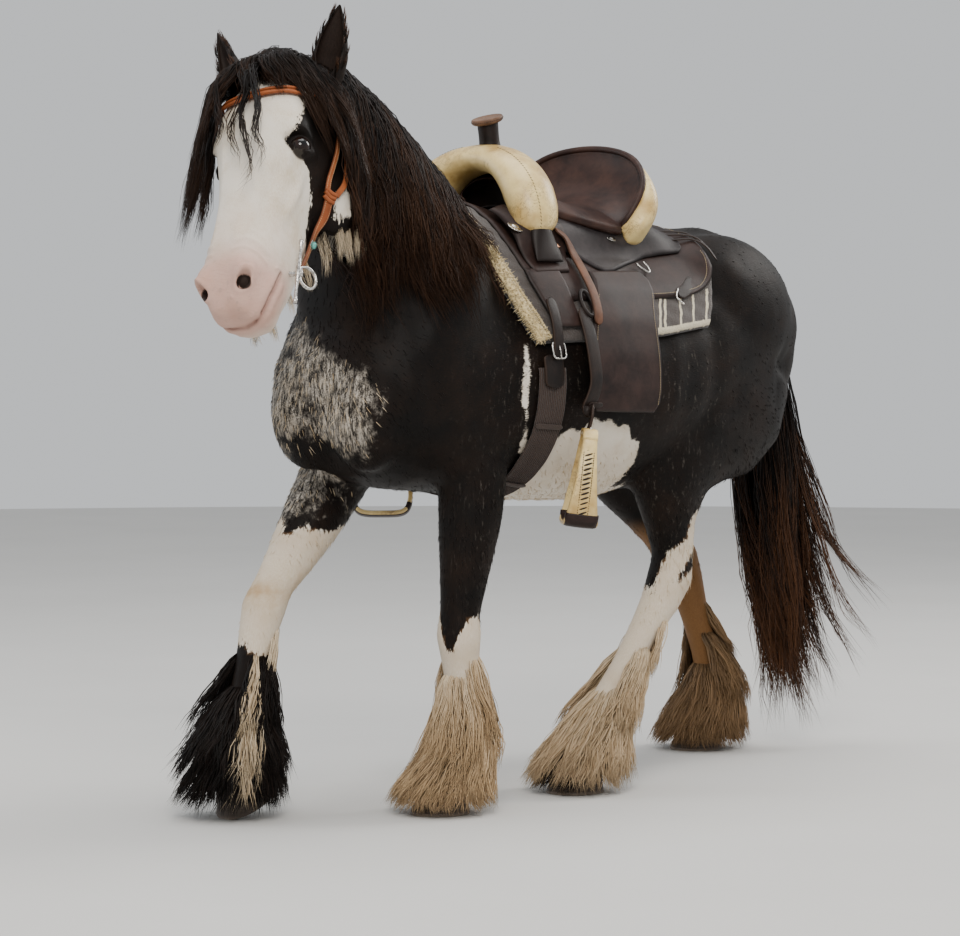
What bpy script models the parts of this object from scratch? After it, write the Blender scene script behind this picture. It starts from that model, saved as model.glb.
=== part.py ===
# An irish cob at a slow trot, life-size, in a western saddle and a headstall without reins.
# The horse faces -Y, its left side is +X, the floor is z = 0. All sizes are metres.

import math
import random

import bmesh
import bpy
from mathutils import Matrix, Vector
from mathutils.bvhtree import BVHTree

# Driving sizes
MODEL_NAME = "irish_cob"
GAP = 0.0003                  # what touching pieces keep between them
FLOOR_CLEARANCE = 0.003       # how far hair ends above the floor
VOXEL = 0.009                 # size of the remesh that blends the flesh
BLEND_PASSES = 16             # smoothing passes after the remesh
BODY_TRIANGLES = 4050         # what is left of the body before it is parted
HEAD_DETAIL = 0.00002         # how strongly the head keeps its faces in that
RING_POINTS = 28
WELD = 0.00005                # points nearer than this become one

# Torso: y, top z, bottom z, half width, height of the widest line, powers of the upper and lower half
TORSO = [
    (-0.825, 1.09, 1.01, 0.060, 0.50, 1.00, 1.00),
    (-0.795, 1.17, 0.91, 0.165, 0.48, 1.00, 1.00),
    (-0.72, 1.29, 0.81, 0.232, 0.45, 1.00, 0.95),
    (-0.61, 1.40, 0.775, 0.262, 0.43, 1.10, 0.92),
    (-0.49, 1.455, 0.765, 0.275, 0.42, 1.28, 0.92),
    (-0.38, 1.470, 0.755, 0.288, 0.42, 1.32, 0.92),
    (-0.25, 1.438, 0.742, 0.305, 0.42, 1.18, 0.95),
    (-0.10, 1.398, 0.730, 0.322, 0.42, 1.02, 0.98),
    (0.08, 1.380, 0.725, 0.332, 0.42, 0.95, 1.00),
    (0.25, 1.398, 0.750, 0.328, 0.43, 0.93, 1.00),
    (0.40, 1.432, 0.810, 0.315, 0.45, 0.92, 1.00),
    (0.54, 1.447, 0.890, 0.300, 0.46, 0.92, 1.00),
    (0.67, 1.418, 0.960, 0.272, 0.47, 0.94, 1.00),
    (0.77, 1.352, 1.000, 0.228, 0.48, 0.98, 1.00),
    (0.835, 1.270, 1.050, 0.160, 0.50, 1.00, 1.00),
    (0.862, 1.200, 1.110, 0.080, 0.50, 1.00, 1.00),
]

# Neck: point on the crest, point on the underline, half width
NECK = [
    ((0.000, -0.34, 1.42), (0.000, -0.70, 0.96), 0.185),
    ((0.000, -0.43, 1.495), (0.000, -0.785, 1.08), 0.196),
    ((-0.002, -0.52, 1.575), (0.000, -0.80, 1.20), 0.172),
    ((-0.006, -0.61, 1.660), (0.000, -0.795, 1.31), 0.148),
    ((-0.013, -0.70, 1.728), (-0.004, -0.795, 1.415), 0.132),
    ((-0.020, -0.785, 1.775), (-0.012, -0.808, 1.50), 0.120),
    ((-0.030, -0.86, 1.790), (-0.024, -0.86, 1.565), 0.108),
    ((-0.036, -0.915, 1.77), (-0.032, -0.91, 1.60), 0.092),
]

# The head's own frame: its origin lies between the ears at the face's plane
HEAD_ORIGIN = Vector((-0.022, -0.970, 1.799))
HEAD_LEFT = Vector((0.9538, 0.1887, 0.2336))
HEAD_DOWN = Vector((0.2980, -0.4987, -0.8139))
HEAD_OUT = Vector((0.0370, -0.8460, 0.5319))
HEAD_SIZE = 1.035             # of the head's table

# Head: way down the face, face line, jaw line, half width, widest line, powers of face and jaw side
HEAD = [
    (-0.030, -0.095, -0.180, 0.055, 0.5, 1.0, 1.0),
    (-0.005, -0.055, -0.215, 0.084, 0.5, 1.0, 1.0),
    (0.045, -0.016, -0.252, 0.103, 0.55, 0.85, 1.0),
    (0.105, 0.008, -0.282, 0.117, 0.62, 0.75, 0.95),
    (0.165, 0.018, -0.308, 0.124, 0.66, 0.72, 0.90),
    (0.225, 0.018, -0.322, 0.120, 0.66, 0.75, 0.85),
    (0.285, 0.012, -0.310, 0.106, 0.64, 0.80, 0.85),
    (0.345, 0.008, -0.268, 0.090, 0.62, 0.85, 0.90),
    (0.405, 0.006, -0.244, 0.080, 0.58, 0.88, 0.92),
    (0.465, 0.005, -0.228, 0.078, 0.56, 0.85, 0.90),
    (0.525, 0.003, -0.216, 0.082, 0.56, 0.80, 0.86),
    (0.582, -0.004, -0.200, 0.085, 0.56, 0.80, 0.86),
    (0.632, -0.022, -0.180, 0.078, 0.55, 0.85, 0.90),
    (0.676, -0.062, -0.165, 0.056, 0.55, 1.00, 1.00),
]

EYE_PLACE = (0.100, 0.248, -0.072)
EYE_RADIUS = 0.026
EAR_ROOTS = {1: (0.092, 0.020, -0.130), -1: (-0.126, 0.024, -0.130)}
EAR_TIPS = {1: (0.165, -0.125, -0.045), -1: (-0.192, -0.170, -0.040)}

# Limbs: x, y, z of the middle, half width, reach to the front, reach to the back
FORE_NEAR = [
    (0.150, -0.560, 1.02, 0.100, 0.140, 0.140),
    (0.165, -0.510, 0.91, 0.098, 0.118, 0.120),
    (0.176, -0.462, 0.81, 0.083, 0.090, 0.098),
    (0.177, -0.472, 0.70, 0.078, 0.082, 0.082),
    (0.174, -0.488, 0.57, 0.062, 0.064, 0.062),
    (0.172, -0.500, 0.48, 0.053, 0.052, 0.048),
    (0.170, -0.503, 0.425, 0.061, 0.056, 0.053),
    (0.168, -0.497, 0.36, 0.050, 0.045, 0.050),
    (0.165, -0.489, 0.28, 0.041, 0.038, 0.047),
    (0.162, -0.480, 0.21, 0.043, 0.040, 0.050),
    (0.160, -0.478, 0.165, 0.053, 0.050, 0.060),
    (0.157, -0.504, 0.110, 0.048, 0.043, 0.048),
    (0.155, -0.530, 0.070, 0.056, 0.052, 0.056),
    (0.155, -0.552, 0.025, 0.056, 0.052, 0.056),
]
FORE_OFF = [
    (-0.150, -0.580, 1.02, 0.100, 0.140, 0.140),
    (-0.168, -0.560, 0.91, 0.098, 0.118, 0.120),
    (-0.180, -0.560, 0.82, 0.084, 0.100, 0.095),
    (-0.177, -0.645, 0.715, 0.078, 0.084, 0.082),
    (-0.170, -0.740, 0.605, 0.062, 0.064, 0.062),
    (-0.163, -0.800, 0.545, 0.053, 0.052, 0.048),
    (-0.160, -0.836, 0.495, 0.061, 0.056, 0.053),
    (-0.158, -0.862, 0.430, 0.050, 0.045, 0.050),
    (-0.155, -0.888, 0.355, 0.041, 0.038, 0.047),
    (-0.152, -0.908, 0.280, 0.043, 0.040, 0.050),
    (-0.150, -0.920, 0.228, 0.053, 0.050, 0.060),
    (-0.150, -0.926, 0.160, 0.048, 0.043, 0.048),
    (-0.150, -0.928, 0.108, 0.056, 0.052, 0.056),
    (-0.150, -0.930, 0.058, 0.056, 0.052, 0.056),
]
HIND_NEAR = [
    (0.155, 0.440, 1.14, 0.130, 0.240, 0.380),
    (0.172, 0.390, 1.03, 0.130, 0.230, 0.370),
    (0.184, 0.330, 0.93, 0.120, 0.195, 0.300),
    (0.190, 0.280, 0.84, 0.104, 0.150, 0.210),
    (0.190, 0.262, 0.75, 0.084, 0.108, 0.128),
    (0.186, 0.272, 0.66, 0.063, 0.066, 0.080),
    (0.183, 0.287, 0.585, 0.053, 0.050, 0.068),
    (0.180, 0.280, 0.530, 0.060, 0.055, 0.075),
    (0.178, 0.243, 0.465, 0.052, 0.048, 0.060),
    (0.172, 0.190, 0.395, 0.043, 0.041, 0.046),
    (0.166, 0.128, 0.310, 0.041, 0.039, 0.046),
    (0.162, 0.075, 0.243, 0.045, 0.042, 0.052),
    (0.160, 0.040, 0.195, 0.054, 0.050, 0.060),
    (0.158, 0.004, 0.130, 0.048, 0.043, 0.048),
    (0.156, -0.030, 0.075, 0.056, 0.052, 0.056),
    (0.155, -0.052, 0.030, 0.056, 0.052, 0.056),
]
HIND_OFF = [
    (-0.155, 0.460, 1.14, 0.130, 0.250, 0.370),
    (-0.172, 0.465, 1.03, 0.130, 0.230, 0.350),
    (-0.184, 0.480, 0.93, 0.120, 0.195, 0.290),
    (-0.190, 0.515, 0.84, 0.104, 0.155, 0.215),
    (-0.190, 0.570, 0.75, 0.084, 0.110, 0.140),
    (-0.186, 0.635, 0.66, 0.063, 0.066, 0.085),
    (-0.183, 0.700, 0.590, 0.053, 0.050, 0.068),
    (-0.180, 0.752, 0.530, 0.060, 0.055, 0.075),
    (-0.178, 0.790, 0.462, 0.051, 0.047, 0.060),
    (-0.175, 0.826, 0.375, 0.043, 0.040, 0.046),
    (-0.172, 0.864, 0.280, 0.041, 0.039, 0.046),
    (-0.170, 0.888, 0.215, 0.045, 0.042, 0.052),
    (-0.170, 0.897, 0.168, 0.054, 0.050, 0.060),
    (-0.169, 0.872, 0.112, 0.048, 0.043, 0.048),
    (-0.168, 0.850, 0.070, 0.056, 0.052, 0.056),
    (-0.168, 0.832, 0.025, 0.056, 0.052, 0.056),
]

# Muscle masses: middle, radii, turn about X in degrees; each is mirrored to the other side
MUSCLES = [
    ((0.150, -0.57, 1.12), (0.112, 0.150, 0.28), -28),
    ((0.172, -0.47, 0.95), (0.096, 0.125, 0.15), 0),
    ((0.095, -0.74, 0.97), (0.110, 0.090, 0.150), 0),
    ((0.150, 0.49, 1.20), (0.160, 0.290, 0.22), 0),
    ((0.120, 0.69, 1.12), (0.115, 0.145, 0.19), 0),
]

# Bumps on the head in its own frame: place, radii; each is mirrored
HEAD_BUMPS = [
    ((0.092, 0.210, -0.052), (0.037, 0.052, 0.040)),
    ((0.072, 0.258, -0.240), (0.044, 0.100, 0.088)),
    ((0.083, 0.345, -0.108), (0.017, 0.080, 0.019)),
    ((0.050, 0.596, -0.032), (0.032, 0.044, 0.033)),
    ((0.024, 0.645, -0.074), (0.040, 0.036, 0.047)),
    ((0.016, 0.636, -0.156), (0.036, 0.038, 0.031)),
]

# Hooves: middle of the sole, turn about X, z of the sole's middle
HOOVES = {
    "hoof_fore_left": ((0.155, -0.548, 0.0), 0.0),
    "hoof_fore_right": ((-0.150, -0.903, 0.0400), 30.0),
    "hoof_hind_left": ((0.155, -0.052, 0.0), 0.0),
    "hoof_hind_right": ((-0.168, 0.834, 0.0), 0.0),
}
HOOF_WIDTH = 0.074
HOOF_FRONT = 0.086
HOOF_BACK = 0.066
HOOF_TOE = 0.078
HOOF_HEEL = 0.046


# Small tools

def collection(name):
    made = bpy.data.collections.new(name)
    bpy.context.scene.collection.children.link(made)
    return made


def add_mesh(name, verts, faces, holder):
    mesh = bpy.data.meshes.new(name)
    mesh.from_pydata([tuple(v) for v in verts], [], faces)
    bm = bmesh.new()
    bm.from_mesh(mesh)
    bmesh.ops.remove_doubles(bm, verts=bm.verts, dist=WELD)
    bmesh.ops.recalc_face_normals(bm, faces=bm.faces)
    bmesh.ops.triangulate(bm, faces=bm.faces)
    bm.to_mesh(mesh)
    bm.free()
    obj = bpy.data.objects.new(name, mesh)
    holder.objects.link(obj)
    return obj


def section(upper, lower, side, half_width, wide=0.5, upper_power=1.0, lower_power=1.0,
            count=RING_POINTS):
    middle = lower.lerp(upper, wide)
    points = []
    for i in range(count):
        angle = 2 * math.pi * i / count
        c, s = math.cos(angle), math.sin(angle)
        power = upper_power if s >= 0 else lower_power
        reach = (upper if s >= 0 else lower) - middle
        across = math.copysign(abs(c) ** power, c) * half_width
        points.append(middle + side * across + reach * abs(s) ** power)
    return points


def loft(name, rings, holder, closed=False):
    count = len(rings[0])
    verts = [p for ring in rings for p in ring]
    faces = []
    steps = len(rings) if closed else len(rings) - 1
    for i in range(steps):
        a, b = i * count, ((i + 1) % len(rings)) * count
        for j in range(count):
            k = (j + 1) % count
            faces.append((a + j, a + k, b + k, b + j))
    if not closed:
        faces.append(tuple(range(count))[::-1])
        faces.append(tuple(range(len(verts) - count, len(verts))))
    return add_mesh(name, verts, faces, holder)


def limb_frame(stations, i):
    before = Vector(stations[max(i - 1, 0)][:3])
    after = Vector(stations[min(i + 1, len(stations) - 1)][:3])
    down = (after - before).normalized()
    side = (Vector((1, 0, 0)) - down * down.x).normalized()
    front = side.cross(down)
    if front.y > 0 or (abs(front.y) < 0.3 and front.z < 0):
        front = -front
    return Vector(stations[i][:3]), down, side, front


def limb(name, stations, holder):
    rings = []
    for i, (x, y, z, half_width, ahead, behind) in enumerate(stations):
        middle, down, side, front = limb_frame(stations, i)
        rings.append(section(middle + front * ahead, middle - front * behind, side, half_width,
                             behind / (ahead + behind)))
    return loft(name, rings, holder)


def ellipsoid(name, place, radii, turn, holder, segments=24, rings=14):
    mesh = bpy.data.meshes.new(name)
    bm = bmesh.new()
    bmesh.ops.create_uvsphere(bm, u_segments=segments, v_segments=rings, radius=1.0)
    bmesh.ops.transform(bm, matrix=Matrix.Translation(place) @ turn @ Matrix.Diagonal((*radii, 1)),
                        verts=bm.verts)
    bmesh.ops.recalc_face_normals(bm, faces=bm.faces)
    bm.to_mesh(mesh)
    bm.free()
    obj = bpy.data.objects.new(name, mesh)
    holder.objects.link(obj)
    return obj


def head_point(left, down, out):
    return HEAD_ORIGIN + (HEAD_LEFT * left + HEAD_DOWN * down + HEAD_OUT * out) * HEAD_SIZE


HEAD_TURN = Matrix((
    (HEAD_LEFT.x, HEAD_DOWN.x, HEAD_OUT.x, 0),
    (HEAD_LEFT.y, HEAD_DOWN.y, HEAD_OUT.y, 0),
    (HEAD_LEFT.z, HEAD_DOWN.z, HEAD_OUT.z, 0),
    (0, 0, 0, 1)))


def evaluated_mesh(obj):
    graph = bpy.context.evaluated_depsgraph_get()
    return bpy.data.meshes.new_from_object(obj.evaluated_get(graph))


def apply_modifiers(obj):
    mesh = evaluated_mesh(obj)
    obj.modifiers.clear()
    obj.data = mesh
    return obj


def remove(objects):
    for obj in objects:
        bpy.data.objects.remove(obj)


def merged(name, objects, holder):
    bm = bmesh.new()
    for obj in objects:
        bm.from_mesh(obj.data)
    mesh = bpy.data.meshes.new(name)
    bm.to_mesh(mesh)
    bm.free()
    remove(objects)
    obj = bpy.data.objects.new(name, mesh)
    holder.objects.link(obj)
    return obj


def open_edges(mesh):
    bm = bmesh.new()
    bm.from_mesh(mesh)
    count = sum(1 for edge in bm.edges if len(edge.link_faces) != 2)
    bm.free()
    return count


def boolean(obj, others, operation):
    # EXACT first, and MANIFOLD where EXACT leaves an edge open
    holder = collection("operands")
    for other in others:
        for user in list(other.users_collection):
            user.objects.unlink(other)
        holder.objects.link(other)
    before = obj.data
    for solver in ("EXACT", "MANIFOLD"):
        obj.data = before
        modifier = obj.modifiers.new("boolean", "BOOLEAN")
        modifier.operation = operation
        modifier.solver = solver
        modifier.operand_type = "COLLECTION"
        modifier.collection = holder
        apply_modifiers(obj)
        if obj.data.polygons and not open_edges(obj.data):
            break
    remove(list(holder.objects))
    bpy.data.collections.remove(holder)
    return obj


def islands(mesh):
    # The vertices of each closed surface in the mesh
    bm = bmesh.new()
    bm.from_mesh(mesh)
    seen = set()
    groups = []
    for start in bm.verts:
        if start.index in seen:
            continue
        group = [start.index]
        seen.add(start.index)
        stack = [start]
        while stack:
            for edge in stack.pop().link_edges:
                for other in edge.verts:
                    if other.index not in seen:
                        seen.add(other.index)
                        group.append(other.index)
                        stack.append(other)
        groups.append(group)
    bm.free()
    return groups


def keep_only(mesh, group):
    wanted = set(group)
    bm = bmesh.new()
    bm.from_mesh(mesh)
    bmesh.ops.delete(bm, geom=[v for v in bm.verts if v.index not in wanted], context="VERTS")
    bmesh.ops.triangulate(bm, faces=bm.faces)
    made = bpy.data.meshes.new(mesh.name)
    bm.to_mesh(made)
    bm.free()
    return made


def volume(mesh):
    bm = bmesh.new()
    bm.from_mesh(mesh)
    size = bm.calc_volume(signed=True)
    bm.free()
    return size


def keep_largest(obj):
    made = [keep_only(obj.data, group) for group in islands(obj.data)]
    obj.data = max(made, key=volume)
    return obj


def inflated(obj, distance, holder):
    bm = bmesh.new()
    bm.from_mesh(obj.data)
    bm.normal_update()
    moves = [v.normal * distance for v in bm.verts]
    for vert, move in zip(bm.verts, moves):
        vert.co += move
    mesh = bpy.data.meshes.new(obj.name + "_grown")
    bm.to_mesh(mesh)
    bm.free()
    made = bpy.data.objects.new(mesh.name, mesh)
    holder.objects.link(made)
    return made


def seat(obj, base, gap=GAP):
    # Takes the base's shape out of the piece, so that they meet face to face
    boolean(obj, [inflated(base, gap, cutters)], "DIFFERENCE")
    return keep_largest(obj)


def cut_flat(obj, point, normal, keep_above=True):
    # Cuts the object by a plane, keeps one side and closes the cut
    bm = bmesh.new()
    bm.from_mesh(obj.data)
    cut = bmesh.ops.bisect_plane(bm, geom=bm.verts[:] + bm.edges[:] + bm.faces[:], plane_co=point,
                                 plane_no=normal, clear_inner=keep_above,
                                 clear_outer=not keep_above)
    edges = [g for g in cut["geom_cut"] if isinstance(g, bmesh.types.BMEdge)]
    bmesh.ops.holes_fill(bm, edges=edges, sides=0)
    bmesh.ops.recalc_face_normals(bm, faces=bm.faces)
    bmesh.ops.triangulate(bm, faces=bm.faces)
    bm.to_mesh(obj.data)
    bm.free()
    return obj


def slab(name, middle, normal, along, width, length):
    # A thin cutter: as thick as the gap, square to the normal
    normal = normal.normalized()
    along = (along - normal * along.dot(normal)).normalized()
    across = along.cross(normal)
    bpy.ops.mesh.primitive_cube_add(size=1.0)
    obj = bpy.context.active_object
    obj.name = name
    place = Matrix((across, along, normal)).transposed().to_4x4()
    place.translation = middle
    obj.data.transform(place @ Matrix.Diagonal((width, length, GAP, 1)))
    for user in list(obj.users_collection):
        user.objects.unlink(obj)
    cutters.objects.link(obj)
    return obj


def material(name, color, roughness, metallic=0.0):
    made = bpy.data.materials.new(name)
    made.use_nodes = True
    shader = made.node_tree.nodes["Principled BSDF"]
    shader.inputs["Base Color"].default_value = (*color, 1)
    shader.inputs["Roughness"].default_value = roughness
    shader.inputs["Metallic"].default_value = metallic
    return made


def finish(obj, surface):
    obj.data.materials.clear()
    obj.data.materials.append(surface)
    for user in list(obj.users_collection):
        user.objects.unlink(obj)
    parts.objects.link(obj)
    obj.data.shade_smooth()
    obj.data.set_sharp_from_angle(angle=math.radians(40))
    return obj


# Scene

for old in list(bpy.data.objects):
    bpy.data.objects.remove(old)

chance = random.Random(7)     # the same locks every time
parts = collection(MODEL_NAME)
cutters = collection("cutters")
X, Y, Z = Vector((1, 0, 0)), Vector((0, 1, 0)), Vector((0, 0, 1))


# The flesh in one piece

def torso_rings():
    rings = []
    for y, top, bottom, half_width, wide, upper_power, lower_power in TORSO:
        rings.append(section(Vector((0, y, top)), Vector((0, y, bottom)), X, half_width, wide,
                             upper_power, lower_power))
    return rings


def neck_rings():
    return [section(Vector(crest), Vector(throat), X, half_width, 0.46, 1.15, 0.95)
            for crest, throat, half_width in NECK]


def head_rings():
    rings = []
    for down, face, jaw, half_width, wide, face_power, jaw_power in HEAD:
        rings.append(section(head_point(0, down, face), head_point(0, down, jaw), HEAD_LEFT,
                             half_width, wide, face_power, jaw_power))
    return rings


def make_flesh():
    pieces = [
        loft("torso", torso_rings(), cutters),
        loft("neck", neck_rings(), cutters),
        loft("head", head_rings(), cutters),
        limb("fore_near", FORE_NEAR, cutters),
        limb("fore_off", FORE_OFF, cutters),
        limb("hind_near", HIND_NEAR, cutters),
        limb("hind_off", HIND_OFF, cutters),
    ]
    for (x, y, z), radii, degrees in MUSCLES:
        for way in (1, -1):
            turn = Matrix.Rotation(math.radians(degrees), 4, "X")
            pieces.append(ellipsoid("muscle", Vector((way * x, y, z)), radii, turn, cutters))
    for (left, down, out), radii in HEAD_BUMPS:
        for way in (1, -1):
            pieces.append(ellipsoid("bump", head_point(way * left, down, out), radii, HEAD_TURN,
                                    cutters, 16, 10))
    flesh = merged("flesh", pieces, cutters)
    remesh = flesh.modifiers.new("remesh", "REMESH")
    remesh.mode = "VOXEL"
    remesh.voxel_size = VOXEL
    smooth = flesh.modifiers.new("smooth", "SMOOTH")
    smooth.factor = 0.5
    smooth.iterations = BLEND_PASSES
    apply_modifiers(flesh)
    # The head and the lower legs keep more of their faces than the trunk
    trunk = flesh.vertex_groups.new(name="trunk")
    for vert in flesh.data.vertices:
        in_head = (vert.co - HEAD_ORIGIN).dot(HEAD_OUT) > -0.30 and vert.co.z > 1.15 and vert.co.y < -0.8
        trunk.add([vert.index], 0.1 if in_head else (0.8 if vert.co.z < 0.62 else 1.0), "REPLACE")
    decimate = flesh.modifiers.new("decimate", "DECIMATE")
    decimate.ratio = BODY_TRIANGLES / sum(len(p.vertices) - 2 for p in flesh.data.polygons)
    decimate.vertex_group = "trunk"
    decimate.vertex_group_factor = HEAD_DETAIL
    apply_modifiers(flesh)
    return flesh


# Where the legs are parted from the trunk: a plane z = height + rise_out * |x| + rise_back * y
LEG_CUTS = {
    "fore_near": (1, 0.708, 0.50, 0.0, -0.51, 0.50, 0.46),
    "fore_off": (-1, 0.708, 0.50, 0.0, -0.57, 0.50, 0.46),
    "hind_near": (1, 0.590, 1.037, 0.482, 0.42, 0.56, 1.16),
    "hind_off": (-1, 0.450, 1.00, 0.667, 0.56, 0.56, 1.02),
}


def leg_slab(name):
    way, height, rise_out, rise_back, y, width, length = LEG_CUTS[name]
    middle = Vector((way * 0.19, y, height + rise_out * 0.19 + rise_back * y))
    normal = Vector((-rise_out * way, -rise_back, 1.0))
    return slab("cut_" + name, middle, normal, Vector((0, 1, rise_back)), width, length)


def below_joint(stations, index):
    middle, down, side, front = limb_frame(stations, index)
    return middle, down, side


CANNON_STATION = {"fore_left": (FORE_NEAR, 7), "fore_right": (FORE_OFF, 7),
                  "hind_left": (HIND_NEAR, 9), "hind_right": (HIND_OFF, 9)}


# Where the head and the neck are parted: a point and the normal, back along the neck
CUTS = {"head": (Vector((-0.01, -0.765, 1.62)), Vector((0, 0.98, -0.20)).normalized()),
        "neck": (Vector((0, -0.655, 1.33)), Vector((0, 0.72, -0.694)).normalized())}


def part_flesh(flesh):
    slabs = [
        slab("cut_head", *CUTS["head"], Z, 0.42, 0.56),
        slab("cut_neck", *CUTS["neck"], X, 0.70, 0.76),
    ]
    slabs += [leg_slab(name) for name in LEG_CUTS]
    for stations, index in CANNON_STATION.values():
        middle, down, side = below_joint(stations, index)
        slabs.append(slab("cut_cannon", middle, down, side, 0.20, 0.20))
    boolean(flesh, slabs, "DIFFERENCE")
    seeds = {
        "head": head_point(0, 0.4, 0.0),
        "neck": Vector((0.12, -0.68, 1.55)),
        "torso": Vector((0.33, 0.05, 1.0)),
        "fore_leg_left": Vector((0.23, -0.49, 0.57)),
        "fore_leg_right": Vector((-0.23, -0.74, 0.60)),
        "hind_leg_left": Vector((0.25, 0.25, 0.70)),
        "hind_leg_right": Vector((-0.25, 0.60, 0.70)),
    }
    for name, (stations, index) in CANNON_STATION.items():
        x, y, z = stations[index + 2][:3]
        kind, side = name.split("_")
        seeds[kind + "_cannon_" + side] = Vector((x + math.copysign(0.04, x), y, z))
    groups = islands(flesh.data)
    verts = flesh.data.vertices
    nodes = {}
    for name, seed in seeds.items():
        group = min(groups, key=lambda g: min((verts[i].co - seed).length for i in g))
        obj = bpy.data.objects.new(name, keep_only(flesh.data, group))
        cutters.objects.link(obj)
        nodes[name] = obj
    remove([flesh])
    return nodes


# Hooves

def hoof_matrix(name):
    place, tilt = HOOVES[name]
    return Matrix.Translation(place) @ Matrix.Rotation(math.radians(tilt), 4, "X")


def hoof_ring(share, lift):
    # A ring of the hoof: share 0 at the sole, 1 at the coronet
    width = HOOF_WIDTH - 0.014 * share
    front = HOOF_FRONT - 0.034 * share
    back = HOOF_BACK - 0.012 * share
    points = []
    for i in range(RING_POINTS // 2):
        angle = 4 * math.pi * i / RING_POINTS
        x, y = math.cos(angle) * width, -math.sin(angle)
        y *= front if y < 0 else back
        slope = (HOOF_TOE - HOOF_HEEL) * (front - y) / (front + back)
        height = (HOOF_TOE - slope) * share
        points.append(Vector((x, y, height + lift)))
    return points


def make_hoof(name, leg):
    turn = hoof_matrix(name)
    rings = [[turn @ p for p in hoof_ring(share, 0.0)] for share in (0.0, 0.5, 1.0)]
    hoof = loft(name, rings, cutters)
    ring = rings[-1]
    normal = (ring[0] - ring[5]).cross(ring[9] - ring[5]).normalized()
    if normal.z < 0:
        normal = -normal
    cut_flat(leg, ring[0] + normal * GAP, normal)
    if HOOVES[name][1]:
        cut_flat(hoof, Vector((0, 0, 0)), Z)
    return hoof


# Ears: share of the length, half width, half depth
EAR_SECTIONS = [(-0.02, 0.032, 0.026), (0.14, 0.040, 0.031), (0.35, 0.043, 0.030), (0.55, 0.036, 0.024),
                (0.72, 0.026, 0.017), (0.87, 0.014, 0.010), (1.0, 0.003, 0.003)]
EAR_WALL = 0.005
EAR_CUP_SHIFT = 0.016


def ear_rings(way, sections, shrink, shift):
    root = head_point(*EAR_ROOTS[way])
    tip = head_point(*EAR_TIPS[way])
    axis = (tip - root).normalized()
    opening = (HEAD_OUT * 0.85 + HEAD_LEFT * (0.45 * way)).normalized()
    opening = (opening - axis * opening.dot(axis)).normalized()
    side = axis.cross(opening)
    rings = []
    for share, width, depth in sections:
        middle = root.lerp(tip, share) + opening * shift
        width, depth = max(width - shrink, 0.001), max(depth - shrink * 0.5, 0.001)
        rings.append(section(middle + opening * depth, middle - opening * depth, side, width,
                             count=10))
    return rings


def make_ear(name, way, head):
    ear = loft(name, ear_rings(way, EAR_SECTIONS, 0.0, 0.0), cutters)
    cup = loft("cup", ear_rings(way, EAR_SECTIONS[2:-1], EAR_WALL, EAR_CUP_SHIFT), cutters)
    boolean(ear, [cup], "DIFFERENCE")
    return seat(ear, head)


EYE_OUT = (0.84, 0.02, 0.54)
LID_WIDTH, LID_HEIGHT, LID_ROLL = 0.0235, 0.0165, 0.0060


def eye_frame(way):
    middle = head_point(way * EYE_PLACE[0], EYE_PLACE[1], EYE_PLACE[2])
    out = (HEAD_LEFT * (EYE_OUT[0] * way) + HEAD_DOWN * EYE_OUT[1] + HEAD_OUT * EYE_OUT[2])
    out.normalize()
    up = (-HEAD_DOWN + out * HEAD_DOWN.dot(out)).normalized()
    return middle, out, up, up.cross(out)


def make_eye(name, way, head):
    middle, out, up, across = eye_frame(way)
    lid_rings = []
    for i in range(16):
        angle = 2 * math.pi * i / 16
        radial = across * math.cos(angle) * LID_WIDTH + up * math.sin(angle) * LID_HEIGHT
        bow = out * (math.sqrt(max(EYE_RADIUS ** 2 - radial.length ** 2, 0)) + 0.001)
        away = (radial.normalized() + out * 0.4).normalized()
        tangent = (-across * math.sin(angle) * LID_WIDTH + up * math.cos(angle) * LID_HEIGHT).normalized()
        other = tangent.cross(away)
        ring = [middle + radial + bow + away * (math.cos(t) * LID_ROLL) + other * (math.sin(t) * LID_ROLL)
                for t in (2 * math.pi * k / 6 for k in range(6))]
        lid_rings.append(ring)
    lid = loft("lid", lid_rings, cutters, closed=True)
    boolean(head, [lid], "UNION")
    eye = ellipsoid(name, middle, (EYE_RADIUS,) * 3, Matrix.Identity(4), cutters, 10, 7)
    seat(head, eye)
    return eye


NOSTRIL = (0.056, 0.632, -0.026)
NOSTRIL_RADII = (0.016, 0.020, 0.016)
NOSTRIL_SUNK = 0.003


def carve_head(head, drape_head):
    nostrils = []
    for way in (1, -1):
        place = drape_head.near(head_point(way * NOSTRIL[0], *NOSTRIL[1:]), -NOSTRIL_SUNK)[0]
        nostrils.append(ellipsoid("nostril", place, NOSTRIL_RADII, HEAD_TURN, cutters, 12, 8))
    boolean(head, nostrils, "DIFFERENCE")
    slot = slab("mouth", head_point(0, 0.640, -0.110), HEAD_OUT + HEAD_DOWN * 0.16, HEAD_DOWN, 0.24, 0.17)
    turn = Matrix.Translation(head_point(0, 0.640, -0.110))
    slot.data.transform(turn @ Matrix.Scale(8, 4, (HEAD_OUT + HEAD_DOWN * 0.16).normalized())
                        @ turn.inverted())
    boolean(head, [slot], "DIFFERENCE")
    return keep_largest(head)


# Hair: flat tapered locks, each one closed body whose root is sunk into what it grows from

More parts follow.
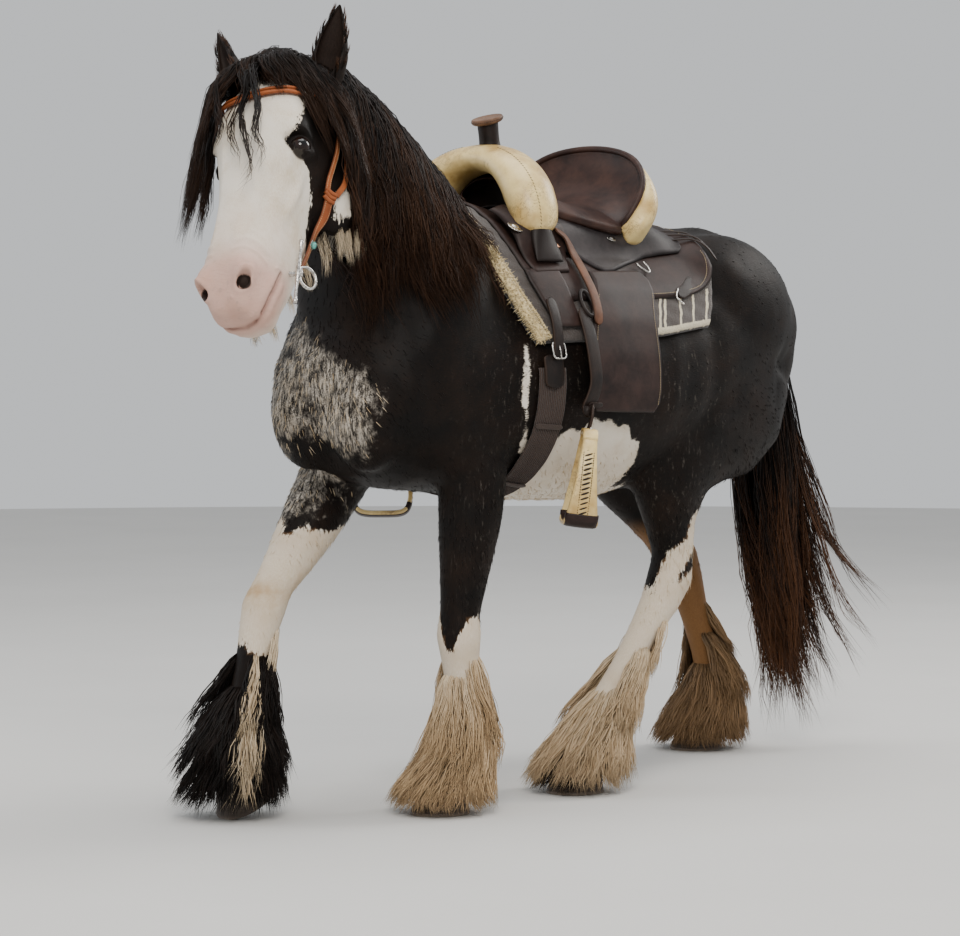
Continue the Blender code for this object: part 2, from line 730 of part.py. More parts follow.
def lock(points, faces, widths, depth):
    # Points from the root to the tip, the way the lock faces at each, and its widths.
    # Its section is a flat back and a ridge on the outer side
    last = len(points) - 1
    verts, polygons = [], []
    for i in range(last):
        along = (points[i + 1] - points[max(i - 1, 0)]).normalized()
        face = (faces[i] - along * faces[i].dot(along)).normalized()
        across = along.cross(face) * (widths[i] / 2)
        face *= depth * (1 - LOCK_TAPER * i / last)
        verts += [points[i] + across - face * 0.4, points[i] + face * 0.6, points[i] - across - face * 0.4]
    verts.append(points[last])
    for i in range(last - 1):
        for j in range(3):
            a, b = i * 3 + j, i * 3 + (j + 1) % 3
            polygons.append((a, b, b + 3, a + 3))
    polygons += [((last - 1) * 3 + j, (last - 1) * 3 + (j + 1) % 3, last * 3) for j in range(3)]
    polygons.append((2, 1, 0))
    return add_mesh("lock", verts, polygons, cutters)


LOCK_TAPER = 0.55             # how much thinner a lock is before its tip

# Feather, in tiers of locks: root height, root's distance from the limb's middle, tip height,
# tip's distance, first and last angle from the back, number of locks
FEATHERS = {
    "fore_cannon_left": [
        (0.300, 0.034, 0.120, 0.112, -48, 48, 2), (0.210, 0.036, 0.026, 0.146, -144, 144, 5),
        (0.118, 0.036, FLOOR_CLEARANCE, 0.122, -180, 108, 5)],
    "fore_cannon_right": [
        (0.385, 0.034, 0.200, 0.110, -48, 48, 2), (0.290, 0.036, 0.090, 0.146, -144, 144, 5),
        (0.195, 0.036, 0.012, 0.120, -180, 108, 5)],
    "hind_cannon_left": [
        (0.350, 0.032, 0.150, 0.118, -48, 48, 2), (0.235, 0.036, 0.030, 0.152, -144, 144, 5),
        (0.130, 0.036, FLOOR_CLEARANCE, 0.126, -180, 108, 5)],
    "hind_cannon_right": [
        (0.325, 0.032, 0.135, 0.112, -48, 48, 2), (0.215, 0.036, 0.028, 0.148, -144, 144, 5),
        (0.120, 0.036, FLOOR_CLEARANCE, 0.124, -180, 108, 5)],
}
FEATHER_SWING = {"fore_cannon_right": Vector((-0.014, -0.020, 0))}
# Along a feather lock: share of its length, share of its flare, share of the room between its neighbours
FEATHER_LINE = [(0.0, 0.0, 0.85), (0.26, 0.36, 0.95), (0.52, 0.72, 0.95), (0.78, 0.95, 0.9), (1.0, 1.0, 0.0)]
FEATHER_ROOM = 2 * math.pi / 5
FEATHER_DEPTH = 0.020


def limb_middle(stations, z):
    for upper, lower in zip(stations, stations[1:]):
        if lower[2] <= z <= upper[2]:
            share = (upper[2] - z) / (upper[2] - lower[2])
            return Vector(upper[:2]).lerp(Vector(lower[:2]), share)
    return Vector(stations[-1][:2])


def feather_lock(stations, root_z, root_out, tip_z, tip_out, degrees, swing):
    angle = math.radians(degrees)
    way = Vector((math.sin(angle), math.cos(angle), 0))
    points, widths = [], []
    for share, flare, room in FEATHER_LINE:
        z = root_z + (tip_z - root_z) * share
        middle = limb_middle(stations, z)
        out = root_out + (tip_out - root_out) * flare
        points.append(Vector((middle.x, middle.y, z)) + way * out + swing * share ** 2)
        widths.append(out * FEATHER_ROOM * room)
    return lock(points, [way] * len(points), widths, FEATHER_DEPTH)


def add_feather(cannon, hoof):
    stations, index = CANNON_STATION[cannon.name.replace("cannon_", "")]
    swing = FEATHER_SWING.get(cannon.name, Vector((0, 0, 0)))
    locks = []
    for root_z, root_out, tip_z, tip_out, first, last, count in FEATHERS[cannon.name]:
        for i in range(count):
            degrees = first + (last - first) * i / (count - 1) + chance.uniform(-1.5, 1.5)
            shorter = chance.uniform(0, 0.10) * (root_z - tip_z) if i % 2 else 0.0
            locks.append(feather_lock(stations, root_z, root_out, tip_z + shorter,
                                      tip_out * chance.uniform(0.95, 1.03), degrees, swing))
    boolean(cannon, locks, "UNION")
    return seat(cannon, hoof)


# Mane: for each side the number of locks, their length at the withers and at the poll, and drift back
MANE = {1: (9, 0.17, 0.40, 0.10), -1: (6, 0.18, 0.42, 0.08)}
MANE_LINE = (0.28, 0.52, 0.76, 1.0)
MANE_WIDTHS = [0.036, 0.062, 0.080, 0.084, 0.068]
MANE_DEPTH = 0.014
MANE_LIFTS = (0.016, 0.034)   # every second lock lies over its neighbours


def crest_at(share):
    crest = [Vector(crest) for crest, throat, half_width in NECK[1:6]]
    place = share * (len(crest) - 1)
    i = min(int(place), len(crest) - 2)
    return crest[i].lerp(crest[i + 1], place - i)


def mane_lock(drape, way, share, length, drift, lift):
    crest = crest_at(share)
    points = [crest + Vector((way * 0.008, 0, -0.026)), crest + Vector((way * 0.044, 0.004, lift * 0.5))]
    faces = [Vector((way * 0.3, 0, 1)), Vector((way, 0, 0.9))]
    for part_way in MANE_LINE:
        y, z = crest.y + drift * length * part_way, crest.z - length * part_way
        place, normal = drape.side(y, z, way)
        points.append(place + normal * (lift + 0.008 * part_way))
        faces.append(normal)
    return lock(points, faces, MANE_WIDTHS, MANE_DEPTH)


def add_mane(neck, drape):
    locks = []
    for way, (count, low_length, high_length, drift) in MANE.items():
        for i in range(count):
            share = 0.12 + 0.84 * i / (count - 1)
            length = low_length + (high_length - low_length) * share + chance.uniform(-0.03, 0.03)
            locks.append(mane_lock(drape, way, share, length, drift + chance.uniform(-0.05, 0.05),
                                   MANE_LIFTS[i % 2]))
    boolean(neck, locks, "UNION")
    return keep_largest(neck)


# Locks on the head in its own frame: left, down and out at each point, then widths and depth.
# The off side's hang clear of the cheek, the near side's lie over the straps
FORELOCK = [
    ([(-0.030, 0.010, -0.080), (-0.085, 0.050, 0.012), (-0.142, 0.140, -0.010), (-0.156, 0.270, -0.030),
      (-0.172, 0.430, -0.040)], [0.050, 0.060, 0.060, 0.040], 0.022),
    ([(-0.050, 0.015, -0.100), (-0.124, 0.060, -0.030), (-0.166, 0.150, -0.055), (-0.176, 0.280, -0.075),
      (-0.190, 0.470, -0.070)], [0.050, 0.062, 0.062, 0.042], 0.022),
    ([(-0.052, 0.012, -0.090), (-0.128, 0.046, -0.022), (-0.178, 0.130, -0.078), (-0.186, 0.260, -0.112),
      (-0.194, 0.390, -0.118)], [0.046, 0.056, 0.056, 0.038], 0.020),
    ([(-0.015, 0.010, -0.060), (-0.045, 0.045, 0.026), (-0.062, 0.120, 0.040), (-0.066, 0.200, 0.040),
      (-0.088, 0.300, 0.036)], [0.040, 0.040, 0.028, 0.018], 0.014),
    ([(0.000, 0.010, -0.060), (-0.012, 0.045, 0.030), (-0.020, 0.120, 0.046), (-0.034, 0.190, 0.044),
      (-0.046, 0.260, 0.040)], [0.040, 0.038, 0.026, 0.016], 0.014),
    ([(0.020, 0.005, -0.080), (0.070, 0.040, 0.012), (0.118, 0.095, -0.020), (0.140, 0.160, -0.090),
      (0.150, 0.240, -0.170)], [0.046, 0.058, 0.056, 0.036], 0.020),
    ([(0.030, 0.000, -0.110), (0.085, 0.020, -0.040), (0.136, 0.080, -0.080), (0.152, 0.150, -0.150),
      (0.156, 0.250, -0.230)], [0.046, 0.058, 0.056, 0.036], 0.020),
]
BEARD = [
    ([(0.020, 0.620, -0.150), (0.022, 0.650, -0.184), (0.026, 0.688, -0.196)], [0.028, 0.022], 0.012),
    ([(-0.018, 0.618, -0.150), (-0.020, 0.650, -0.184), (-0.018, 0.682, -0.200)], [0.028, 0.022], 0.012),
    ([(0.030, 0.520, -0.170), (0.034, 0.560, -0.208), (0.038, 0.605, -0.226)], [0.028, 0.022], 0.012),
    ([(-0.026, 0.505, -0.170), (-0.030, 0.550, -0.210), (-0.026, 0.595, -0.230)], [0.028, 0.022], 0.012),
    ([(0.030, 0.420, -0.200), (0.034, 0.465, -0.236), (0.040, 0.515, -0.256)], [0.028, 0.022], 0.012),
]
HEAD_AXIS_OUT = -0.11         # hair on the head faces away from this line


def head_locks(recipes):
    locks = []
    for places, widths, depth in recipes:
        points = [head_point(*place) for place in places]
        faces = [point - head_point(0, place[1], HEAD_AXIS_OUT) for point, place in zip(points, places)]
        locks.append(lock(points, faces, widths, depth))
    return locks


# Tail: x, y, z and radius down to half way, then locks: root height and side, tip
TAIL = [
    (0.000, 0.775, 1.310, 0.044), (0.000, 0.842, 1.302, 0.048), (0.002, 0.888, 1.235, 0.058),
    (0.005, 0.903, 1.100, 0.070), (0.008, 0.906, 0.950, 0.070), (0.010, 0.908, 0.820, 0.052),
    (0.012, 0.910, 0.740, 0.024)]
TAIL_LOCKS = [
    (1.16, -35, (-0.055, 0.955, 0.300)), (1.12, 10, (0.015, 1.000, 0.055)), (1.10, 60, (0.085, 0.985, 0.120)),
    (1.06, 110, (0.095, 0.925, 0.300)), (1.00, 30, (0.050, 1.055, 0.040)),
    (0.94, -10, (0.030, 1.110, 0.080)), 
    (0.90, 20, (0.100, 1.345, 0.350)), (0.88, 50, (0.090, 1.270, 0.240)), (0.86, -25, (0.055, 1.190, 0.120)),
]


def make_tail(torso):
    rings = []
    for i, (x, y, z, radius) in enumerate(TAIL):
        before, after = Vector(TAIL[max(i - 1, 0)][:3]), Vector(TAIL[min(i + 1, len(TAIL) - 1)][:3])
        along = (after - before).normalized()
        up = X.cross(along).normalized()
        here = Vector((x, y, z))
        rings.append(section(here + up * radius * 0.85, here - up * radius * 0.85,
                             (X - along * X.dot(along)).normalized(), radius, count=10))
    tail = loft("tail", rings, cutters)
    locks = []
    for root_z, degrees, tip in TAIL_LOCKS:
        angle = math.radians(degrees)
        way = Vector((math.sin(angle), math.cos(angle), 0))
        root = Vector((0.005, 0.903, root_z)) + way * 0.050
        tip = Vector(tip)
        points = []
        for share in (0.0, 0.28, 0.56, 0.80, 1.0):
            aside = share ** 2.4
            bulge = way * 0.034 * math.sin(math.pi * min(share * 1.3, 1.0))
            points.append(Vector((root.x + (tip.x - root.x) * aside, root.y + (tip.y - root.y) * aside,
                                  root.z + (tip.z - root.z) * share ** 0.9)) + bulge)
        locks.append(lock(points, [way] * 5, [0.034, 0.066, 0.074, 0.055], 0.024))
    boolean(tail, locks, "UNION")
    return seat(tail, torso)


# Saddle and pad. Each layer lies between two distances from the horse's back
PAD_LAYER = (0.0055, 0.024)
SKIRT_LAYER = (0.0255, 0.033)
FENDER_LAYER = (0.0355, 0.041)
JOCKEY_LAYER = (0.0345, 0.041)
CINCH_LAYER = (0.0050, 0.013)
BACK_CENTRE_Z = 1.08
SHELL_STATIONS = [-0.46, -0.37, -0.28, -0.18, -0.07, 0.04, 0.15, 0.26, 0.365]


class Drape:
    # Finds places on the trunk by their y and their angle from straight up, left positive
    def __init__(self, objects):
        verts, faces = [], []
        for obj in objects:
            start = len(verts)
            verts += [v.co.copy() for v in obj.data.vertices]
            faces += [[start + i for i in p.vertices] for p in obj.data.polygons]
        self.tree = BVHTree.FromPolygons(verts, faces)

    def at(self, y, degrees, lift):
        a = math.radians(degrees)
        way = Vector((math.sin(a), 0, math.cos(a)))
        centre = Vector((0, y, BACK_CENTRE_Z))
        hit = self.tree.ray_cast(centre + way * 1.5, -way)
        place = hit[0]
        normal = way * 0.6 + hit[1] * 0.4
        normal.y = 0
        return place + normal.normalized() * lift

    def side(self, y, z, way):
        place, normal, index, distance = self.tree.ray_cast(Vector((way, y, z)), Vector((-way, 0, 0)))
        return place, normal

    def near(self, point, lift):
        place, normal, index, distance = self.tree.find_nearest(point)
        return place + normal * lift, normal


def shell(name, drape, front, back, low, high, layer, columns, surface):
    # A layer over the back from angle low to angle high, between two edges given as functions.
    # All layers share the same stations along y, so that they lie on each other evenly
    row = len(SHELL_STATIONS)
    inner, outer = [], []
    for i in range(columns + 1):
        degrees = low + (high - low) * i / columns
        for station in SHELL_STATIONS:
            y = min(max(station, front(degrees)), back(degrees))
            inner.append(drape.at(y, degrees, layer[0]))
            outer.append(drape.at(y, degrees, layer[1]))
    verts = inner + outer
    half = len(inner)
    faces = []
    for i in range(columns):
        for j in range(row - 1):
            a, b = i * row + j, (i + 1) * row + j
            faces.append((a, b, b + 1, a + 1))
            faces.append((half + a, half + a + 1, half + b + 1, half + b))
        faces.append((i * row, half + i * row, half + (i + 1) * row, (i + 1) * row))
        a, b = i * row + row - 1, (i + 1) * row + row - 1
        faces.append((a, b, half + b, half + a))
    for j in range(row - 1):
        a, b = j, columns * row + j
        faces.append((a, a + 1, half + a + 1, half + a))
        faces.append((b, half + b, half + b + 1, b + 1))
    return finish(add_mesh(name, verts, faces, cutters), surface)


def band(name, places, width, thickness, holder, lift=0.0, closed=False):
    # A strap along places, each a point and the normal it lies against
    rings = []
    count = len(places)
    for i, (point, normal) in enumerate(places):
        if closed:
            along = places[(i + 1) % count][0] - places[i - 1][0]
        else:
            along = places[min(i + 1, count - 1)][0] - places[max(i - 1, 0)][0]
        along.normalize()
        across = along.cross(normal).normalized()
        up = across.cross(along).normalized()
        low, high = point + up * lift, point + up * (lift + thickness)
        half = (width[i] if isinstance(width, list) else width) / 2
        rings.append([low - across * half, low + across * half,
                      high + across * half, high - across * half])
    return loft(name, rings, holder, closed)


def arch(name, places, holder, count=14):
    # Points over the back: x, y, z, half depth along y, half thickness square to the arch
    rings = []
    for i, (x, y, z, depth, thickness) in enumerate(places):
        before, after = Vector(places[max(i - 1, 0)][:3]), Vector(places[min(i + 1, len(places) - 1)][:3])
        along = (after - before).normalized()
        side = (Y - along * along.y).normalized()
        up = along.cross(side)
        here = Vector((x, y, z))
        rings.append(section(here + up * thickness, here - up * thickness, side, depth, count=count))
    return loft(name, rings, holder)


def mirrored(places):
    return places + [(-p[0],) + tuple(p[1:]) for p in places[-2::-1]]


FORK = mirrored([
    (0.246, -0.262, 1.345, 0.060, 0.010), (0.232, -0.258, 1.395, 0.064, 0.016),
    (0.212, -0.252, 1.440, 0.072, 0.032), (0.184, -0.246, 1.492, 0.080, 0.048),
    (0.140, -0.242, 1.542, 0.084, 0.050), (0.080, -0.238, 1.578, 0.080, 0.040),
    (0.000, -0.234, 1.592, 0.074, 0.036)])
CANTLE = mirrored([
    (0.215, 0.085, 1.440, 0.014, 0.020), (0.212, 0.118, 1.490, 0.022, 0.030),
    (0.186, 0.152, 1.548, 0.028, 0.036), (0.130, 0.178, 1.592, 0.028, 0.036),
    (0.066, 0.190, 1.614, 0.026, 0.034), (0.000, 0.194, 1.620, 0.026, 0.034)])
SEAT = [(-0.175, 1.545, 0.150), (-0.12, 1.520, 0.178), (-0.03, 1.502, 0.205), (0.05, 1.505, 0.215),
        (0.11, 1.530, 0.215), (0.155, 1.570, 0.200), (0.180, 1.600, 0.170)]
HORN_PLACE = Vector((0, -0.228, 1.60))
HORN_LEAN = 8
HORN_PROFILE = [(0.0, 0.094), (0.030, 0.093), (0.040, 0.086), (0.040, 0.076), (0.030, 0.070),
                (0.021, 0.064), (0.019, 0.040), (0.022, 0.015), (0.030, 0.0), (0.0, 0.0)]


def make_horn(surface):
    mesh = bpy.data.meshes.new("saddle_horn")
    mesh.from_pydata([(r, 0, z) for r, z in HORN_PROFILE], [(i, i + 1) for i in range(9)], [])
    horn = bpy.data.objects.new("saddle_horn", mesh)
    cutters.objects.link(horn)
    screw = horn.modifiers.new("turn", "SCREW")
    screw.steps = screw.render_steps = 16
    screw.merge_threshold = 0.0001
    screw.use_merge_vertices = True
    apply_modifiers(horn)
    bm = bmesh.new()
    bm.from_mesh(horn.data)
    bmesh.ops.remove_doubles(bm, verts=bm.verts, dist=0.00005)
    bmesh.ops.recalc_face_normals(bm, faces=bm.faces)
    bm.to_mesh(horn.data)
    bm.free()
    horn.data.transform(Matrix.Translation(HORN_PLACE) @ Matrix.Rotation(math.radians(HORN_LEAN), 4, "X"))
    return finish(horn, surface)


def make_seat(layers):
    rings = [section(Vector((0, y, z)), Vector((0, y, 1.30)), X, half_width, 0.25, 0.7, 1.0, count=16)
             for y, z, half_width in SEAT]
    saddle_seat = loft("saddle_seat", rings, cutters)
    for layer in layers:
        seat(saddle_seat, layer)
    return saddle_seat


STIRRUP_TURN = -44
STIRRUP_TOP = Vector((0.352, -0.235, 0.905))
STIRRUP_LOOP = [(-0.034, 0.0), (0.034, 0.0), (0.060, -0.10), (0.067, -0.18), (0.055, -0.210),
                (-0.055, -0.210), (-0.067, -0.18), (-0.060, -0.10)]
STIRRUP_WIDTHS = [0.032, 0.032, 0.050, 0.072, 0.085, 0.085, 0.072, 0.050]


def make_stirrup(name, way, surface):
    turn = Matrix.Translation((way * STIRRUP_TOP.x, STIRRUP_TOP.y, STIRRUP_TOP.z)) @ Matrix.Rotation(
        math.radians(way * STIRRUP_TURN), 4, "Z")
    places = []
    for x, z in STIRRUP_LOOP:
        normal = Vector((x, 0, z + 0.11)).normalized()
        places.append((turn @ Vector((x, 0, z)), turn.to_3x3() @ normal))
    stirrup = band(name, places, STIRRUP_WIDTHS, 0.012, cutters, closed=True)
    return finish(stirrup, surface)


# Straps of the headstall in the head's frame: left, down, out
CHEEK_STRAP = [(0.106, 0.070, -0.125), (0.112, 0.130, -0.165), (0.112, 0.190, -0.186),
               (0.110, 0.250, -0.196), (0.100, 0.305, -0.200), (0.090, 0.360, -0.204),
               (0.086, 0.420, -0.204), (0.084, 0.470, -0.194), (0.084, 0.505, -0.178)]
CROWN_STRAP = [(0.106, 0.070, -0.125), (0.100, 0.030, -0.140), (0.074, -0.010, -0.146),
               (0.036, -0.030, -0.145), (0.000, -0.036, -0.144)]
BROWBAND = [(0.108, 0.082, -0.125), (0.112, 0.104, -0.072), (0.106, 0.118, -0.046), (0.090, 0.128, -0.010),
            (0.060, 0.136, 0.006), (0.030, 0.138, 0.012), (0.000, 0.138, 0.014)]
THROATLATCH = [(0.112, 0.050, -0.152), (0.122, 0.110, -0.172), (0.122, 0.165, -0.228),
               (0.103, 0.220, -0.276), (0.060, 0.262, -0.308), (0.000, 0.275, -0.318)]
THROAT_AXIS_OUT = -0.14       # the straps of the throatlatch face away from this line in the head
STRAP_WIDTH = 0.018
THROAT_WIDTH = 0.013
STRAP_THICKNESS = 0.004
BIT_RING = (0.100, 0.534, -0.176)
BIT_BAR = (0.097, 0.536, -0.146)
BIT_RING_RADIUS = 0.026
BIT_BAR_LENGTH = 0.155


def both_sides(points):
    return points + [(-p[0], p[1], p[2]) for p in points[-2::-1]]


def head_strap(name, points, drape_head, width=STRAP_WIDTH, lift=0.0030):
    places = []
    for point in points:
        place, normal = drape_head.near(head_point(*point), 0.0)
        places.append((place, normal))
    return band(name, places, width, STRAP_THICKNESS, cutters, lift)


def make_throatlatch():
    # It hangs clear of the jaw
    places = []
    for left, down, out in both_sides(THROATLATCH):
        axis = head_point(0, down, THROAT_AXIS_OUT)
        here = head_point(left, down, out)
        places.append((here, (here - axis).normalized()))
    return band("throatlatch", places, THROAT_WIDTH, STRAP_THICKNESS, cutters)


def make_headstall(drape_head):
    crown = head_strap("headstall", both_sides(CROWN_STRAP), drape_head)
    others = [head_strap("browband", both_sides(BROWBAND), drape_head, lift=0.0040)]
    for way in (1, -1):
        cheek = [(way * left, down, out) for left, down, out in CHEEK_STRAP]
        others.append(head_strap("cheek", cheek, drape_head, lift=0.0050))
    boolean(crown, others, "UNION")
    return keep_largest(crown)


def rod(name, start, end, radius, sides=6):
    bpy.ops.mesh.primitive_cylinder_add(vertices=sides, radius=radius, depth=1.0)
    obj = bpy.context.active_object
    obj.name = name
    along = end - start
    turn = along.to_track_quat("Z", "Y").to_matrix().to_4x4()
    obj.data.transform(Matrix.Translation((start + end) / 2) @ turn
                       @ Matrix.Diagonal((1, 1, along.length, 1)))
    for user in list(obj.users_collection):
        user.objects.unlink(obj)
    cutters.objects.link(obj)
    return obj


def ring(name, middle, normal, radius, thickness, sides=12, around=4):
    normal = normal.normalized()
    first = normal.orthogonal().normalized()
    second = normal.cross(first)
    rings = []
    for i in range(sides):
        angle = 2 * math.pi * i / sides
        out = first * math.cos(angle) + second * math.sin(angle)
        rings.append([middle + out * (radius + thickness * math.cos(t)) + normal * (thickness * math.sin(t))
                      for t in (2 * math.pi * k / around for k in range(around))])
    return loft(name, rings, cutters, closed=True)


def make_bit(name, way, head):
    left, down, out = BIT_RING
    middle = head_point(way * left, down, out)
    face = (HEAD_LEFT * way + HEAD_OUT * 0.18).normalized()
    bit = ring(name, middle, face, BIT_RING_RADIUS, 0.0035)
    bar = [head_point(way * (BIT_BAR[0] - 0.002 * k), down + k * BIT_BAR_LENGTH / 2, BIT_BAR[2] - 0.010 * k)
           for k in (-1, 1)]
    mouthpiece = (head_point(way * BIT_BAR[0], down, BIT_BAR[2]), head_point(way * 0.062, down, BIT_BAR[2]))
    pieces = [rod("bar", bar[0], bar[1], 0.0042), rod("mouthpiece", *mouthpiece, 0.007)]
    boolean(bit, pieces, "UNION")
    return seat(keep_largest(bit), head)


def strap_over(name, drape, stops, width, thickness, surface):
    # A strap over the trunk: y, angle and lift at each stop
    places = []
    for y, degrees, lift in stops:
        low, high = drape.at(y, degrees, lift), drape.at(y, degrees, lift + 0.01)
        places.append((low, (high - low).normalized()))
    return finish(band(name, places, width, thickness, cutters), surface)


# Assembly of the body

flesh = make_flesh()
drape = Drape([flesh])
nodes = part_flesh(flesh)
for hoof_name in HOOVES:
    kind, end, side = hoof_name.split("_")
    nodes[hoof_name] = make_hoof(hoof_name, nodes[end + "_cannon_" + side])
head = nodes["head"]
bare_head = bpy.data.objects.new("bare_head", head.data.copy())
cutters.objects.link(bare_head)
drape_head = Drape([bare_head])
boolean(head, head_locks(FORELOCK + BEARD), "UNION")
for name, way in (("eye_left", 1), ("eye_right", -1)):
    nodes[name] = make_eye(name, way, head)
carve_head(head, drape_head)
nodes["tail"] = make_tail(nodes["torso"])
for name in FEATHERS:
    nodes[name] = add_feather(nodes[name], nodes["hoof_" + name.replace("cannon_", "")])
add_mane(nodes["neck"], drape)
seat(nodes["neck"], nodes["torso"])
seat(nodes["neck"], head)
for name, way in (("ear_left", 1), ("ear_right", -1)):
    nodes[name] = make_ear(name, way, head)
    seat(nodes[name], nodes["neck"])

coat_dark = material("coat_dark", (0.035, 0.022, 0.016), 0.55)
coat_white = material("coat_white", (0.75, 0.68, 0.58), 0.6)
hoof_horn = material("hoof_horn", (0.10, 0.08, 0.065), 0.45)
eye_dark = material("eye_dark", (0.01, 0.008, 0.006), 0.05)
hair_black = material("hair_black", (0.012, 0.010, 0.009), 0.5)
rawhide = material("rawhide", (0.72, 0.58, 0.33), 0.45)
saddle_leather = material("saddle_leather", (0.055, 0.030, 0.022), 0.4)
fleece = material("fleece", (0.55, 0.45, 0.26), 0.9)
headstall_leather = material("headstall_leather", (0.42, 0.16, 0.05), 0.45)
steel = material("steel", (0.6, 0.6, 0.6), 0.25, 1.0)
cinch_web = material("cinch_web", (0.08, 0.045, 0.03), 0.7)
node_surface = {"head": coat_white, "tail": hair_black, "neck": hair_black}
for name, obj in nodes.items():
    keep_largest(obj)
    kind = name.split("_")[0]
    surface = {"hoof": hoof_horn, "eye": eye_dark}.get(kind, coat_dark)
    if "cannon" in name and name != "fore_cannon_right":
        surface = coat_white
    finish(obj, node_surface.get(name, surface))


def saddle_front(degrees):
    return -0.44 + 0.09 * (abs(degrees) / 80) ** 2


pad = shell("saddle_pad", drape, saddle_front, lambda d: 0.365, -80, 80, PAD_LAYER, 16, fleece)
seat(pad, nodes["torso"])
seat(nodes["neck"], pad)
finish(nodes["neck"], hair_black)
skirt = shell("saddle_skirt", drape, lambda d: -0.335 + 0.05 * (abs(d) / 60) ** 2,
              lambda d: 0.34 - 0.05 * (abs(d) / 60) ** 3, -60, 60, SKIRT_LAYER, 12, saddle_leather)
seat(skirt, pad)
jockey = shell("seat_jockey", drape, lambda d: -0.185 + 0.03 * (abs(d) / 50) ** 2,
               lambda d: 0.315 - 0.09 * (abs(d) / 50) ** 4, -50, 50, JOCKEY_LAYER, 10, saddle_leather)
seat(jockey, skirt)
layers = [pad, skirt, jockey]
for side, way in (("left", 1), ("right", -1)):
    low, high = (50, 110) if way == 1 else (-110, -50)
    fender = shell("fender_" + side, drape, lambda d: -0.185 - 0.03 * max(0, (abs(d) - 75) / 33),
                   lambda d: 0.02, low, high, FENDER_LAYER, 6, saddle_leather)
    seat(fender, jockey)
    seat(fender, skirt)
    layers.append(fender)
    stops = [(-0.255, way * a, 0.0325) for a in (40, 50, 60, 70, 80, 90, 97)]
    leather = strap_over("stirrup_leather_" + side, drape, stops, 0.044, 0.006, saddle_leather)
    seat(leather, skirt)
    stops = [(-0.305, way * a, lift) for a, lift in ((40, 0.032), (50, 0.032), (60, 0.032), (70, 0.024),
                                                     (80, 0.024), (86, 0.012))]
    latigo = strap_over("latigo_" + side, drape, stops, 0.032, 0.005, saddle_leather)
    for layer in (pad, skirt):
        seat(latigo, layer)
    layers += [leather, latigo]
fork = finish(arch("saddle_fork", FORK, cutters), rawhide)
cantle = finish(arch("saddle_cantle", CANTLE, cutters), rawhide)
for layer in layers:
    if layer.name in ("saddle_skirt", "saddle_pad", "stirrup_leather_left", "stirrup_leather_right",
                      "latigo_left", "latigo_right", "seat_jockey"):
        seat(fork, layer)
seat(cantle, jockey)
seat(cantle, skirt)
horn = make_horn(saddle_leather)
seat(horn, fork)
seat_node = make_seat([jockey, skirt, fork, cantle, horn, pad, nodes["torso"]])
finish(seat_node, saddle_leather)
for side, way in (("left", 1), ("right", -1)):
    make_stirrup("stirrup_" + side, way, rawhide)

cinch = shell("cinch", drape, lambda d: -0.355, lambda d: -0.27, 86, 274, CINCH_LAYER, 18, cinch_web)
seat(cinch, nodes["torso"])
for layer in (pad, layers[5], layers[8]):
    seat(cinch, layer)

headstall = make_headstall(drape_head)
throat = make_throatlatch()
finish(headstall, headstall_leather)
finish(throat, headstall_leather)
for other in (head, nodes["neck"], nodes["ear_left"], nodes["ear_right"]):
    seat(headstall, other)
seat(throat, headstall)
for other in (head, nodes["neck"]):
    seat(throat, other)
for side, way in (("left", 1), ("right", -1)):
    bit = make_bit("bit_" + side, way, head)
    finish(bit, steel)
    seat(headstall, bit)
remove(list(cutters.objects))

# The box stands on the floor with its middle at the origin
corners = [v.co for obj in parts.objects for v in obj.data.vertices]
BOX_MIDDLE = Vector([(min(c[i] for c in corners) + max(c[i] for c in corners)) / 2 for i in (0, 1)] + [0])
for obj in parts.objects:
    obj.data.transform(Matrix.Translation(-BOX_MIDDLE))
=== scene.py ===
# The looks of an irish cob that stands still, in a western saddle and a headstall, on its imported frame.
# The horse faces -Y, its left side is +X. Sizes and places are metres, as the part's tables give them.
import math
import random

import bmesh
import bpy
import numpy as np
from mathutils import Matrix, Vector
from mathutils.bvhtree import BVHTree


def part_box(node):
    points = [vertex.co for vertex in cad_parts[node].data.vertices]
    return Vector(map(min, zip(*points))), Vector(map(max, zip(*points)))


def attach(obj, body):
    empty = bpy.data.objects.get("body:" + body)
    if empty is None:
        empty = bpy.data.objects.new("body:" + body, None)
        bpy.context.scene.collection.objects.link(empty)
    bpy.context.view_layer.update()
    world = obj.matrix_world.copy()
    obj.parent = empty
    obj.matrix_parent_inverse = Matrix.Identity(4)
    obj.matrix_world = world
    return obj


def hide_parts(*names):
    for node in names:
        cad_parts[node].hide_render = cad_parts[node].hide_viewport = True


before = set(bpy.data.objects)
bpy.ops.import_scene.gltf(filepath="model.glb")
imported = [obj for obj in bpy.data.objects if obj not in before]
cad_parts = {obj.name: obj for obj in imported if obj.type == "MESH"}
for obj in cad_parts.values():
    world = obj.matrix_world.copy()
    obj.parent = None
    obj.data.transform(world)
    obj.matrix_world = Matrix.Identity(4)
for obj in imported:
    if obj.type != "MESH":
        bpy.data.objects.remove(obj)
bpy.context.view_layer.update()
hoofLow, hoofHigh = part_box("hoof_fore_left")
# The frame's middle lies a little off the tables' own: the near fore hoof tells by how much
tableHoof = Vector((0.155, -0.558, 0))
offset = (hoofLow + hoofHigh) / 2 - tableHoof
offset.z = 0
draws = np.random.default_rng(11)
chance = random.Random(11)
xAxis, yAxis, zAxis = Vector((1, 0, 0)), Vector((0, 1, 0)), Vector((0, 0, 1))
sides = (("Left", 1), ("Right", -1))
print("frame loaded, offset", [round(v, 4) for v in offset])


# Small mesh tools

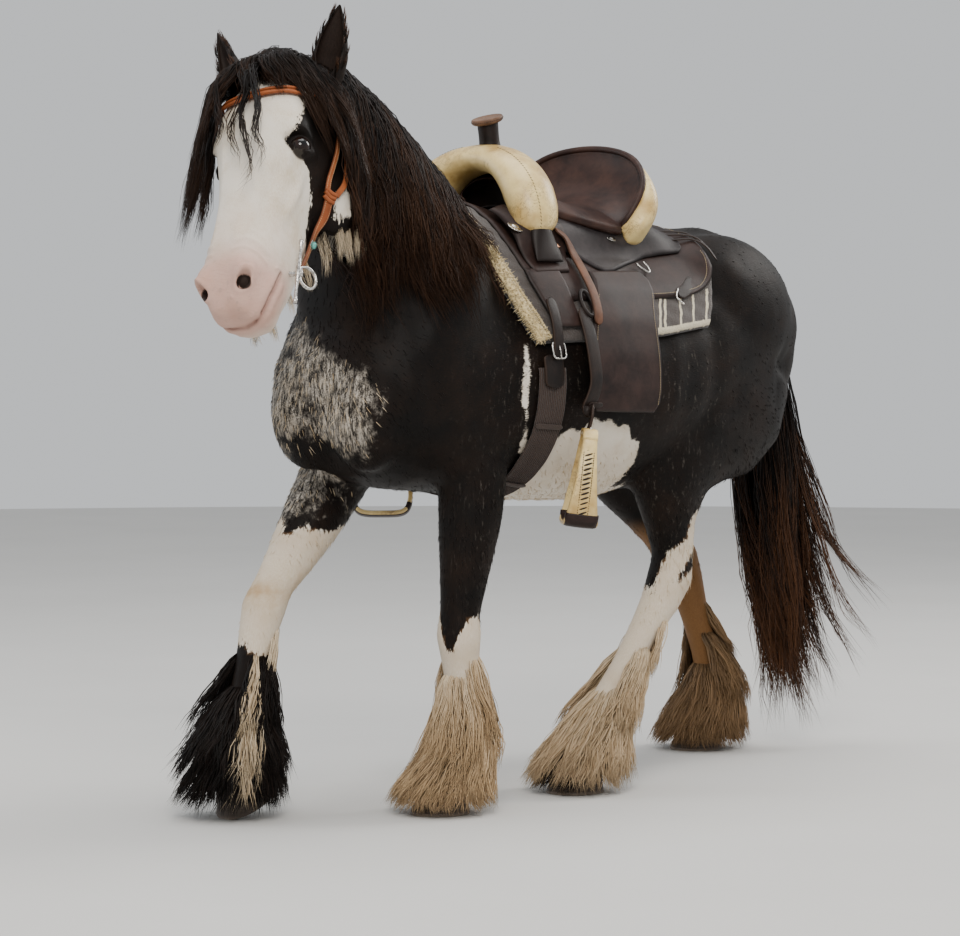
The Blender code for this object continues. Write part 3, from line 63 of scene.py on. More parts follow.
def shown(name, data):
    # The mesh, lamp or lens as an object of the scene
    made = bpy.data.objects.new(name, data)
    bpy.context.scene.collection.objects.link(made)
    return made


def newObject(name, verts, faces, edges=()):
    mesh = bpy.data.meshes.new(name)
    mesh.from_pydata([tuple(v) for v in verts], edges, faces)
    return shown(name, mesh)


def tidyMesh(piece, weld=0.00005):
    # Normals outward, and points that lie closer than the weld made one
    form = bmesh.new()
    form.from_mesh(piece.data)
    if weld:
        bmesh.ops.remove_doubles(form, verts=form.verts, dist=weld)
    bmesh.ops.recalc_face_normals(form, faces=form.faces)
    form.to_mesh(piece.data)
    form.free()
    return piece


def applied(piece):
    graph = bpy.context.evaluated_depsgraph_get()
    mesh = bpy.data.meshes.new_from_object(piece.evaluated_get(graph))
    piece.modifiers.clear()
    piece.data = mesh
    return piece


def refined(piece):
    soft = piece.modifiers.new("soft", "SUBSURF")
    soft.levels = soft.render_levels = 1
    return applied(piece)


def walled(piece, thickness, offset):
    wall = piece.modifiers.new("wall", "SOLIDIFY")
    wall.thickness, wall.offset = thickness, offset
    return applied(piece)


def loft(name, rings, closed=False, weld=0.00005):
    count = len(rings[0])
    verts = [p for ring in rings for p in ring]
    faces = []
    for i in range(len(rings) if closed else len(rings) - 1):
        a, b = i * count, ((i + 1) % len(rings)) * count
        faces += [(a + j, a + (j + 1) % count, b + (j + 1) % count, b + j) for j in range(count)]
    if not closed:
        faces.append(tuple(range(count))[::-1])
        faces.append(tuple(range(len(verts) - count, len(verts))))
    return tidyMesh(newObject(name, verts, faces), weld)


def section(upper, lower, side, halfWidth, wide=0.5, upperPower=1.0, lowerPower=1.0, count=48):
    middle = lower.lerp(upper, wide)
    points = []
    for i in range(count):
        angle = 2 * math.pi * i / count
        c, s = math.cos(angle), math.sin(angle)
        power = upperPower if s >= 0 else lowerPower
        reach = (upper if s >= 0 else lower) - middle
        sideways = math.copysign(abs(c) ** power, c) * halfWidth
        points.append(middle + side * sideways + reach * abs(s) ** power)
    return points


def ellipsoid(name, place, radii, turn, segments, rings):
    mesh = bpy.data.meshes.new(name)
    form = bmesh.new()
    bmesh.ops.create_uvsphere(form, u_segments=segments, v_segments=rings, radius=1.0)
    shape = Matrix.Translation(place) @ turn @ Matrix.Diagonal((*radii, 1))
    bmesh.ops.transform(form, matrix=shape, verts=form.verts)
    bmesh.ops.recalc_face_normals(form, faces=form.faces)
    form.to_mesh(mesh)
    form.free()
    return shown(name, mesh)


def joined(name, pieces):
    form = bmesh.new()
    for piece in pieces:
        form.from_mesh(piece.data)
        bpy.data.objects.remove(piece)
    mesh = bpy.data.meshes.new(name)
    form.to_mesh(mesh)
    form.free()
    return shown(name, mesh)


def triplets(values, key):
    got = np.zeros(len(values) * 3, np.float32)
    values.foreach_get(key, got)
    return got.reshape(-1, 3).astype(float)


def pointsOf(piece):
    return triplets(piece.data.vertices, "co")


def normalsOf(piece):
    return triplets(piece.data.vertex_normals, "vector")


def trianglesOf(piece):
    return sum(len(face.vertices) - 2 for face in piece.data.polygons)


def movePoints(piece, places):
    piece.data.vertices.foreach_set("co", np.asarray(places, np.float32).ravel())
    piece.data.update()


def addValues(piece, name, values):
    layer = piece.data.attributes.get(name) or piece.data.attributes.new(name, "FLOAT", "POINT")
    layer.data.foreach_set("value", np.asarray(values, np.float32))


def readAt(table, value):
    # What a table of pairs says at a value, or at each value of an array
    found = np.interp(value, *zip(*table))
    return found if np.ndim(value) else float(found)


def roundPath(middle, first, second, wide, high, count):
    angles = [2 * math.pi * i / count for i in range(count)]
    return [middle + first * (math.cos(a) * wide) + second * (math.sin(a) * high) for a in angles]


def smoothStep(low, high, value):
    t = np.clip((value - low) / (high - low), 0, 1)
    return t * t * (3 - 2 * t)


def curveThrough(points, count):
    # A smooth line through the points, evenly stepped by their own numbers
    points = np.asarray([tuple(p) for p in points], float)
    padded = np.vstack([2 * points[0] - points[1], points, 2 * points[-1] - points[-2]])
    place = np.linspace(0, len(points) - 1, count)
    i = np.minimum(place.astype(int), len(points) - 2)
    t = (place - i)[:, None]
    a, b, c, d = padded[i], padded[i + 1], padded[i + 2], padded[i + 3]
    square, cube = 2 * a - 5 * b + 4 * c - d, 3 * b - a - 3 * c + d
    return 0.5 * (2 * b + (c - a) * t + square * t ** 2 + cube * t ** 3)


# Shader and node tools

class Value:
    # One socket, with arithmetic
    def __init__(self, maker, socket):
        self.maker, self.socket = maker, socket

    def math(self, operation, *others):
        inputs = dict(enumerate([self, *others]))
        return self.maker.node("ShaderNodeMath", {"operation": operation}, inputs)

    def __add__(self, other):
        return self.math("ADD", other)

    def __sub__(self, other):
        return self.math("SUBTRACT", other)

    def __rsub__(self, other):
        return (self * -1.0).math("ADD", other)

    def __mul__(self, other):
        return self.math("MULTIPLY", other)

    def __pow__(self, other):
        return self.math("POWER", other)

    __radd__ = __add__
    __rmul__ = __mul__

    def largest(self, other):
        return self.math("MAXIMUM", other)

    def smallest(self, other):
        return self.math("MINIMUM", other)

    def step(self, low, high):
        return self.maker.node("ShaderNodeMapRange", {"interpolation_type": "SMOOTHSTEP"},
                               {"Value": self, "From Min": low, "From Max": high})


class Finish:
    # A Principled material made by expressions
    def __init__(self, name, roughness=0.5, metallic=0.0, **constants):
        self.material = bpy.data.materials.new(name)
        self.material.use_nodes = True
        self.tree = self.material.node_tree
        self.shader = self.tree.nodes["Principled BSDF"]
        self.shader.inputs["Roughness"].default_value = roughness
        self.shader.inputs["Metallic"].default_value = metallic
        for key, value in constants.items():
            self.shader.inputs[key.replace("_", " ")].default_value = value
        self.place = self.node("ShaderNodeTexCoord", {}, {}, "Object")

    def node(self, kind, settings, inputs, output=0):
        made = self.tree.nodes.new(kind)
        for key, value in settings.items():
            setattr(made, key, value)
        for key, value in inputs.items():
            if isinstance(value, Value):
                self.tree.links.new(value.socket, made.inputs[key])
            else:
                made.inputs[key].default_value = value
        return Value(self, made.outputs[output])

    def scaled(self, scale):
        return self.node("ShaderNodeMapping", {}, {"Vector": self.place, "Scale": scale})

    def noise(self, scale, detail=3.0, roughness=0.55, distortion=0.0, place=None):
        return self.node("ShaderNodeTexNoise", {},
                         {"Vector": place or self.place, "Scale": scale, "Detail": detail,
                                                    "Roughness": roughness, "Distortion": distortion})

    def cells(self, scale, feature="F1"):
        return self.node("ShaderNodeTexVoronoi", {"feature": feature}, {"Vector": self.place, "Scale": scale},
                         "Distance")

    def attribute(self, name):
        return self.node("ShaderNodeAttribute", {"attribute_name": name}, {}, "Fac")

    def mix(self, first, second, share):
        # Colours: 6 and 7 are the colour sockets of a Mix node, 2 its colour output
        return self.node("ShaderNodeMix", {"data_type": "RGBA"}, {0: share, 6: first, 7: second}, 2)

    def bump(self, height, distance, strength=1.0):
        return self.node("ShaderNodeBump", {}, {"Height": height, "Distance": distance, "Strength": strength})

    def wire(self, **links):
        for key, value in links.items():
            self.tree.links.new(value.socket, self.shader.inputs[key.replace("_", " ")])
        return self.material


def color(red, green, blue):
    return (red, green, blue, 1.0)


def finished(piece, surface, nodes=(), smooth=True):
    # The piece takes its place in the frame, its material, its slot and the nodes it stands for
    piece.data.transform(Matrix.Translation(offset))
    piece.data.materials.clear()
    piece.data.materials.append(surface)
    if smooth:
        piece.data.shade_smooth()
    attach(piece, "root")
    if nodes:
        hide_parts(*nodes)
    return piece


# The flesh, by the part's own tables
body = {
    # y, top z, bottom z, half width, height of the widest line, powers of the upper and lower half
    "torso": [
        (-0.825, 1.09, 1.01, 0.060, 0.50, 1.00, 1.00), (-0.795, 1.17, 0.91, 0.165, 0.48, 1.00, 1.00),
        (-0.72, 1.29, 0.81, 0.232, 0.45, 1.00, 0.95), (-0.61, 1.40, 0.775, 0.262, 0.43, 1.10, 0.92),
        (-0.49, 1.455, 0.765, 0.275, 0.42, 1.28, 0.92), (-0.38, 1.470, 0.755, 0.288, 0.42, 1.32, 0.92),
        (-0.25, 1.438, 0.742, 0.305, 0.42, 1.18, 0.95), (-0.10, 1.398, 0.730, 0.322, 0.42, 1.02, 0.98),
        (0.08, 1.380, 0.725, 0.332, 0.42, 0.95, 1.00), (0.25, 1.398, 0.750, 0.328, 0.43, 0.93, 1.00),
        (0.40, 1.432, 0.810, 0.315, 0.45, 0.92, 1.00), (0.54, 1.447, 0.890, 0.300, 0.46, 0.92, 1.00),
        (0.67, 1.418, 0.960, 0.272, 0.47, 0.94, 1.00), (0.77, 1.352, 1.000, 0.228, 0.48, 0.98, 1.00),
        (0.835, 1.270, 1.050, 0.160, 0.50, 1.00, 1.00), (0.862, 1.200, 1.110, 0.080, 0.50, 1.00, 1.00)],
    # point on the crest, point on the underline, half width
    "neck": [
        ((0.000, -0.34, 1.42), (0.000, -0.70, 0.96), 0.185),
        ((0.000, -0.43, 1.495), (0.000, -0.785, 1.08), 0.196),
        ((-0.002, -0.52, 1.575), (0.000, -0.80, 1.20), 0.172),
        ((-0.006, -0.61, 1.660), (0.000, -0.795, 1.31), 0.148),
        ((-0.013, -0.70, 1.728), (-0.004, -0.795, 1.415), 0.132),
        ((-0.020, -0.785, 1.775), (-0.012, -0.808, 1.50), 0.120),
        ((-0.030, -0.86, 1.790), (-0.024, -0.86, 1.565), 0.108),
        ((-0.036, -0.915, 1.77), (-0.032, -0.91, 1.60), 0.092)],
    # way down the face, face line, jaw line, half width, widest line, powers of face and jaw side
    "head": [
        (-0.030, -0.095, -0.180, 0.055, 0.5, 1.0, 1.0), (-0.005, -0.055, -0.215, 0.084, 0.5, 1.0, 1.0),
        (0.045, -0.016, -0.252, 0.103, 0.55, 0.85, 1.0), (0.105, 0.008, -0.282, 0.117, 0.62, 0.75, 0.95),
        (0.165, 0.018, -0.308, 0.124, 0.66, 0.72, 0.90), (0.225, 0.018, -0.322, 0.120, 0.66, 0.75, 0.85),
        (0.285, 0.012, -0.310, 0.106, 0.64, 0.80, 0.85), (0.345, 0.008, -0.268, 0.090, 0.62, 0.85, 0.90),
        (0.405, 0.006, -0.244, 0.080, 0.58, 0.88, 0.92), (0.465, 0.005, -0.228, 0.078, 0.56, 0.85, 0.90),
        (0.525, 0.003, -0.216, 0.082, 0.56, 0.80, 0.86), (0.582, -0.004, -0.200, 0.085, 0.56, 0.80, 0.86),
        (0.632, -0.022, -0.180, 0.078, 0.55, 0.85, 0.90), (0.676, -0.062, -0.165, 0.056, 0.55, 1.00, 1.00)],
    # x, y, z of the middle, half width, reach to the front, reach to the back
    "foreLeft": [
        (0.150, -0.560, 1.02, 0.100, 0.140, 0.140), (0.165, -0.510, 0.91, 0.098, 0.118, 0.120),
        (0.176, -0.462, 0.81, 0.083, 0.090, 0.098), (0.177, -0.472, 0.70, 0.078, 0.082, 0.082),
        (0.174, -0.488, 0.57, 0.062, 0.064, 0.062), (0.172, -0.500, 0.48, 0.053, 0.052, 0.048),
        (0.170, -0.503, 0.425, 0.061, 0.056, 0.053), (0.168, -0.497, 0.36, 0.050, 0.045, 0.050),
        (0.165, -0.489, 0.28, 0.041, 0.038, 0.047), (0.162, -0.480, 0.21, 0.043, 0.040, 0.050),
        (0.160, -0.478, 0.165, 0.053, 0.050, 0.060), (0.157, -0.504, 0.110, 0.048, 0.043, 0.048),
        (0.155, -0.530, 0.070, 0.056, 0.052, 0.056), (0.155, -0.552, 0.025, 0.056, 0.052, 0.056)],
    "foreRight": [
        (-0.150, -0.580, 1.02, 0.100, 0.140, 0.140), (-0.168, -0.560, 0.91, 0.098, 0.118, 0.120),
        (-0.180, -0.560, 0.82, 0.084, 0.100, 0.095), (-0.177, -0.645, 0.715, 0.078, 0.084, 0.082),
        (-0.170, -0.740, 0.605, 0.062, 0.064, 0.062), (-0.163, -0.800, 0.545, 0.053, 0.052, 0.048),
        (-0.160, -0.836, 0.495, 0.061, 0.056, 0.053), (-0.158, -0.862, 0.430, 0.050, 0.045, 0.050),
        (-0.155, -0.888, 0.355, 0.041, 0.038, 0.047), (-0.152, -0.908, 0.280, 0.043, 0.040, 0.050),
        (-0.150, -0.920, 0.228, 0.053, 0.050, 0.060), (-0.150, -0.926, 0.160, 0.048, 0.043, 0.048),
        (-0.150, -0.928, 0.108, 0.056, 0.052, 0.056), (-0.150, -0.930, 0.058, 0.056, 0.052, 0.056)],
    "hindLeft": [
        (0.155, 0.440, 1.14, 0.130, 0.240, 0.380), (0.172, 0.390, 1.03, 0.130, 0.230, 0.370),
        (0.184, 0.330, 0.93, 0.120, 0.195, 0.300), (0.190, 0.280, 0.84, 0.104, 0.150, 0.210),
        (0.190, 0.262, 0.75, 0.084, 0.108, 0.128), (0.186, 0.272, 0.66, 0.063, 0.066, 0.080),
        (0.183, 0.287, 0.585, 0.053, 0.050, 0.068), (0.180, 0.280, 0.530, 0.060, 0.055, 0.075),
        (0.178, 0.243, 0.465, 0.052, 0.048, 0.060), (0.172, 0.190, 0.395, 0.043, 0.041, 0.046),
        (0.166, 0.128, 0.310, 0.041, 0.039, 0.046), (0.162, 0.075, 0.243, 0.045, 0.042, 0.052),
        (0.160, 0.040, 0.195, 0.054, 0.050, 0.060), (0.158, 0.004, 0.130, 0.048, 0.043, 0.048),
        (0.156, -0.030, 0.075, 0.056, 0.052, 0.056), (0.155, -0.052, 0.030, 0.056, 0.052, 0.056)],
    "hindRight": [
        (-0.155, 0.460, 1.14, 0.130, 0.250, 0.370), (-0.172, 0.465, 1.03, 0.130, 0.230, 0.350),
        (-0.184, 0.480, 0.93, 0.120, 0.195, 0.290), (-0.190, 0.515, 0.84, 0.104, 0.155, 0.215),
        (-0.190, 0.570, 0.75, 0.084, 0.110, 0.140), (-0.186, 0.635, 0.66, 0.063, 0.066, 0.085),
        (-0.183, 0.700, 0.590, 0.053, 0.050, 0.068), (-0.180, 0.752, 0.530, 0.060, 0.055, 0.075),
        (-0.178, 0.790, 0.462, 0.051, 0.047, 0.060), (-0.175, 0.826, 0.375, 0.043, 0.040, 0.046),
        (-0.172, 0.864, 0.280, 0.041, 0.039, 0.046), (-0.170, 0.888, 0.215, 0.045, 0.042, 0.052),
        (-0.170, 0.897, 0.168, 0.054, 0.050, 0.060), (-0.169, 0.872, 0.112, 0.048, 0.043, 0.048),
        (-0.168, 0.850, 0.070, 0.056, 0.052, 0.056), (-0.168, 0.832, 0.025, 0.056, 0.052, 0.056)],
    # middle, radii, turn about X in degrees; each is mirrored
    "muscles": [
        ((0.150, -0.57, 1.12), (0.112, 0.150, 0.28), -28), ((0.172, -0.47, 0.95), (0.096, 0.125, 0.15), 0),
        ((0.095, -0.74, 0.97), (0.110, 0.090, 0.150), 0), ((0.150, 0.49, 1.20), (0.160, 0.290, 0.22), 0),
        ((0.120, 0.69, 1.12), (0.115, 0.145, 0.19), 0)],
    # on the head in its own frame: place, radii; each is mirrored
    "headBumps": [
        ((0.092, 0.210, -0.052), (0.037, 0.052, 0.040)), ((0.072, 0.258, -0.240), (0.044, 0.100, 0.088)),
        ((0.083, 0.345, -0.108), (0.017, 0.080, 0.019)), ((0.050, 0.596, -0.032), (0.032, 0.044, 0.033)),
        ((0.024, 0.645, -0.074), (0.040, 0.036, 0.047)), ((0.016, 0.636, -0.156), (0.036, 0.038, 0.031))],
    # skin: face size, rounds of smoothing, how deep it lies under the coat
    "voxel": 0.0112, "blend": 11, "coatDepth": 0.0025,
    # points round each ring, and round and up the muscles and bumps
    "ring": 28, "muscleDetail": (24, 14), "bumpDetail": (16, 10),
}

# The head's own frame: its origin lies between the ears at the face's plane
headOrigin = Vector((-0.022, -0.970, 1.799))
headLeft = Vector((0.9538, 0.1887, 0.2336))
headDown = Vector((0.2980, -0.4987, -0.8139))
headOut = Vector((0.0370, -0.8460, 0.5319))
headSize = 1.035
headAxes = np.array([tuple(headLeft), tuple(headDown), tuple(headOut)])
headTurn = Matrix((headLeft, headDown, headOut)).transposed().to_4x4()


def headPoint(left, down, out):
    return headOrigin + (headLeft * left + headDown * down + headOut * out) * headSize


def inHead(points):
    # Points in the head's own frame: left, down, out
    return (np.asarray(points) - np.array(headOrigin)) @ headAxes.T / headSize


def fromHead(local):
    return np.asarray(local) @ headAxes * headSize + np.array(headOrigin)


def neighbours(path, i):
    # The places before and after a place on an open path
    return path[max(i - 1, 0)], path[min(i + 1, len(path) - 1)]


def limbRings(stations):
    rings = []
    for i, (x, y, z, halfWidth, ahead, behind) in enumerate(stations):
        before, after = neighbours(stations, i)
        down = (Vector(after[:3]) - Vector(before[:3])).normalized()
        side = (xAxis - down * down.x).normalized()
        front = side.cross(down)
        if front.y > 0 or (abs(front.y) < 0.3 and front.z < 0):
            front = -front
        here = Vector((x, y, z))
        rings.append(section(here + front * ahead, here - front * behind, side, halfWidth,
                             behind / (ahead + behind), count=body["ring"]))
    return rings


def softened(piece, rounds):
    smooth = piece.modifiers.new("smooth", "SMOOTH")
    smooth.factor, smooth.iterations = 0.5, rounds
    return applied(piece)


def makeFlesh():
    count = body["ring"]
    rings = [section(Vector((0, y, top)), Vector((0, y, bottom)), xAxis, halfWidth, wide, up, low, count)
             for y, top, bottom, halfWidth, wide, up, low in body["torso"]]
    pieces = [loft("torso", rings)]
    rings = [section(Vector(crest), Vector(throat), xAxis, halfWidth, 0.46, 1.15, 0.95, count)
             for crest, throat, halfWidth in body["neck"]]
    pieces.append(loft("neck", rings))
    rings = [section(headPoint(0, down, face), headPoint(0, down, jaw), headLeft, halfWidth, wide, up, low,
                     count)
             for down, face, jaw, halfWidth, wide, up, low in body["head"]]
    pieces.append(loft("head", rings))
    for limb in ("foreLeft", "foreRight", "hindLeft", "hindRight"):
        pieces.append(loft(limb, limbRings(body[limb])))
    for (x, y, z), radii, degrees in body["muscles"]:
        for way in (1, -1):
            turn = Matrix.Rotation(math.radians(degrees), 4, "X")
            pieces.append(ellipsoid("muscle", Vector((way * x, y, z)), radii, turn, *body["muscleDetail"]))
    for (left, down, out), radii in body["headBumps"]:
        for way in (1, -1):
            place = headPoint(way * left, down, out)
            pieces.append(ellipsoid("bump", place, radii, headTurn, *body["bumpDetail"]))
    flesh = joined("skin", pieces)
    remesh = flesh.modifiers.new("remesh", "REMESH")
    remesh.mode, remesh.voxel_size = "VOXEL", body["voxel"]
    return softened(flesh, body["blend"])


def split(piece, chosen):
    # Finer faces where all of a face's points are chosen
    form = bmesh.new()
    form.from_mesh(piece.data)
    form.verts.ensure_lookup_table()
    edges = [e for e in form.edges if chosen[e.verts[0].index] and chosen[e.verts[1].index]]
    bmesh.ops.subdivide_edges(form, edges=edges, cuts=1, use_grid_fill=True, smooth=0.0)
    form.to_mesh(piece.data)
    form.free()
    piece.data.update()


# Features of the head in its own frame, mirrored: line, width, height; a groove has a height below 0
headFeatures = {
    "mouth": ([(0.079, 0.558, -0.113), (0.080, 0.590, -0.104), (0.074, 0.628, -0.098), (0.057, 0.663, -0.101),
               (0.030, 0.676, -0.113), (0.000, 0.680, -0.120)], 0.0028, -0.0085),
    "upperLip": ([(0.080, 0.600, -0.088), (0.072, 0.640, -0.082), (0.045, 0.674, -0.090),
                  (0.0, 0.690, -0.098)],
                 0.010, 0.0030),
    "lowerLip": ([(0.078, 0.585, -0.122), (0.072, 0.630, -0.114), (0.050, 0.664, -0.120),
                  (0.0, 0.676, -0.138)],
                 0.009, 0.0030),
    "chinFold": ([(0.055, 0.600, -0.160), (0.040, 0.640, -0.155), (0.0, 0.655, -0.156)], 0.007, -0.0035),
    "cornerFold": ([(0.082, 0.560, -0.092), (0.084, 0.540, -0.112), (0.079, 0.535, -0.135)], 0.005, 0.0030),
    "cornerDent": ([(0.080, 0.548, -0.104), (0.080, 0.538, -0.125)], 0.004, -0.0030),
    "cheekRidge": ([(0.106, 0.300, -0.104), (0.098, 0.350, -0.098), (0.088, 0.405, -0.092)], 0.008, 0.0045),
    "underRidge": ([(0.104, 0.310, -0.128), (0.092, 0.375, -0.120), (0.084, 0.440, -0.110)], 0.014, -0.0040),
    "noseEdge": ([(0.052, 0.260, 0.010), (0.042, 0.360, 0.006), (0.036, 0.450, 0.004), (0.030, 0.520, 0.002)],
                 0.010, 0.0035),
    "noseSide": ([(0.078, 0.330, -0.040), (0.066, 0.420, -0.036), (0.062, 0.500, -0.034)], 0.016, -0.0050),
    "wrinkleA": ([(0.030, 0.532, 0.000), (0.052, 0.520, -0.012), (0.070, 0.524, -0.034),
                  (0.078, 0.538, -0.060)],
                 0.0045, 0.0032),
    "wrinkleB": ([(0.028, 0.552, -0.002), (0.050, 0.544, -0.012), (0.070, 0.552, -0.036),
                  (0.080, 0.566, -0.062)],
                 0.0045, 0.0028),
    "wrinkleC": ([(0.050, 0.500, -0.010), (0.066, 0.494, -0.026), (0.076, 0.504, -0.050)], 0.0045, 0.0026),
    "veinA": ([(0.100, 0.300, -0.090), (0.090, 0.342, -0.066), (0.083, 0.384, -0.070), (0.075, 0.430, -0.052),
               (0.072, 0.480, -0.060), (0.076, 0.520, -0.080)], 0.0034, 0.0024),
    "veinB": ([(0.083, 0.384, -0.070), (0.084, 0.420, -0.088), (0.080, 0.470, -0.100)], 0.0032, 0.0020),
    "veinC": ([(0.110, 0.330, -0.190), (0.098, 0.370, -0.185), (0.088, 0.430, -0.170)], 0.0040, 0.0022),
    "browRidge": ([(0.080, 0.214, -0.022), (0.102, 0.206, -0.046), (0.114, 0.218, -0.082)], 0.011, 0.0050),
    "temple": ([(0.088, 0.150, -0.060), (0.104, 0.172, -0.092)], 0.020, -0.0075),
    "upperFold": ([(0.088, 0.246, -0.042), (0.100, 0.231, -0.056), (0.110, 0.230, -0.080),
                   (0.110, 0.244, -0.104)],
                  0.0034, -0.0030),
    "lowerFold": ([(0.092, 0.268, -0.054), (0.104, 0.276, -0.074), (0.108, 0.268, -0.098)], 0.0034, -0.0024),
    "tearBone": ([(0.098, 0.284, -0.050), (0.094, 0.320, -0.058)], 0.010, 0.0030),
    "jaw": ([(0.104, 0.250, -0.280), (0.098, 0.320, -0.270), (0.074, 0.380, -0.238)], 0.014, 0.0040),
}
# Features of the body, mirrored: line, width, height
bodyFeatures = {
    "shoulderBlade": ([(0.14, -0.46, 1.42), (0.22, -0.56, 1.28), (0.235, -0.68, 1.12)], 0.030, 0.006),
    "behindBlade": ([(0.20, -0.34, 1.38), (0.27, -0.38, 1.18), (0.28, -0.40, 1.00)], 0.035, -0.006),
    "neckGroove": ([(0.10, -0.80, 1.44), (0.14, -0.78, 1.30), (0.17, -0.77, 1.16)], 0.022, -0.007),
    "shoulderPoint": ([(0.19, -0.765, 1.06), (0.22, -0.73, 1.02)], 0.040, 0.008),
    "breastLine": ([(0.0, -0.86, 1.08), (0.0, -0.85, 0.92), (0.0, -0.80, 0.80)], 0.022, -0.012),
    "armFold": ([(0.255, -0.62, 0.93), (0.262, -0.54, 0.86), (0.262, -0.46, 0.86)], 0.018, -0.006),
    "elbow": ([(0.255, -0.40, 0.90)], 0.035, 0.008),
    "girth": ([(0.26, -0.34, 0.86), (0.20, -0.34, 0.78), (0.05, -0.34, 0.755)], 0.030, -0.006),
    "hip": ([(0.245, 0.42, 1.31), (0.255, 0.46, 1.28)], 0.038, 0.010),
    "flank": ([(0.285, 0.30, 1.16), (0.285, 0.30, 1.02), (0.26, 0.26, 0.90)], 0.040, -0.012),
    "ribs": ([(0.31, 0.16, 1.20), (0.33, 0.14, 1.05), (0.30, 0.12, 0.92)], 0.030, 0.004),
    "seatBone": ([(0.14, 0.83, 1.16), (0.15, 0.80, 1.22)], 0.035, 0.006),
    "thighLine": ([(0.24, 0.66, 1.12), (0.245, 0.62, 0.98), (0.22, 0.55, 0.86)], 0.022, -0.007),
    "croup": ([(0.0, 0.50, 1.45), (0.0, 0.66, 1.42), (0.0, 0.78, 1.36)], 0.030, -0.010),
}


def lineDistance(points, line):
    # How far each point is from a bent line
    line = np.asarray(line, float)
    if len(line) == 1:
        return np.linalg.norm(points - line[0], axis=1)
    best = np.full(len(points), 9.0)
    for a, b in zip(line, line[1:]):
        way = b - a
        share = np.clip((points - a) @ way / (way @ way), 0, 1)
        best = np.minimum(best, np.linalg.norm(points - (a + share[:, None] * way), axis=1))
    return best


def reliefOf(points, features):
    mirrored = points * np.where(points[:, :1] < 0, [[-1, 1, 1]], [[1, 1, 1]])
    total = np.zeros(len(points))
    for line, width, height in features.values():
        total += height * np.exp(-(lineDistance(mirrored, line) / width) ** 2)
    return total


# Eyes and nostrils in the head's frame
eye = {"place": (0.100, 0.248, -0.072), "radius": 0.026, "out": (0.84, 0.02, 0.54),
       "lidWidth": 0.0235, "lidHeight": 0.0165, "lidThick": 0.0030, "behind": 0.006, "reach": 0.07}
nostril = {"place": (0.056, 0.624, -0.026), "long": 0.0200, "wide": 0.0150, "depth": 0.026, "rim": 0.0042,
           "inward": (-0.62, -0.15, -0.72), "longWay": (-0.55, 0.80, -0.20)}
# Where the head's skin is finer still: past this far down, and this near to the eye's middle
fineSkin = {"down": 0.545, "eye": (0.108, 0.248, -0.072), "near": 0.048}


def eyeAxes(way):
    middle = headPoint(way * eye["place"][0], eye["place"][1], eye["place"][2])
    out = (headLeft * (eye["out"][0] * way) + headDown * eye["out"][1] + headOut * eye["out"][2]).normalized()
    up = (-headDown + out * headDown.dot(out)).normalized()
    return middle, out, up, up.cross(out)


def shapeEyes(points):
    for way in (1, -1):
        middle, out, up, across = (np.array(v) for v in eyeAxes(way))
        q = points - middle
        a, b, c = q @ across, q @ up, q @ out
        near = (np.abs(a) < eye["reach"]) & (np.abs(b) < eye["reach"]) & (c > -0.03)
        # The opening is an almond: its corners are drawn out
        wide = (a / eye["lidWidth"]) ** 2
        r = np.sqrt(wide + (b / eye["lidHeight"]) ** 2 * (1 + 0.5 * wide))
        ball = np.sqrt(np.maximum(eye["radius"] ** 2 - a ** 2 - b ** 2, 0.00002))
        lid = ball + eye["lidThick"] + 0.0016 * np.exp(-((r - 1.18) / 0.16) ** 2)
        share = (1 - smoothStep(1.25, 2.3, r)) * near
        c = c + (lid - c) * share
        inside = (1 - smoothStep(0.90, 1.06, r)) * near
        c = c + (ball - eye["behind"] - c) * inside
        moved = middle + a[:, None] * across + b[:, None] * up + c[:, None] * out
        points = np.where(near[:, None], moved, points)
    return points


def shapeNostrils(local):
    for way in (1, -1):
        flip = np.array([way, 1, 1])
        place = np.array(nostril["place"]) * flip
        inward = np.array(nostril["inward"]) * flip
        inward = inward / np.linalg.norm(inward)
        longWay = np.array(nostril["longWay"]) * flip
        longWay = longWay - inward * (longWay @ inward)
        longWay = longWay / np.linalg.norm(longWay)
        wideWay = np.cross(inward, longWay)
        q = local - place
        near = (np.linalg.norm(q, axis=1) < 0.05) & (q @ inward > -0.03)
        r = np.sqrt((q @ longWay / nostril["long"]) ** 2 + (q @ wideWay / nostril["wide"]) ** 2)
        pit = nostril["depth"] * (1 - smoothStep(0.55, 1.05, r)) * near
        rim = nostril["rim"] * np.exp(-((r - 1.35) / 0.28) ** 2) * near
        local = local + inward * (pit - rim)[:, None]
    return local


def headShare(points):
    # 1 on the head, 0 on the neck and body
    local = inHead(points)
    return smoothStep(-0.345, -0.31, local[:, 2]) * (points[:, 2] > 1.10) * (points[:, 1] < -0.80)


def makeSkin(flesh):
    split(flesh, headShare(pointsOf(flesh)) > 0.5)
    points = pointsOf(flesh)
    local = inHead(points)
    local[:, 0] = np.abs(local[:, 0])
    fine = (local[:, 1] > fineSkin["down"]) & (headShare(points) > 0.5)
    fine |= np.linalg.norm(local - fineSkin["eye"], axis=1) < fineSkin["near"]
    split(flesh, fine)
    softened(flesh, 3)
    points, normals = pointsOf(flesh), normalsOf(flesh)
    onHead = headShare(points)
    points += normals * ((reliefOf(points, bodyFeatures) - body["coatDepth"]) * (1 - onHead))[:, None]
    local = inHead(points)
    points += normals * (reliefOf(local, headFeatures) * onHead)[:, None]
    points = shapeEyes(points)
    local = shapeNostrils(inHead(points))
    points = np.where(onHead[:, None] > 0.5, fromHead(local), points)
    movePoints(flesh, points)
    return flesh


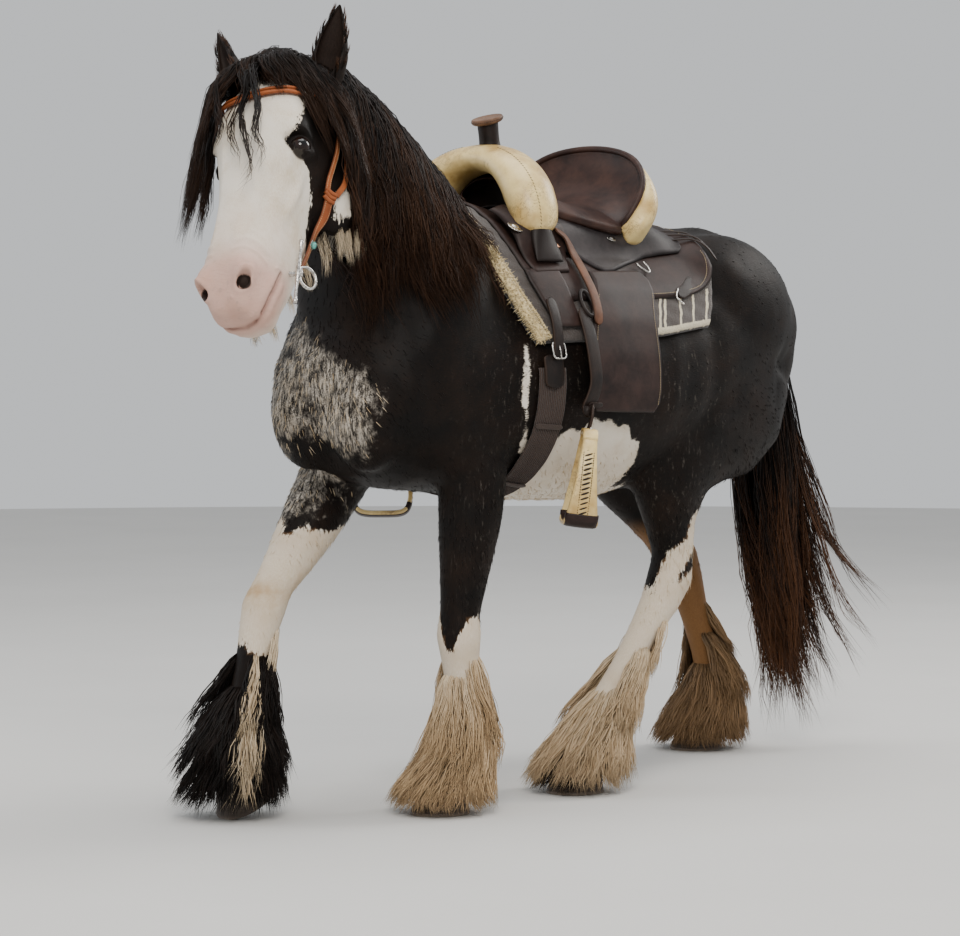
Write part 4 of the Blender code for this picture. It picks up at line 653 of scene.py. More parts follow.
flesh = makeFlesh()
print("flesh blended:", len(flesh.data.polygons), "faces")
skin = makeSkin(flesh)
print("skin shaped:", len(skin.data.polygons), "faces")


# Markings, as distances in metres: above 0 inside the mark. Skin and hair read the same ones
faceLine = [(0.0, -0.05), (0.118, -0.064), (0.218, -0.029), (0.262, -0.038), (0.282, -0.118), (0.328, -0.156),
            (0.393, -0.175), (0.440, -0.230), (0.465, -0.400)]
whitePatches = [
    # neck, belly, behind the elbow, flank: middle, radii
    ((0.055, -0.80, 1.42), (0.060, 0.06, 0.09)), ((0.20, -0.13, 0.765), (0.32, 0.20, 0.180)),
    ((0.10, 0.04, 0.72), (0.16, 0.12, 0.06)), ((0.225, 0.345, 0.635), (0.030, 0.055, 0.085)),
]
roanPatches = [((0.07, -0.86, 0.97), (0.19, 0.13, 0.16)), ((-0.12, -0.82, 1.02), (0.18, 0.15, 0.20)),
               ((-0.19, -0.66, 0.82), (0.12, 0.18, 0.17))]
flankLine = [(0.272, -0.372, 1.125), (0.278, -0.384, 0.995), (0.240, -0.350, 0.870)]
hindStripe = [(0.250, 0.41, 0.73), (0.240, 0.36, 0.66), (0.225, 0.26, 0.58), (0.214, 0.19, 0.49),
              (0.205, 0.17, 0.36)]
jowlSpot = {"place": (0.107, 0.290, -0.240), "radius": 0.026}
legTop = 0.72


def patchDepth(points, patches):
    best = np.full(len(points), -1.0)
    for middle, radii in patches:
        r = np.linalg.norm((points - np.array(middle)) / np.array(radii), axis=1)
        best = np.maximum(best, (1 - r) * min(radii))
    return best


def legOf(points):
    # 0 near fore, 1 off fore, 2 near hind, 3 off hind
    left = points[:, 0] > 0
    return np.where(left, np.where(points[:, 1] < -0.30, 0, 2), np.where(points[:, 1] < 0, 1, 3))


limbTables = [body["foreLeft"], body["foreRight"], body["hindLeft"], body["hindRight"]]


def limbMiddle(leg, z):
    x, y, height = np.array(limbTables[leg])[::-1, :3].T
    return np.stack([np.interp(z, height, x), np.interp(z, height, y)], -1)


def markings(points):
    local = inHead(points)
    onHead = headShare(points) > 0.5
    onFace = local[:, 2] - readAt(faceLine, local[:, 1])
    jowl = jowlSpot["radius"] - np.linalg.norm((local - jowlSpot["place"]) * [1, 0.7, 1], axis=1)
    headWhite = np.maximum(onFace, jowl)
    headWhite = np.where(local[:, 1] < 0.02, -0.1, headWhite)
    x, y, z = points.T
    leg = legOf(points)
    ragged = 0.5 * np.sin(y * 43 + z * 21) * np.sin(z * 39 - y * 17) + 0.4 * np.sin(y * 97 - z * 31 + x * 50)
    white = patchDepth(points, whitePatches) + 0.017 * ragged
    low = z < legTop
    # How high the white of each lower leg reaches. The off legs have none of this kind
    none = np.full(len(z), -1.0)
    tops = np.choose(leg, [0.440 + 0.05 * np.sin(x * 60), none, 0.49 + 0.5 * (y - 0.20), none])
    white = np.where(low, np.maximum(white, tops - z), white)
    white = np.maximum(white, 0.0085 + 0.0025 * np.sin(z * 37 + 1) - lineDistance(points, flankLine))
    # The off fore: a white band round the cannon, and a thin streak below it
    band = 0.138 + 0.012 * np.sin(x * 90) - np.abs(z - 0.545 + 0.25 * (x + 0.16))
    white = np.where(low & (leg == 1), np.maximum(white, band), white)
    behind = np.maximum(y - limbMiddle(1, z)[:, 1], 0)
    streak = 0.010 - np.abs(x + 0.100 + 0.012 * np.sin(z * 9)) - 2.0 * behind
    white = np.where((z < 0.44) & (leg == 1), np.maximum(white, streak), white)
    stripe = 0.034 - 0.022 * np.clip((z - 0.50) / 0.3, 0, 1) - lineDistance(points, hindStripe)
    white = np.where(leg == 2, np.maximum(white, stripe), white)
    white = np.where(onHead, headWhite, white)
    pink = smoothStep(0.500, 0.60, local[:, 1]) * 0.8 + smoothStep(0.36, 0.52, local[:, 1]) * 0.2
    pink = pink * onHead * smoothStep(-0.20, -0.12, local[:, 2])
    tan = np.where((leg == 3) & low, smoothStep(0.66, 0.58, z), 0)
    tan = np.maximum(tan, np.where((leg == 0) & low, smoothStep(0.24, 0.10, z) * 0.45, 0))
    knee = smoothStep(0.07, 0.0, np.abs(z - 0.535)) * (leg == 1)
    tan = np.maximum(tan, np.where(low & (white > 0), 0.5 + 0.5 * knee, 0))
    roan = np.where(onHead, 0, smoothStep(-0.05, 0.07, patchDepth(points, roanPatches)))
    return {"white": np.clip(white / 0.05 + 0.5, 0, 1), "pink": pink, "tan": tan, "roan": roan}


def paint(piece, points):
    for name, values in markings(points).items():
        addValues(piece, name, values)


skinPoints, skinNormals = pointsOf(skin), normalsOf(skin)
skinTree = BVHTree.FromPolygons([tuple(p) for p in skinPoints],
                                [tuple(face.vertices) for face in skin.data.polygons])
paint(skin, skinPoints)
skinLocal = inHead(skinPoints)
skinOnHead = headShare(skinPoints)
# Bare dark skin round the eyes, dark skin and painted shade in the nostrils, and painted shade in the crease
# of the mouth, on both sides alike
mirrored = np.column_stack([np.abs(skinLocal[:, 0]), skinLocal[:, 1:]])
eyeDark = np.linalg.norm((mirrored - [0.108, 0.249, -0.071]) / [1, 1.0, 0.9], axis=1)
bare = smoothStep(0.040, 0.020, eyeDark) * skinOnHead
# Round each nostril: dark skin at its rim, and painted shade down in its pit
nostrilSpot = np.linalg.norm(mirrored - [0.050, 0.626, -0.036], axis=1)
mouthGap = lineDistance(mirrored, headFeatures["mouth"][0])
addValues(skin, "bare", np.maximum(bare, smoothStep(0.023, 0.013, nostrilSpot) * skinOnHead))
# Painted shade along the mouth's crease, where the upper and lower lip meet
addValues(skin, "lips", np.exp(-(mouthGap / 0.006) ** 2) * skinOnHead)
flecked = smoothStep(0.10, 0.45, np.exp(-((skinPoints[:, 1] + 0.05) / 0.42) ** 2))
addValues(skin, "flecks", flecked * (1 - skinOnHead) * smoothStep(1.30, 1.05, skinPoints[:, 2]) * 0.8)
addValues(skin, "low", smoothStep(0.95, 0.80, skinPoints[:, 2]) + skinOnHead)

coat = {"black": color(0.0042, 0.0034, 0.0031), "brown": color(0.0145, 0.0080, 0.0052),
        "white": color(0.72, 0.66, 0.57), "cream": color(0.56, 0.46, 0.33), "tan": color(0.23, 0.115, 0.045),
        "pink": color(0.50, 0.255, 0.205), "grey": color(0.075, 0.055, 0.050)}


def makeSkinFinish():
    f = Finish("shortCoat", 0.5, Specular_IOR_Level=0.10)
    lie = f.mix(f.scaled((520, 90, 520)), f.scaled((520, 520, 90)), f.attribute("low").smallest(1.0))
    hairs = f.noise(1.0, 2.0, place=lie)
    blotch = f.noise(9, 4, 0.6)
    fleck = f.noise(240, 2, 0.5)
    dark = f.mix(coat["black"], coat["brown"], (blotch * 0.9 + hairs * 0.5 - 0.35).step(0.15, 0.75))
    dark = f.mix(dark, coat["tan"], f.attribute("tan") * (0.55 + hairs * 0.5))
    pale = f.mix(coat["cream"], coat["white"], (blotch + hairs * 0.6).step(0.45, 0.95))
    lieDown = f.noise(1.0, 4, 0.7, place=f.scaled((150, 90, 26)))
    edge = f.attribute("white") + (f.noise(55, 3) - 0.5) * 0.42 + (hairs - 0.5) * 0.35
    edge = edge + (lieDown - 0.5) * f.attribute("low").smallest(1.0) * (1.0 - f.attribute("pink")) * 1.1
    mark = edge.step(0.44, 0.56)
    pale = f.mix(pale, color(0.40, 0.26, 0.125), f.attribute("tan") * blotch.step(0.25, 0.70))
    patches = (f.noise(13, 4, 0.7) * 1.25 + f.attribute("roan") * 0.55).step(0.92, 1.22)
    roan = (lieDown * 0.9 + hairs * 0.45 + fleck * 0.25).step(0.66, 0.98) * patches
    strands = (lieDown + hairs * 0.3).step(0.72, 0.92) * f.attribute("flecks") * 0.16
    tint = f.mix(dark, f.mix(pale, coat["grey"], 0.35), roan.largest(strands))
    tint = f.mix(tint, pale, mark)
    mottled = f.mix(coat["pink"], coat["grey"], f.noise(46, 4, 0.65).step(0.56, 0.72) * 0.30)
    tint = f.mix(tint, mottled, f.attribute("pink") * (0.55 + hairs * 0.35) * mark)
    # Near-black: bare skin round the eyes, and painted shade in the nostril pits
    tint = f.mix(tint, color(0.010, 0.007, 0.006), f.attribute("bare").step(0.25, 0.75) * 0.96)
    # Painted shade in the mouth's crease
    tint = f.mix(tint, color(0.16, 0.075, 0.06), f.attribute("lips") * 0.8)
    folds = f.noise(1.0, 4, 0.6, 0.8, place=f.scaled((38, 38, 120)))
    height = hairs * (1.0 - f.attribute("bare")) + f.noise(34, 3) * 0.8 + folds * f.attribute("pink") * 2.2
    pores = f.cells(420) * (f.attribute("bare").largest(f.attribute("pink")))
    return f.wire(Base_Color=tint, Roughness=0.42 + hairs * 0.22 + mark * 0.12,
                  Normal=f.bump(height + pores * 0.5, 0.0011, 0.6))


shortCoat = makeSkinFinish()
finished(skin, shortCoat, ("head", "neck", "torso", "fore_leg_left", "fore_leg_right", "hind_leg_left",
                           "hind_leg_right", "fore_cannon_left", "fore_cannon_right", "hind_cannon_left",
                           "hind_cannon_right"))
print("skin painted")


# Eyes: a ball with a clear bulge in front, its pupil a level bean

def makeEyeFinish():
    f = Finish("wetEye", 0.08, Specular_IOR_Level=0.30, Coat_Weight=0.35, Coat_Roughness=0.02, Coat_IOR=1.36)
    across, up = f.attribute("irisAcross"), f.attribute("irisUp")
    radius = (across * across + up * up) ** 0.5
    pupil = ((across * 0.62) ** 2.0 + up * up).step(0.030, 0.052)
    streaks = f.noise(300, 3, 0.7)
    iris = f.mix(color(0.004, 0.002, 0.0015), color(0.022, 0.0085, 0.004), streaks * radius.step(0.15, 0.62))
    iris = f.mix(color(0.0015, 0.0015, 0.002), iris, pupil)
    rim = f.mix(iris, color(0.008, 0.005, 0.0045), radius.step(0.62, 0.74))
    white = f.mix(rim, color(0.030, 0.020, 0.017), (radius + (streaks - 0.5) * 0.1).step(1.02, 1.10))
    return f.wire(Base_Color=white, Roughness=0.05 + streaks * 0.05)


def makeEye(name, way, node, surface):
    middle, out, up, across = eyeAxes(way)
    ball = ellipsoid(name, Vector((0, 0, 0)), (1, 1, 1), Matrix.Identity(4), 64, 48)
    turn = Matrix((across, up, out)).transposed().to_4x4()
    points = pointsOf(ball)[:, [0, 2, 1]]
    flat = np.hypot(points[:, 0] / 1.15, points[:, 1])
    bulge = np.where(points[:, 2] > 0, 0.055 * np.exp(-(flat / 0.55) ** 2), 0)
    addValues(ball, "irisAcross", points[:, 0])
    addValues(ball, "irisUp", points[:, 1])
    points[:, 2] += bulge
    movePoints(ball, [tuple(turn @ Vector(p * eye["radius"]) + middle) for p in points])
    return finished(tidyMesh(ball), surface, (node,))


wetEye = makeEyeFinish()
makeEye("eyeLeft", 1, "eye_left", wetEye)
makeEye("eyeRight", -1, "eye_right", wetEye)


# Ears: a rolled leaf that opens forwards, thin at its edge
ear = {"roots": {1: (0.092, 0.020, -0.130), -1: (-0.126, 0.024, -0.130)},
       "tips": {1: (0.165, -0.125, -0.045), -1: (-0.192, -0.170, -0.040)},
       "widths": [(-0.10, 0.030, 0.024), (0.0, 0.033, 0.027), (0.14, 0.040, 0.031), (0.35, 0.043, 0.030),
                  (0.55, 0.036, 0.024), (0.72, 0.026, 0.017), (0.87, 0.014, 0.010), (1.0, 0.002, 0.002)],
       "gaps": [(-0.1, 5), (0.0, 6), (0.12, 20), (0.3, 46), (0.6, 58), (0.85, 62), (1.0, 70)],
       "wall": 0.0045, "steps": 22, "points": 27}


def earPoint(way, share, turn, shrink=0.0):
    # A place on the ear: share of its length, turn in degrees from the back
    root, tip = headPoint(*ear["roots"][way]), headPoint(*ear["tips"][way])
    axis = (tip - root).normalized()
    opening = (headOut * 0.85 + headLeft * (0.45 * way)).normalized()
    opening = (opening - axis * opening.dot(axis)).normalized()
    side = axis.cross(opening)
    shares, wide, deep = zip(*ear["widths"])
    w, d = (np.interp(share, shares, radii) - shrink for radii in (wide, deep))
    a = math.radians(turn)
    bow = opening * (0.006 * math.sin(math.pi * max(share, 0)))
    return root.lerp(tip, share) + side * (math.sin(a) * w) - opening * (math.cos(a) * d) + bow


def makeEar(name, way, node, surface):
    verts, faces, inner = [], [], []
    steps, across = ear["steps"], ear["points"]
    for i in range(steps + 1):
        share = -0.10 + 1.10 * i / steps
        gap = readAt(ear["gaps"], share)
        for j in range(across):
            verts.append(earPoint(way, share, (180 - gap) * (2 * j / (across - 1) - 1)))
    for i in range(steps):
        a, b = i * across, (i + 1) * across
        faces += [(a + j, a + j + 1, b + j + 1, b + j) for j in range(across - 1)]
    leaf = newObject(name, verts, faces)
    tidyMesh(leaf)
    root = headPoint(*ear["roots"][way])
    axis = headPoint(*ear["tips"][way]) - root
    middle = leaf.data.polygons[len(leaf.data.polygons) // 2]
    if (middle.center - (root + axis * 0.5)).dot(middle.normal) < 0:
        leaf.data.flip_normals()
    tidyMesh(refined(walled(leaf, ear["wall"], -1)), 0.00001)
    # The inside is where the surface looks towards the ear's own axis
    axis = np.array(axis.normalized())
    off = pointsOf(leaf) - np.array(root)
    radial = off - np.outer(off @ axis, axis)
    inward = -(radial * normalsOf(leaf)).sum(1) / np.maximum(np.linalg.norm(radial, axis=1), 0.001)
    addValues(leaf, "inside", smoothStep(0.0, 0.4, inward))
    return finished(leaf, surface, (node,))


def makeEarFinish():
    f = Finish("earFur", 0.6, Specular_IOR_Level=0.15)
    hairs = f.noise(1.0, 2.0, place=f.scaled((500, 500, 110)))
    outside = f.mix(coat["black"], coat["brown"], (hairs + f.noise(40, 3) * 0.5).step(0.5, 1.0))
    inner = f.mix(color(0.006, 0.004, 0.0035), color(0.030, 0.018, 0.013), hairs)
    return f.wire(Base_Color=f.mix(outside, inner, f.attribute("inside")), Roughness=0.5 + hairs * 0.2,
                  Normal=f.bump(hairs, 0.0008, 0.7))


earFur = makeEarFinish()
makeEar("earLeft", 1, "ear_left", earFur)
makeEar("earRight", -1, "ear_right", earFur)


# Hooves
hoof = {"width": 0.074, "front": 0.086, "back": 0.066, "toe": 0.078, "heel": 0.046, "points": 56, "steps": 26,
        "places": {"hoof_fore_left": ((0.155, -0.548, 0.0), 0),
                   "hoof_fore_right": ((-0.150, -0.903, 0.0400), 30),
                   "hoof_hind_left": ((0.155, -0.052, 0.0), 0), "hoof_hind_right": ((-0.168, 0.834, 0.0), 0)}}


def makeHoof(node, surface):
    place, tilt = hoof["places"][node]
    turn = Matrix.Translation(place) @ Matrix.Rotation(math.radians(tilt), 4, "X")
    rings = []
    for i in range(hoof["steps"] + 1):
        share = i / hoof["steps"]
        # Growth rings, a worn lower edge and a swelling at the coronet
        growth = 0.0008 * math.sin(share * 46) - 0.0016 * (share < 0.02)
        growth += 0.0020 * math.exp(-((share - 0.97) / 0.03) ** 2)
        width, front, back = (hoof[key] - narrower * share + growth - 0.0012
                              for key, narrower in (("width", 0.014), ("front", 0.034), ("back", 0.012)))
        ring = []
        for j in range(hoof["points"]):
            angle = 2 * math.pi * j / hoof["points"]
            x, y = math.cos(angle) * width, -math.sin(angle)
            y *= front if y < 0 else back
            heel = max(0.0, y / back) ** 3
            y -= heel * 0.010 * math.exp(-(x / 0.012) ** 2)
            slope = (hoof["toe"] - hoof["heel"]) * (front - y) / (front + back)
            ring.append(turn @ Vector((x, y, (hoof["toe"] - slope) * share)))
        rings.append(ring)
    rim = [turn.inverted() @ p for p in rings[0]]
    sole = [[turn @ Vector((p.x * s, p.y * s, rise)) for p in rim]
            for s, rise in ((0.35, 0.006), (0.80, 0.005), (0.88, 0.0004))]
    wall = loft("".join(w.capitalize() for w in node.split("_")), sole + rings)
    points = pointsOf(wall)
    points[:, 2] = np.maximum(points[:, 2], 0.0004)
    movePoints(wall, points)
    addValues(wall, "growth", np.interp(points[:, 2], (0, 0.08), (0, 1)))
    return finished(wall, surface, (node,))


def makeHornFinish():
    f = Finish("hoofHorn", 0.5, Specular_IOR_Level=0.35)
    fibres = f.noise(1.0, 3, place=f.scaled((260, 260, 14)))
    rings = f.noise(1.0, 2, place=f.scaled((8, 8, 190)))
    tint = f.mix(color(0.030, 0.022, 0.018), color(0.135, 0.100, 0.075), fibres * 0.7 + rings * 0.4 - 0.1)
    worn = (1.0 - f.attribute("growth")).step(0.88, 1.0)
    return f.wire(Base_Color=f.mix(tint, color(0.26, 0.21, 0.16), worn * (fibres + 0.1)),
                  Roughness=0.38 + fibres * 0.3, Normal=f.bump(fibres + rings * 1.3, 0.0009, 0.7))


hoofHorn = makeHornFinish()
for hoofNode in hoof["places"]:
    makeHoof(hoofNode, hoofHorn)
print("eyes, ears and hooves made")


# Long hair: wisps of solid mesh that follow guide locks. Each wisp has three sides and tapers to a point

def fastMesh(name, verts, quads, tris):
    mesh = bpy.data.meshes.new(name)
    mesh.vertices.add(len(verts))
    mesh.vertices.foreach_set("co", np.asarray(verts, np.float32).ravel())
    corners = np.concatenate([quads.ravel(), tris.ravel()]).astype(np.int32)
    mesh.loops.add(len(corners))
    mesh.loops.foreach_set("vertex_index", corners)
    starts = np.concatenate([np.arange(len(quads)) * 4, len(quads) * 4 + np.arange(len(tris)) * 3])
    mesh.polygons.add(len(starts))
    mesh.polygons.foreach_set("loop_start", starts.astype(np.int32))
    mesh.update(calc_edges=True)
    return shown(name, mesh), corners


def unwrap(points):
    # The skin laid out by its own shape: head, trunk with neck, and each leg as a rolled-out sheet
    x, y, z = points.T
    local = inHead(points)
    turn = np.arctan2(x, z - 1.08) / (2 * math.pi) + 0.5
    place = np.stack([0.03 + 0.94 * (y + 0.95) / 2.0, 0.03 + 0.46 * turn], -1)
    around = np.arctan2(local[:, 0], local[:, 2] + 0.11) / (2 * math.pi) + 0.5
    head = np.stack([0.03 + 0.40 * (local[:, 1] + 0.15) / 0.95, 0.55 + 0.42 * around], -1)
    place = np.where(headShare(points)[:, None] > 0.5, head, place)
    leg = legOf(points)
    for i in range(4):
        middle = limbMiddle(i, z)
        around = np.arctan2(x - middle[:, 0], y - middle[:, 1]) / (2 * math.pi) + 0.5
        rolled = np.stack([0.50 + 0.12 * i + 0.10 * around, 0.55 + 0.42 * z / 0.75], -1)
        place = np.where(((leg == i) & (z < 0.75))[:, None], rolled, place)
    return place


# How much of the unwrapped skin each wisp's own patch takes
patchSize = 0.003


def makeWisps(name, lines, faces, widths, flatness, values):
    # lines, faces: wisp x step x 3; widths: wisp x step; values: one number per wisp, or per wisp and step
    count, steps = widths.shape
    along = np.gradient(lines, axis=1)
    along /= np.maximum(np.linalg.norm(along, axis=2, keepdims=True), 1e-9)
    across = np.cross(along, faces)
    across /= np.maximum(np.linalg.norm(across, axis=2, keepdims=True), 1e-9)
    up = np.cross(across, along)
    half = across * widths[..., None] / 2
    rise = up * widths[..., None] * flatness
    rings = np.stack([lines - half - rise * 0.4, lines + half - rise * 0.4, lines + rise * 0.6], 2)[:, :-1]
    size = 3 * (steps - 1) + 1
    verts = np.concatenate([rings.reshape(count, -1, 3), lines[:, -1:]], 1).reshape(-1, 3)
    k, j = np.meshgrid(np.arange(steps - 2), np.arange(3), indexing="ij")
    nextJ = (j + 1) % 3
    quad = np.stack([k * 3 + j, k * 3 + nextJ, k * 3 + 3 + nextJ, k * 3 + 3 + j], -1).reshape(-1, 4)
    last = 3 * (steps - 2)
    tip = size - 1
    tri = np.array([[last, last + 1, tip], [last + 1, last + 2, tip], [last + 2, last, tip], [2, 1, 0]])
    starts = (np.arange(count) * size)[:, None, None]
    quads, tris = (starts + quad).reshape(-1, 4), (starts + tri).reshape(-1, 3)
    a, b, c = (verts[quad[0][i]] for i in (0, 1, 2))
    if np.dot(np.cross(b - a, c - a), (a + b) / 2 - verts[:3].mean(0)) < 0:
        quads, tris = quads[:, ::-1], tris[:, ::-1]
    piece, corners = fastMesh(name, verts, quads, tris)
    own = unwrap(lines[:, 0])
    low, high = own.min(0), own.max(0)
    own = 0.02 + (own - low) / np.maximum(high - low, 0.02) * 0.95
    wisp, spot = corners // size, corners % size
    ringOf = np.minimum(np.arange(size) // 3, steps - 1)
    corner = np.where(spot == tip, 1, spot % 3)
    patch = own[wisp] + np.stack([corner / 2, ringOf[spot] / (steps - 1)], -1) * patchSize
    unwrapped = piece.data.uv_layers.new(name="OFBake")
    unwrapped.data.foreach_set("uv", patch.astype(np.float32).ravel())
    values = dict(values, along=np.broadcast_to(np.linspace(0, 1, steps), (count, steps)))
    for key, value in values.items():
        value = np.asarray(value, float)
        if value.ndim == 1:
            value = np.repeat(value[:, None], steps, 1)
        addValues(piece, key, value[:, ringOf].ravel())
    return piece


def unmarked(lines, own):
    return {"white": np.zeros(len(own)), "straw": np.zeros(len(own))}


def growLocks(name, guides, hair, looks=unmarked):
    # guides: path, faces and widths of each lock. hair: how its wisps lie in it. looks: what colours them
    fine = 28
    grid = np.linspace(0, 1, fine)
    paths = np.array([curveThrough(g["path"], fine) for g in guides])
    faces = np.array([curveThrough(g["faces"], fine) for g in guides])
    wide = np.array([np.interp(grid, np.linspace(0, 1, len(g["widths"])), g["widths"]) for g in guides])
    deep = np.array([g["depth"] for g in guides])
    span = np.linalg.norm(np.diff(paths, axis=1), axis=2).sum(1)
    tangent = np.gradient(paths, axis=1)
    tangent /= np.linalg.norm(tangent, axis=2, keepdims=True)
    faces = faces - tangent * (faces * tangent).sum(2, keepdims=True)
    faces /= np.linalg.norm(faces, axis=2, keepdims=True)
    across = np.cross(tangent, faces)
    numbers = np.array([g.get("count", hair["count"]) for g in guides])
    own = np.repeat(np.arange(len(guides)), numbers)
    total, steps = len(own), hair["steps"]
    share = np.linspace(0, 1, steps)[None]
    reach = draws.uniform(hair["shortest"], 1.0, total)[:, None]
    t = share * reach
    slot = t * (fine - 1)
    i = np.minimum(slot.astype(int), fine - 2)
    f = (slot - i)[..., None]

    def sample(table):
        rows = own[:, None]
        later = f if table.ndim == 3 else f[..., 0]
        return table[rows, i] * (1 - later) + table[rows, i + 1] * later

    tufts = hair["tufts"]
    tuft = own * tufts + draws.integers(0, tufts, total)
    centre = draws.uniform(-0.9, 0.9, (len(guides) * tufts, 2))
    phase = draws.uniform(0, 2 * math.pi, (len(guides) * tufts, 2))
    tuftTone = draws.uniform(0, 1, len(guides) * tufts)
    u, v = draws.uniform(-1, 1, total)[:, None], draws.uniform(-1, 1, total)[:, None]
    pull = hair["clump"] * share ** 1.4
    u = u + (centre[tuft, :1] - u) * pull
    v = v + (centre[tuft, 1:] - v) * pull
    turns = 2 * math.pi * hair["waves"] * t * span[own][:, None]
    loose = draws.normal(0, 1, (total, 2)) * hair["loose"]
    swing = hair["wave"] * share ** 0.8
    aside = swing * np.sin(turns + phase[tuft, :1]) + loose[:, :1] * share ** 1.5
    out = swing * 0.6 * np.sin(turns * 0.9 + phase[tuft, 1:]) + np.abs(loose[:, 1:]) * share ** 1.5 * 0.8
    lines = sample(paths) + sample(across) * (u * sample(wide) / 2 + aside)[..., None]
    # A lock is thin at its root, and no hair passes through the ground
    spread = v * deep[own][:, None] / 2 * (0.35 + 0.65 * np.minimum(share * 4, 1))
    lines += sample(faces) * (spread + out)[..., None]
    lines[..., 2] = np.maximum(lines[..., 2], 0.0025 + 0.002 * (v + 1))
    thick = hair["thick"] * draws.uniform(0.6, 1.25, total)[:, None]
    profile = np.interp(share, (0, 0.12, 0.55, 0.85, 1), (0.75, 1.0, 0.95, 0.55, 0.05))
    marks = markings(lines[:, 0])
    values = {"white": marks["white"], "tan": marks["tan"],
              "tone": np.clip(tuftTone[tuft] * 0.6 + draws.uniform(0, 0.4, total), 0, 1),
              "lightEnds": np.full(total, hair.get("lightEnds", 0.0))}
    values.update(looks(lines, own))
    return makeWisps(name, lines, sample(faces), thick * profile, 0.6, values)


def hairPiece(name, guides, hair, looks=unmarked, nodes=()):
    return finished(growLocks(name, guides, hair, looks), longHair, nodes, smooth=False)


def makeHairFinish():
    f = Finish("longHair", 0.42, Specular_IOR_Level=0.16)
    tone, along = f.attribute("tone"), f.attribute("along")
    streak = f.noise(60, 3)
    lit = (tone + streak * 0.4 - 0.2) ** 1.5
    black = f.mix(color(0.0032, 0.0026, 0.0024), color(0.0150, 0.0085, 0.0058), lit)
    rust = f.mix(color(0.040, 0.016, 0.008), color(0.130, 0.055, 0.023), tone)
    ends = (along + tone * 0.35 - 0.25).step(0.30, 1.05) * f.attribute("lightEnds")
    dark = f.mix(black, rust, ends.smallest(1.0))
    paler = (tone + along * 0.5).smallest(1.0)
    brown = f.mix(color(0.035, 0.021, 0.012), color(0.250, 0.155, 0.080), paler)
    dark = f.mix(dark, brown, f.attribute("tan"))
    pale = f.mix(color(0.42, 0.29, 0.15), color(0.72, 0.61, 0.45), (tone * 0.9 + streak * 0.4).smallest(1.0))
    straw = f.mix(color(0.26, 0.145, 0.060), color(0.47, 0.31, 0.155), tone)
    pale = f.mix(pale, straw, (along * 1.3).smallest(1.0) * f.attribute("straw") * (0.60 + tone * 0.3))
    tint = f.mix(dark, pale, f.attribute("white").step(0.35, 0.65))
    return f.wire(Base_Color=tint, Roughness=0.34 + tone * 0.18 + f.attribute("white") * 0.12)


longHair = makeHairFinish()


# Feather: hair from knee and hock and all round the pastern, in the part's own tiers
feather = {
    "tiers": [
        # root height, root's distance, tip height, tip's distance, first and last angle from the back, guides
        [(0.400, 0.030, 0.130, 0.088, -100, 100, 22), (0.335, 0.032, 0.050, 0.108, -180, 172, 34),
         (0.250, 0.034, 0.006, 0.130, -180, 172, 40), (0.170, 0.038, 0.004, 0.132, -180, 172, 36),
         (0.100, 0.042, 0.003, 0.114, -180, 172, 28)],
        [(0.470, 0.030, 0.290, 0.080, -60, 60, 10), (0.385, 0.034, 0.170, 0.115, -130, 130, 28),
         (0.310, 0.036, 0.070, 0.146, -180, 172, 46), (0.245, 0.040, 0.020, 0.140, -180, 172, 44),
         (0.180, 0.042, 0.006, 0.116, -180, 172, 32)],
        [(0.440, 0.030, 0.250, 0.078, -60, 60, 14), (0.350, 0.034, 0.110, 0.110, -120, 120, 28),
         (0.255, 0.036, 0.012, 0.142, -180, 172, 44), (0.185, 0.040, 0.004, 0.134, -180, 172, 40),
         (0.105, 0.042, 0.003, 0.116, -180, 172, 30)],
        [(0.420, 0.030, 0.230, 0.082, -70, 70, 14), (0.325, 0.034, 0.100, 0.110, -120, 120, 28),
         (0.235, 0.036, 0.012, 0.142, -180, 172, 44), (0.165, 0.040, 0.004, 0.134, -180, 172, 40),
         (0.100, 0.042, 0.003, 0.116, -180, 172, 30)]],
    "swing": [(0.0, 0.0, 0), (-0.016, -0.022, 0), (0.0, -0.004, 0), (0.0, 0.004, 0)],
    "flare": [(0.0, 0.0), (0.15, 0.20), (0.40, 0.46), (0.70, 0.76), (1.0, 1.0)],
    "straw": [1.0, 0.2, 0.7, 0.8],
    "hair": {"count": 19, "steps": 7, "shortest": 0.80, "tufts": 3, "clump": 0.80, "waves": 7, "wave": 0.0100,
             "loose": 0.0070, "thick": 0.0034},
}


def featherGuide(leg, tier, degrees):
    rootZ, rootOut, tipZ, tipOut, first, last, count = tier
    angle = math.radians(degrees)
    way = np.array([math.sin(angle), math.cos(angle), 0])
    tipZ += chance.uniform(0, 0.12) * (rootZ - tipZ) * (0.3 if tipZ < 0.03 else 1.0)
    tipOut *= chance.uniform(0.90, 1.04)
    swing = np.array(feather["swing"][leg])
    path = []
    for share, flare in feather["flare"]:
        z = rootZ + (tipZ - rootZ) * share
        middle = limbMiddle(leg, np.array([z]))[0]
        out = rootOut + (tipOut - rootOut) * flare
        path.append(np.array([*middle, z]) + way * out + swing * share ** 2)
    gap = 2.6 * math.radians((last - first) / count)
    return {"path": path, "faces": [way + [0, 0, 0.25]] * len(path), "depth": 0.020,
            "widths": [gap * (rootOut + (tipOut - rootOut) * flare) for share, flare in feather["flare"]]}


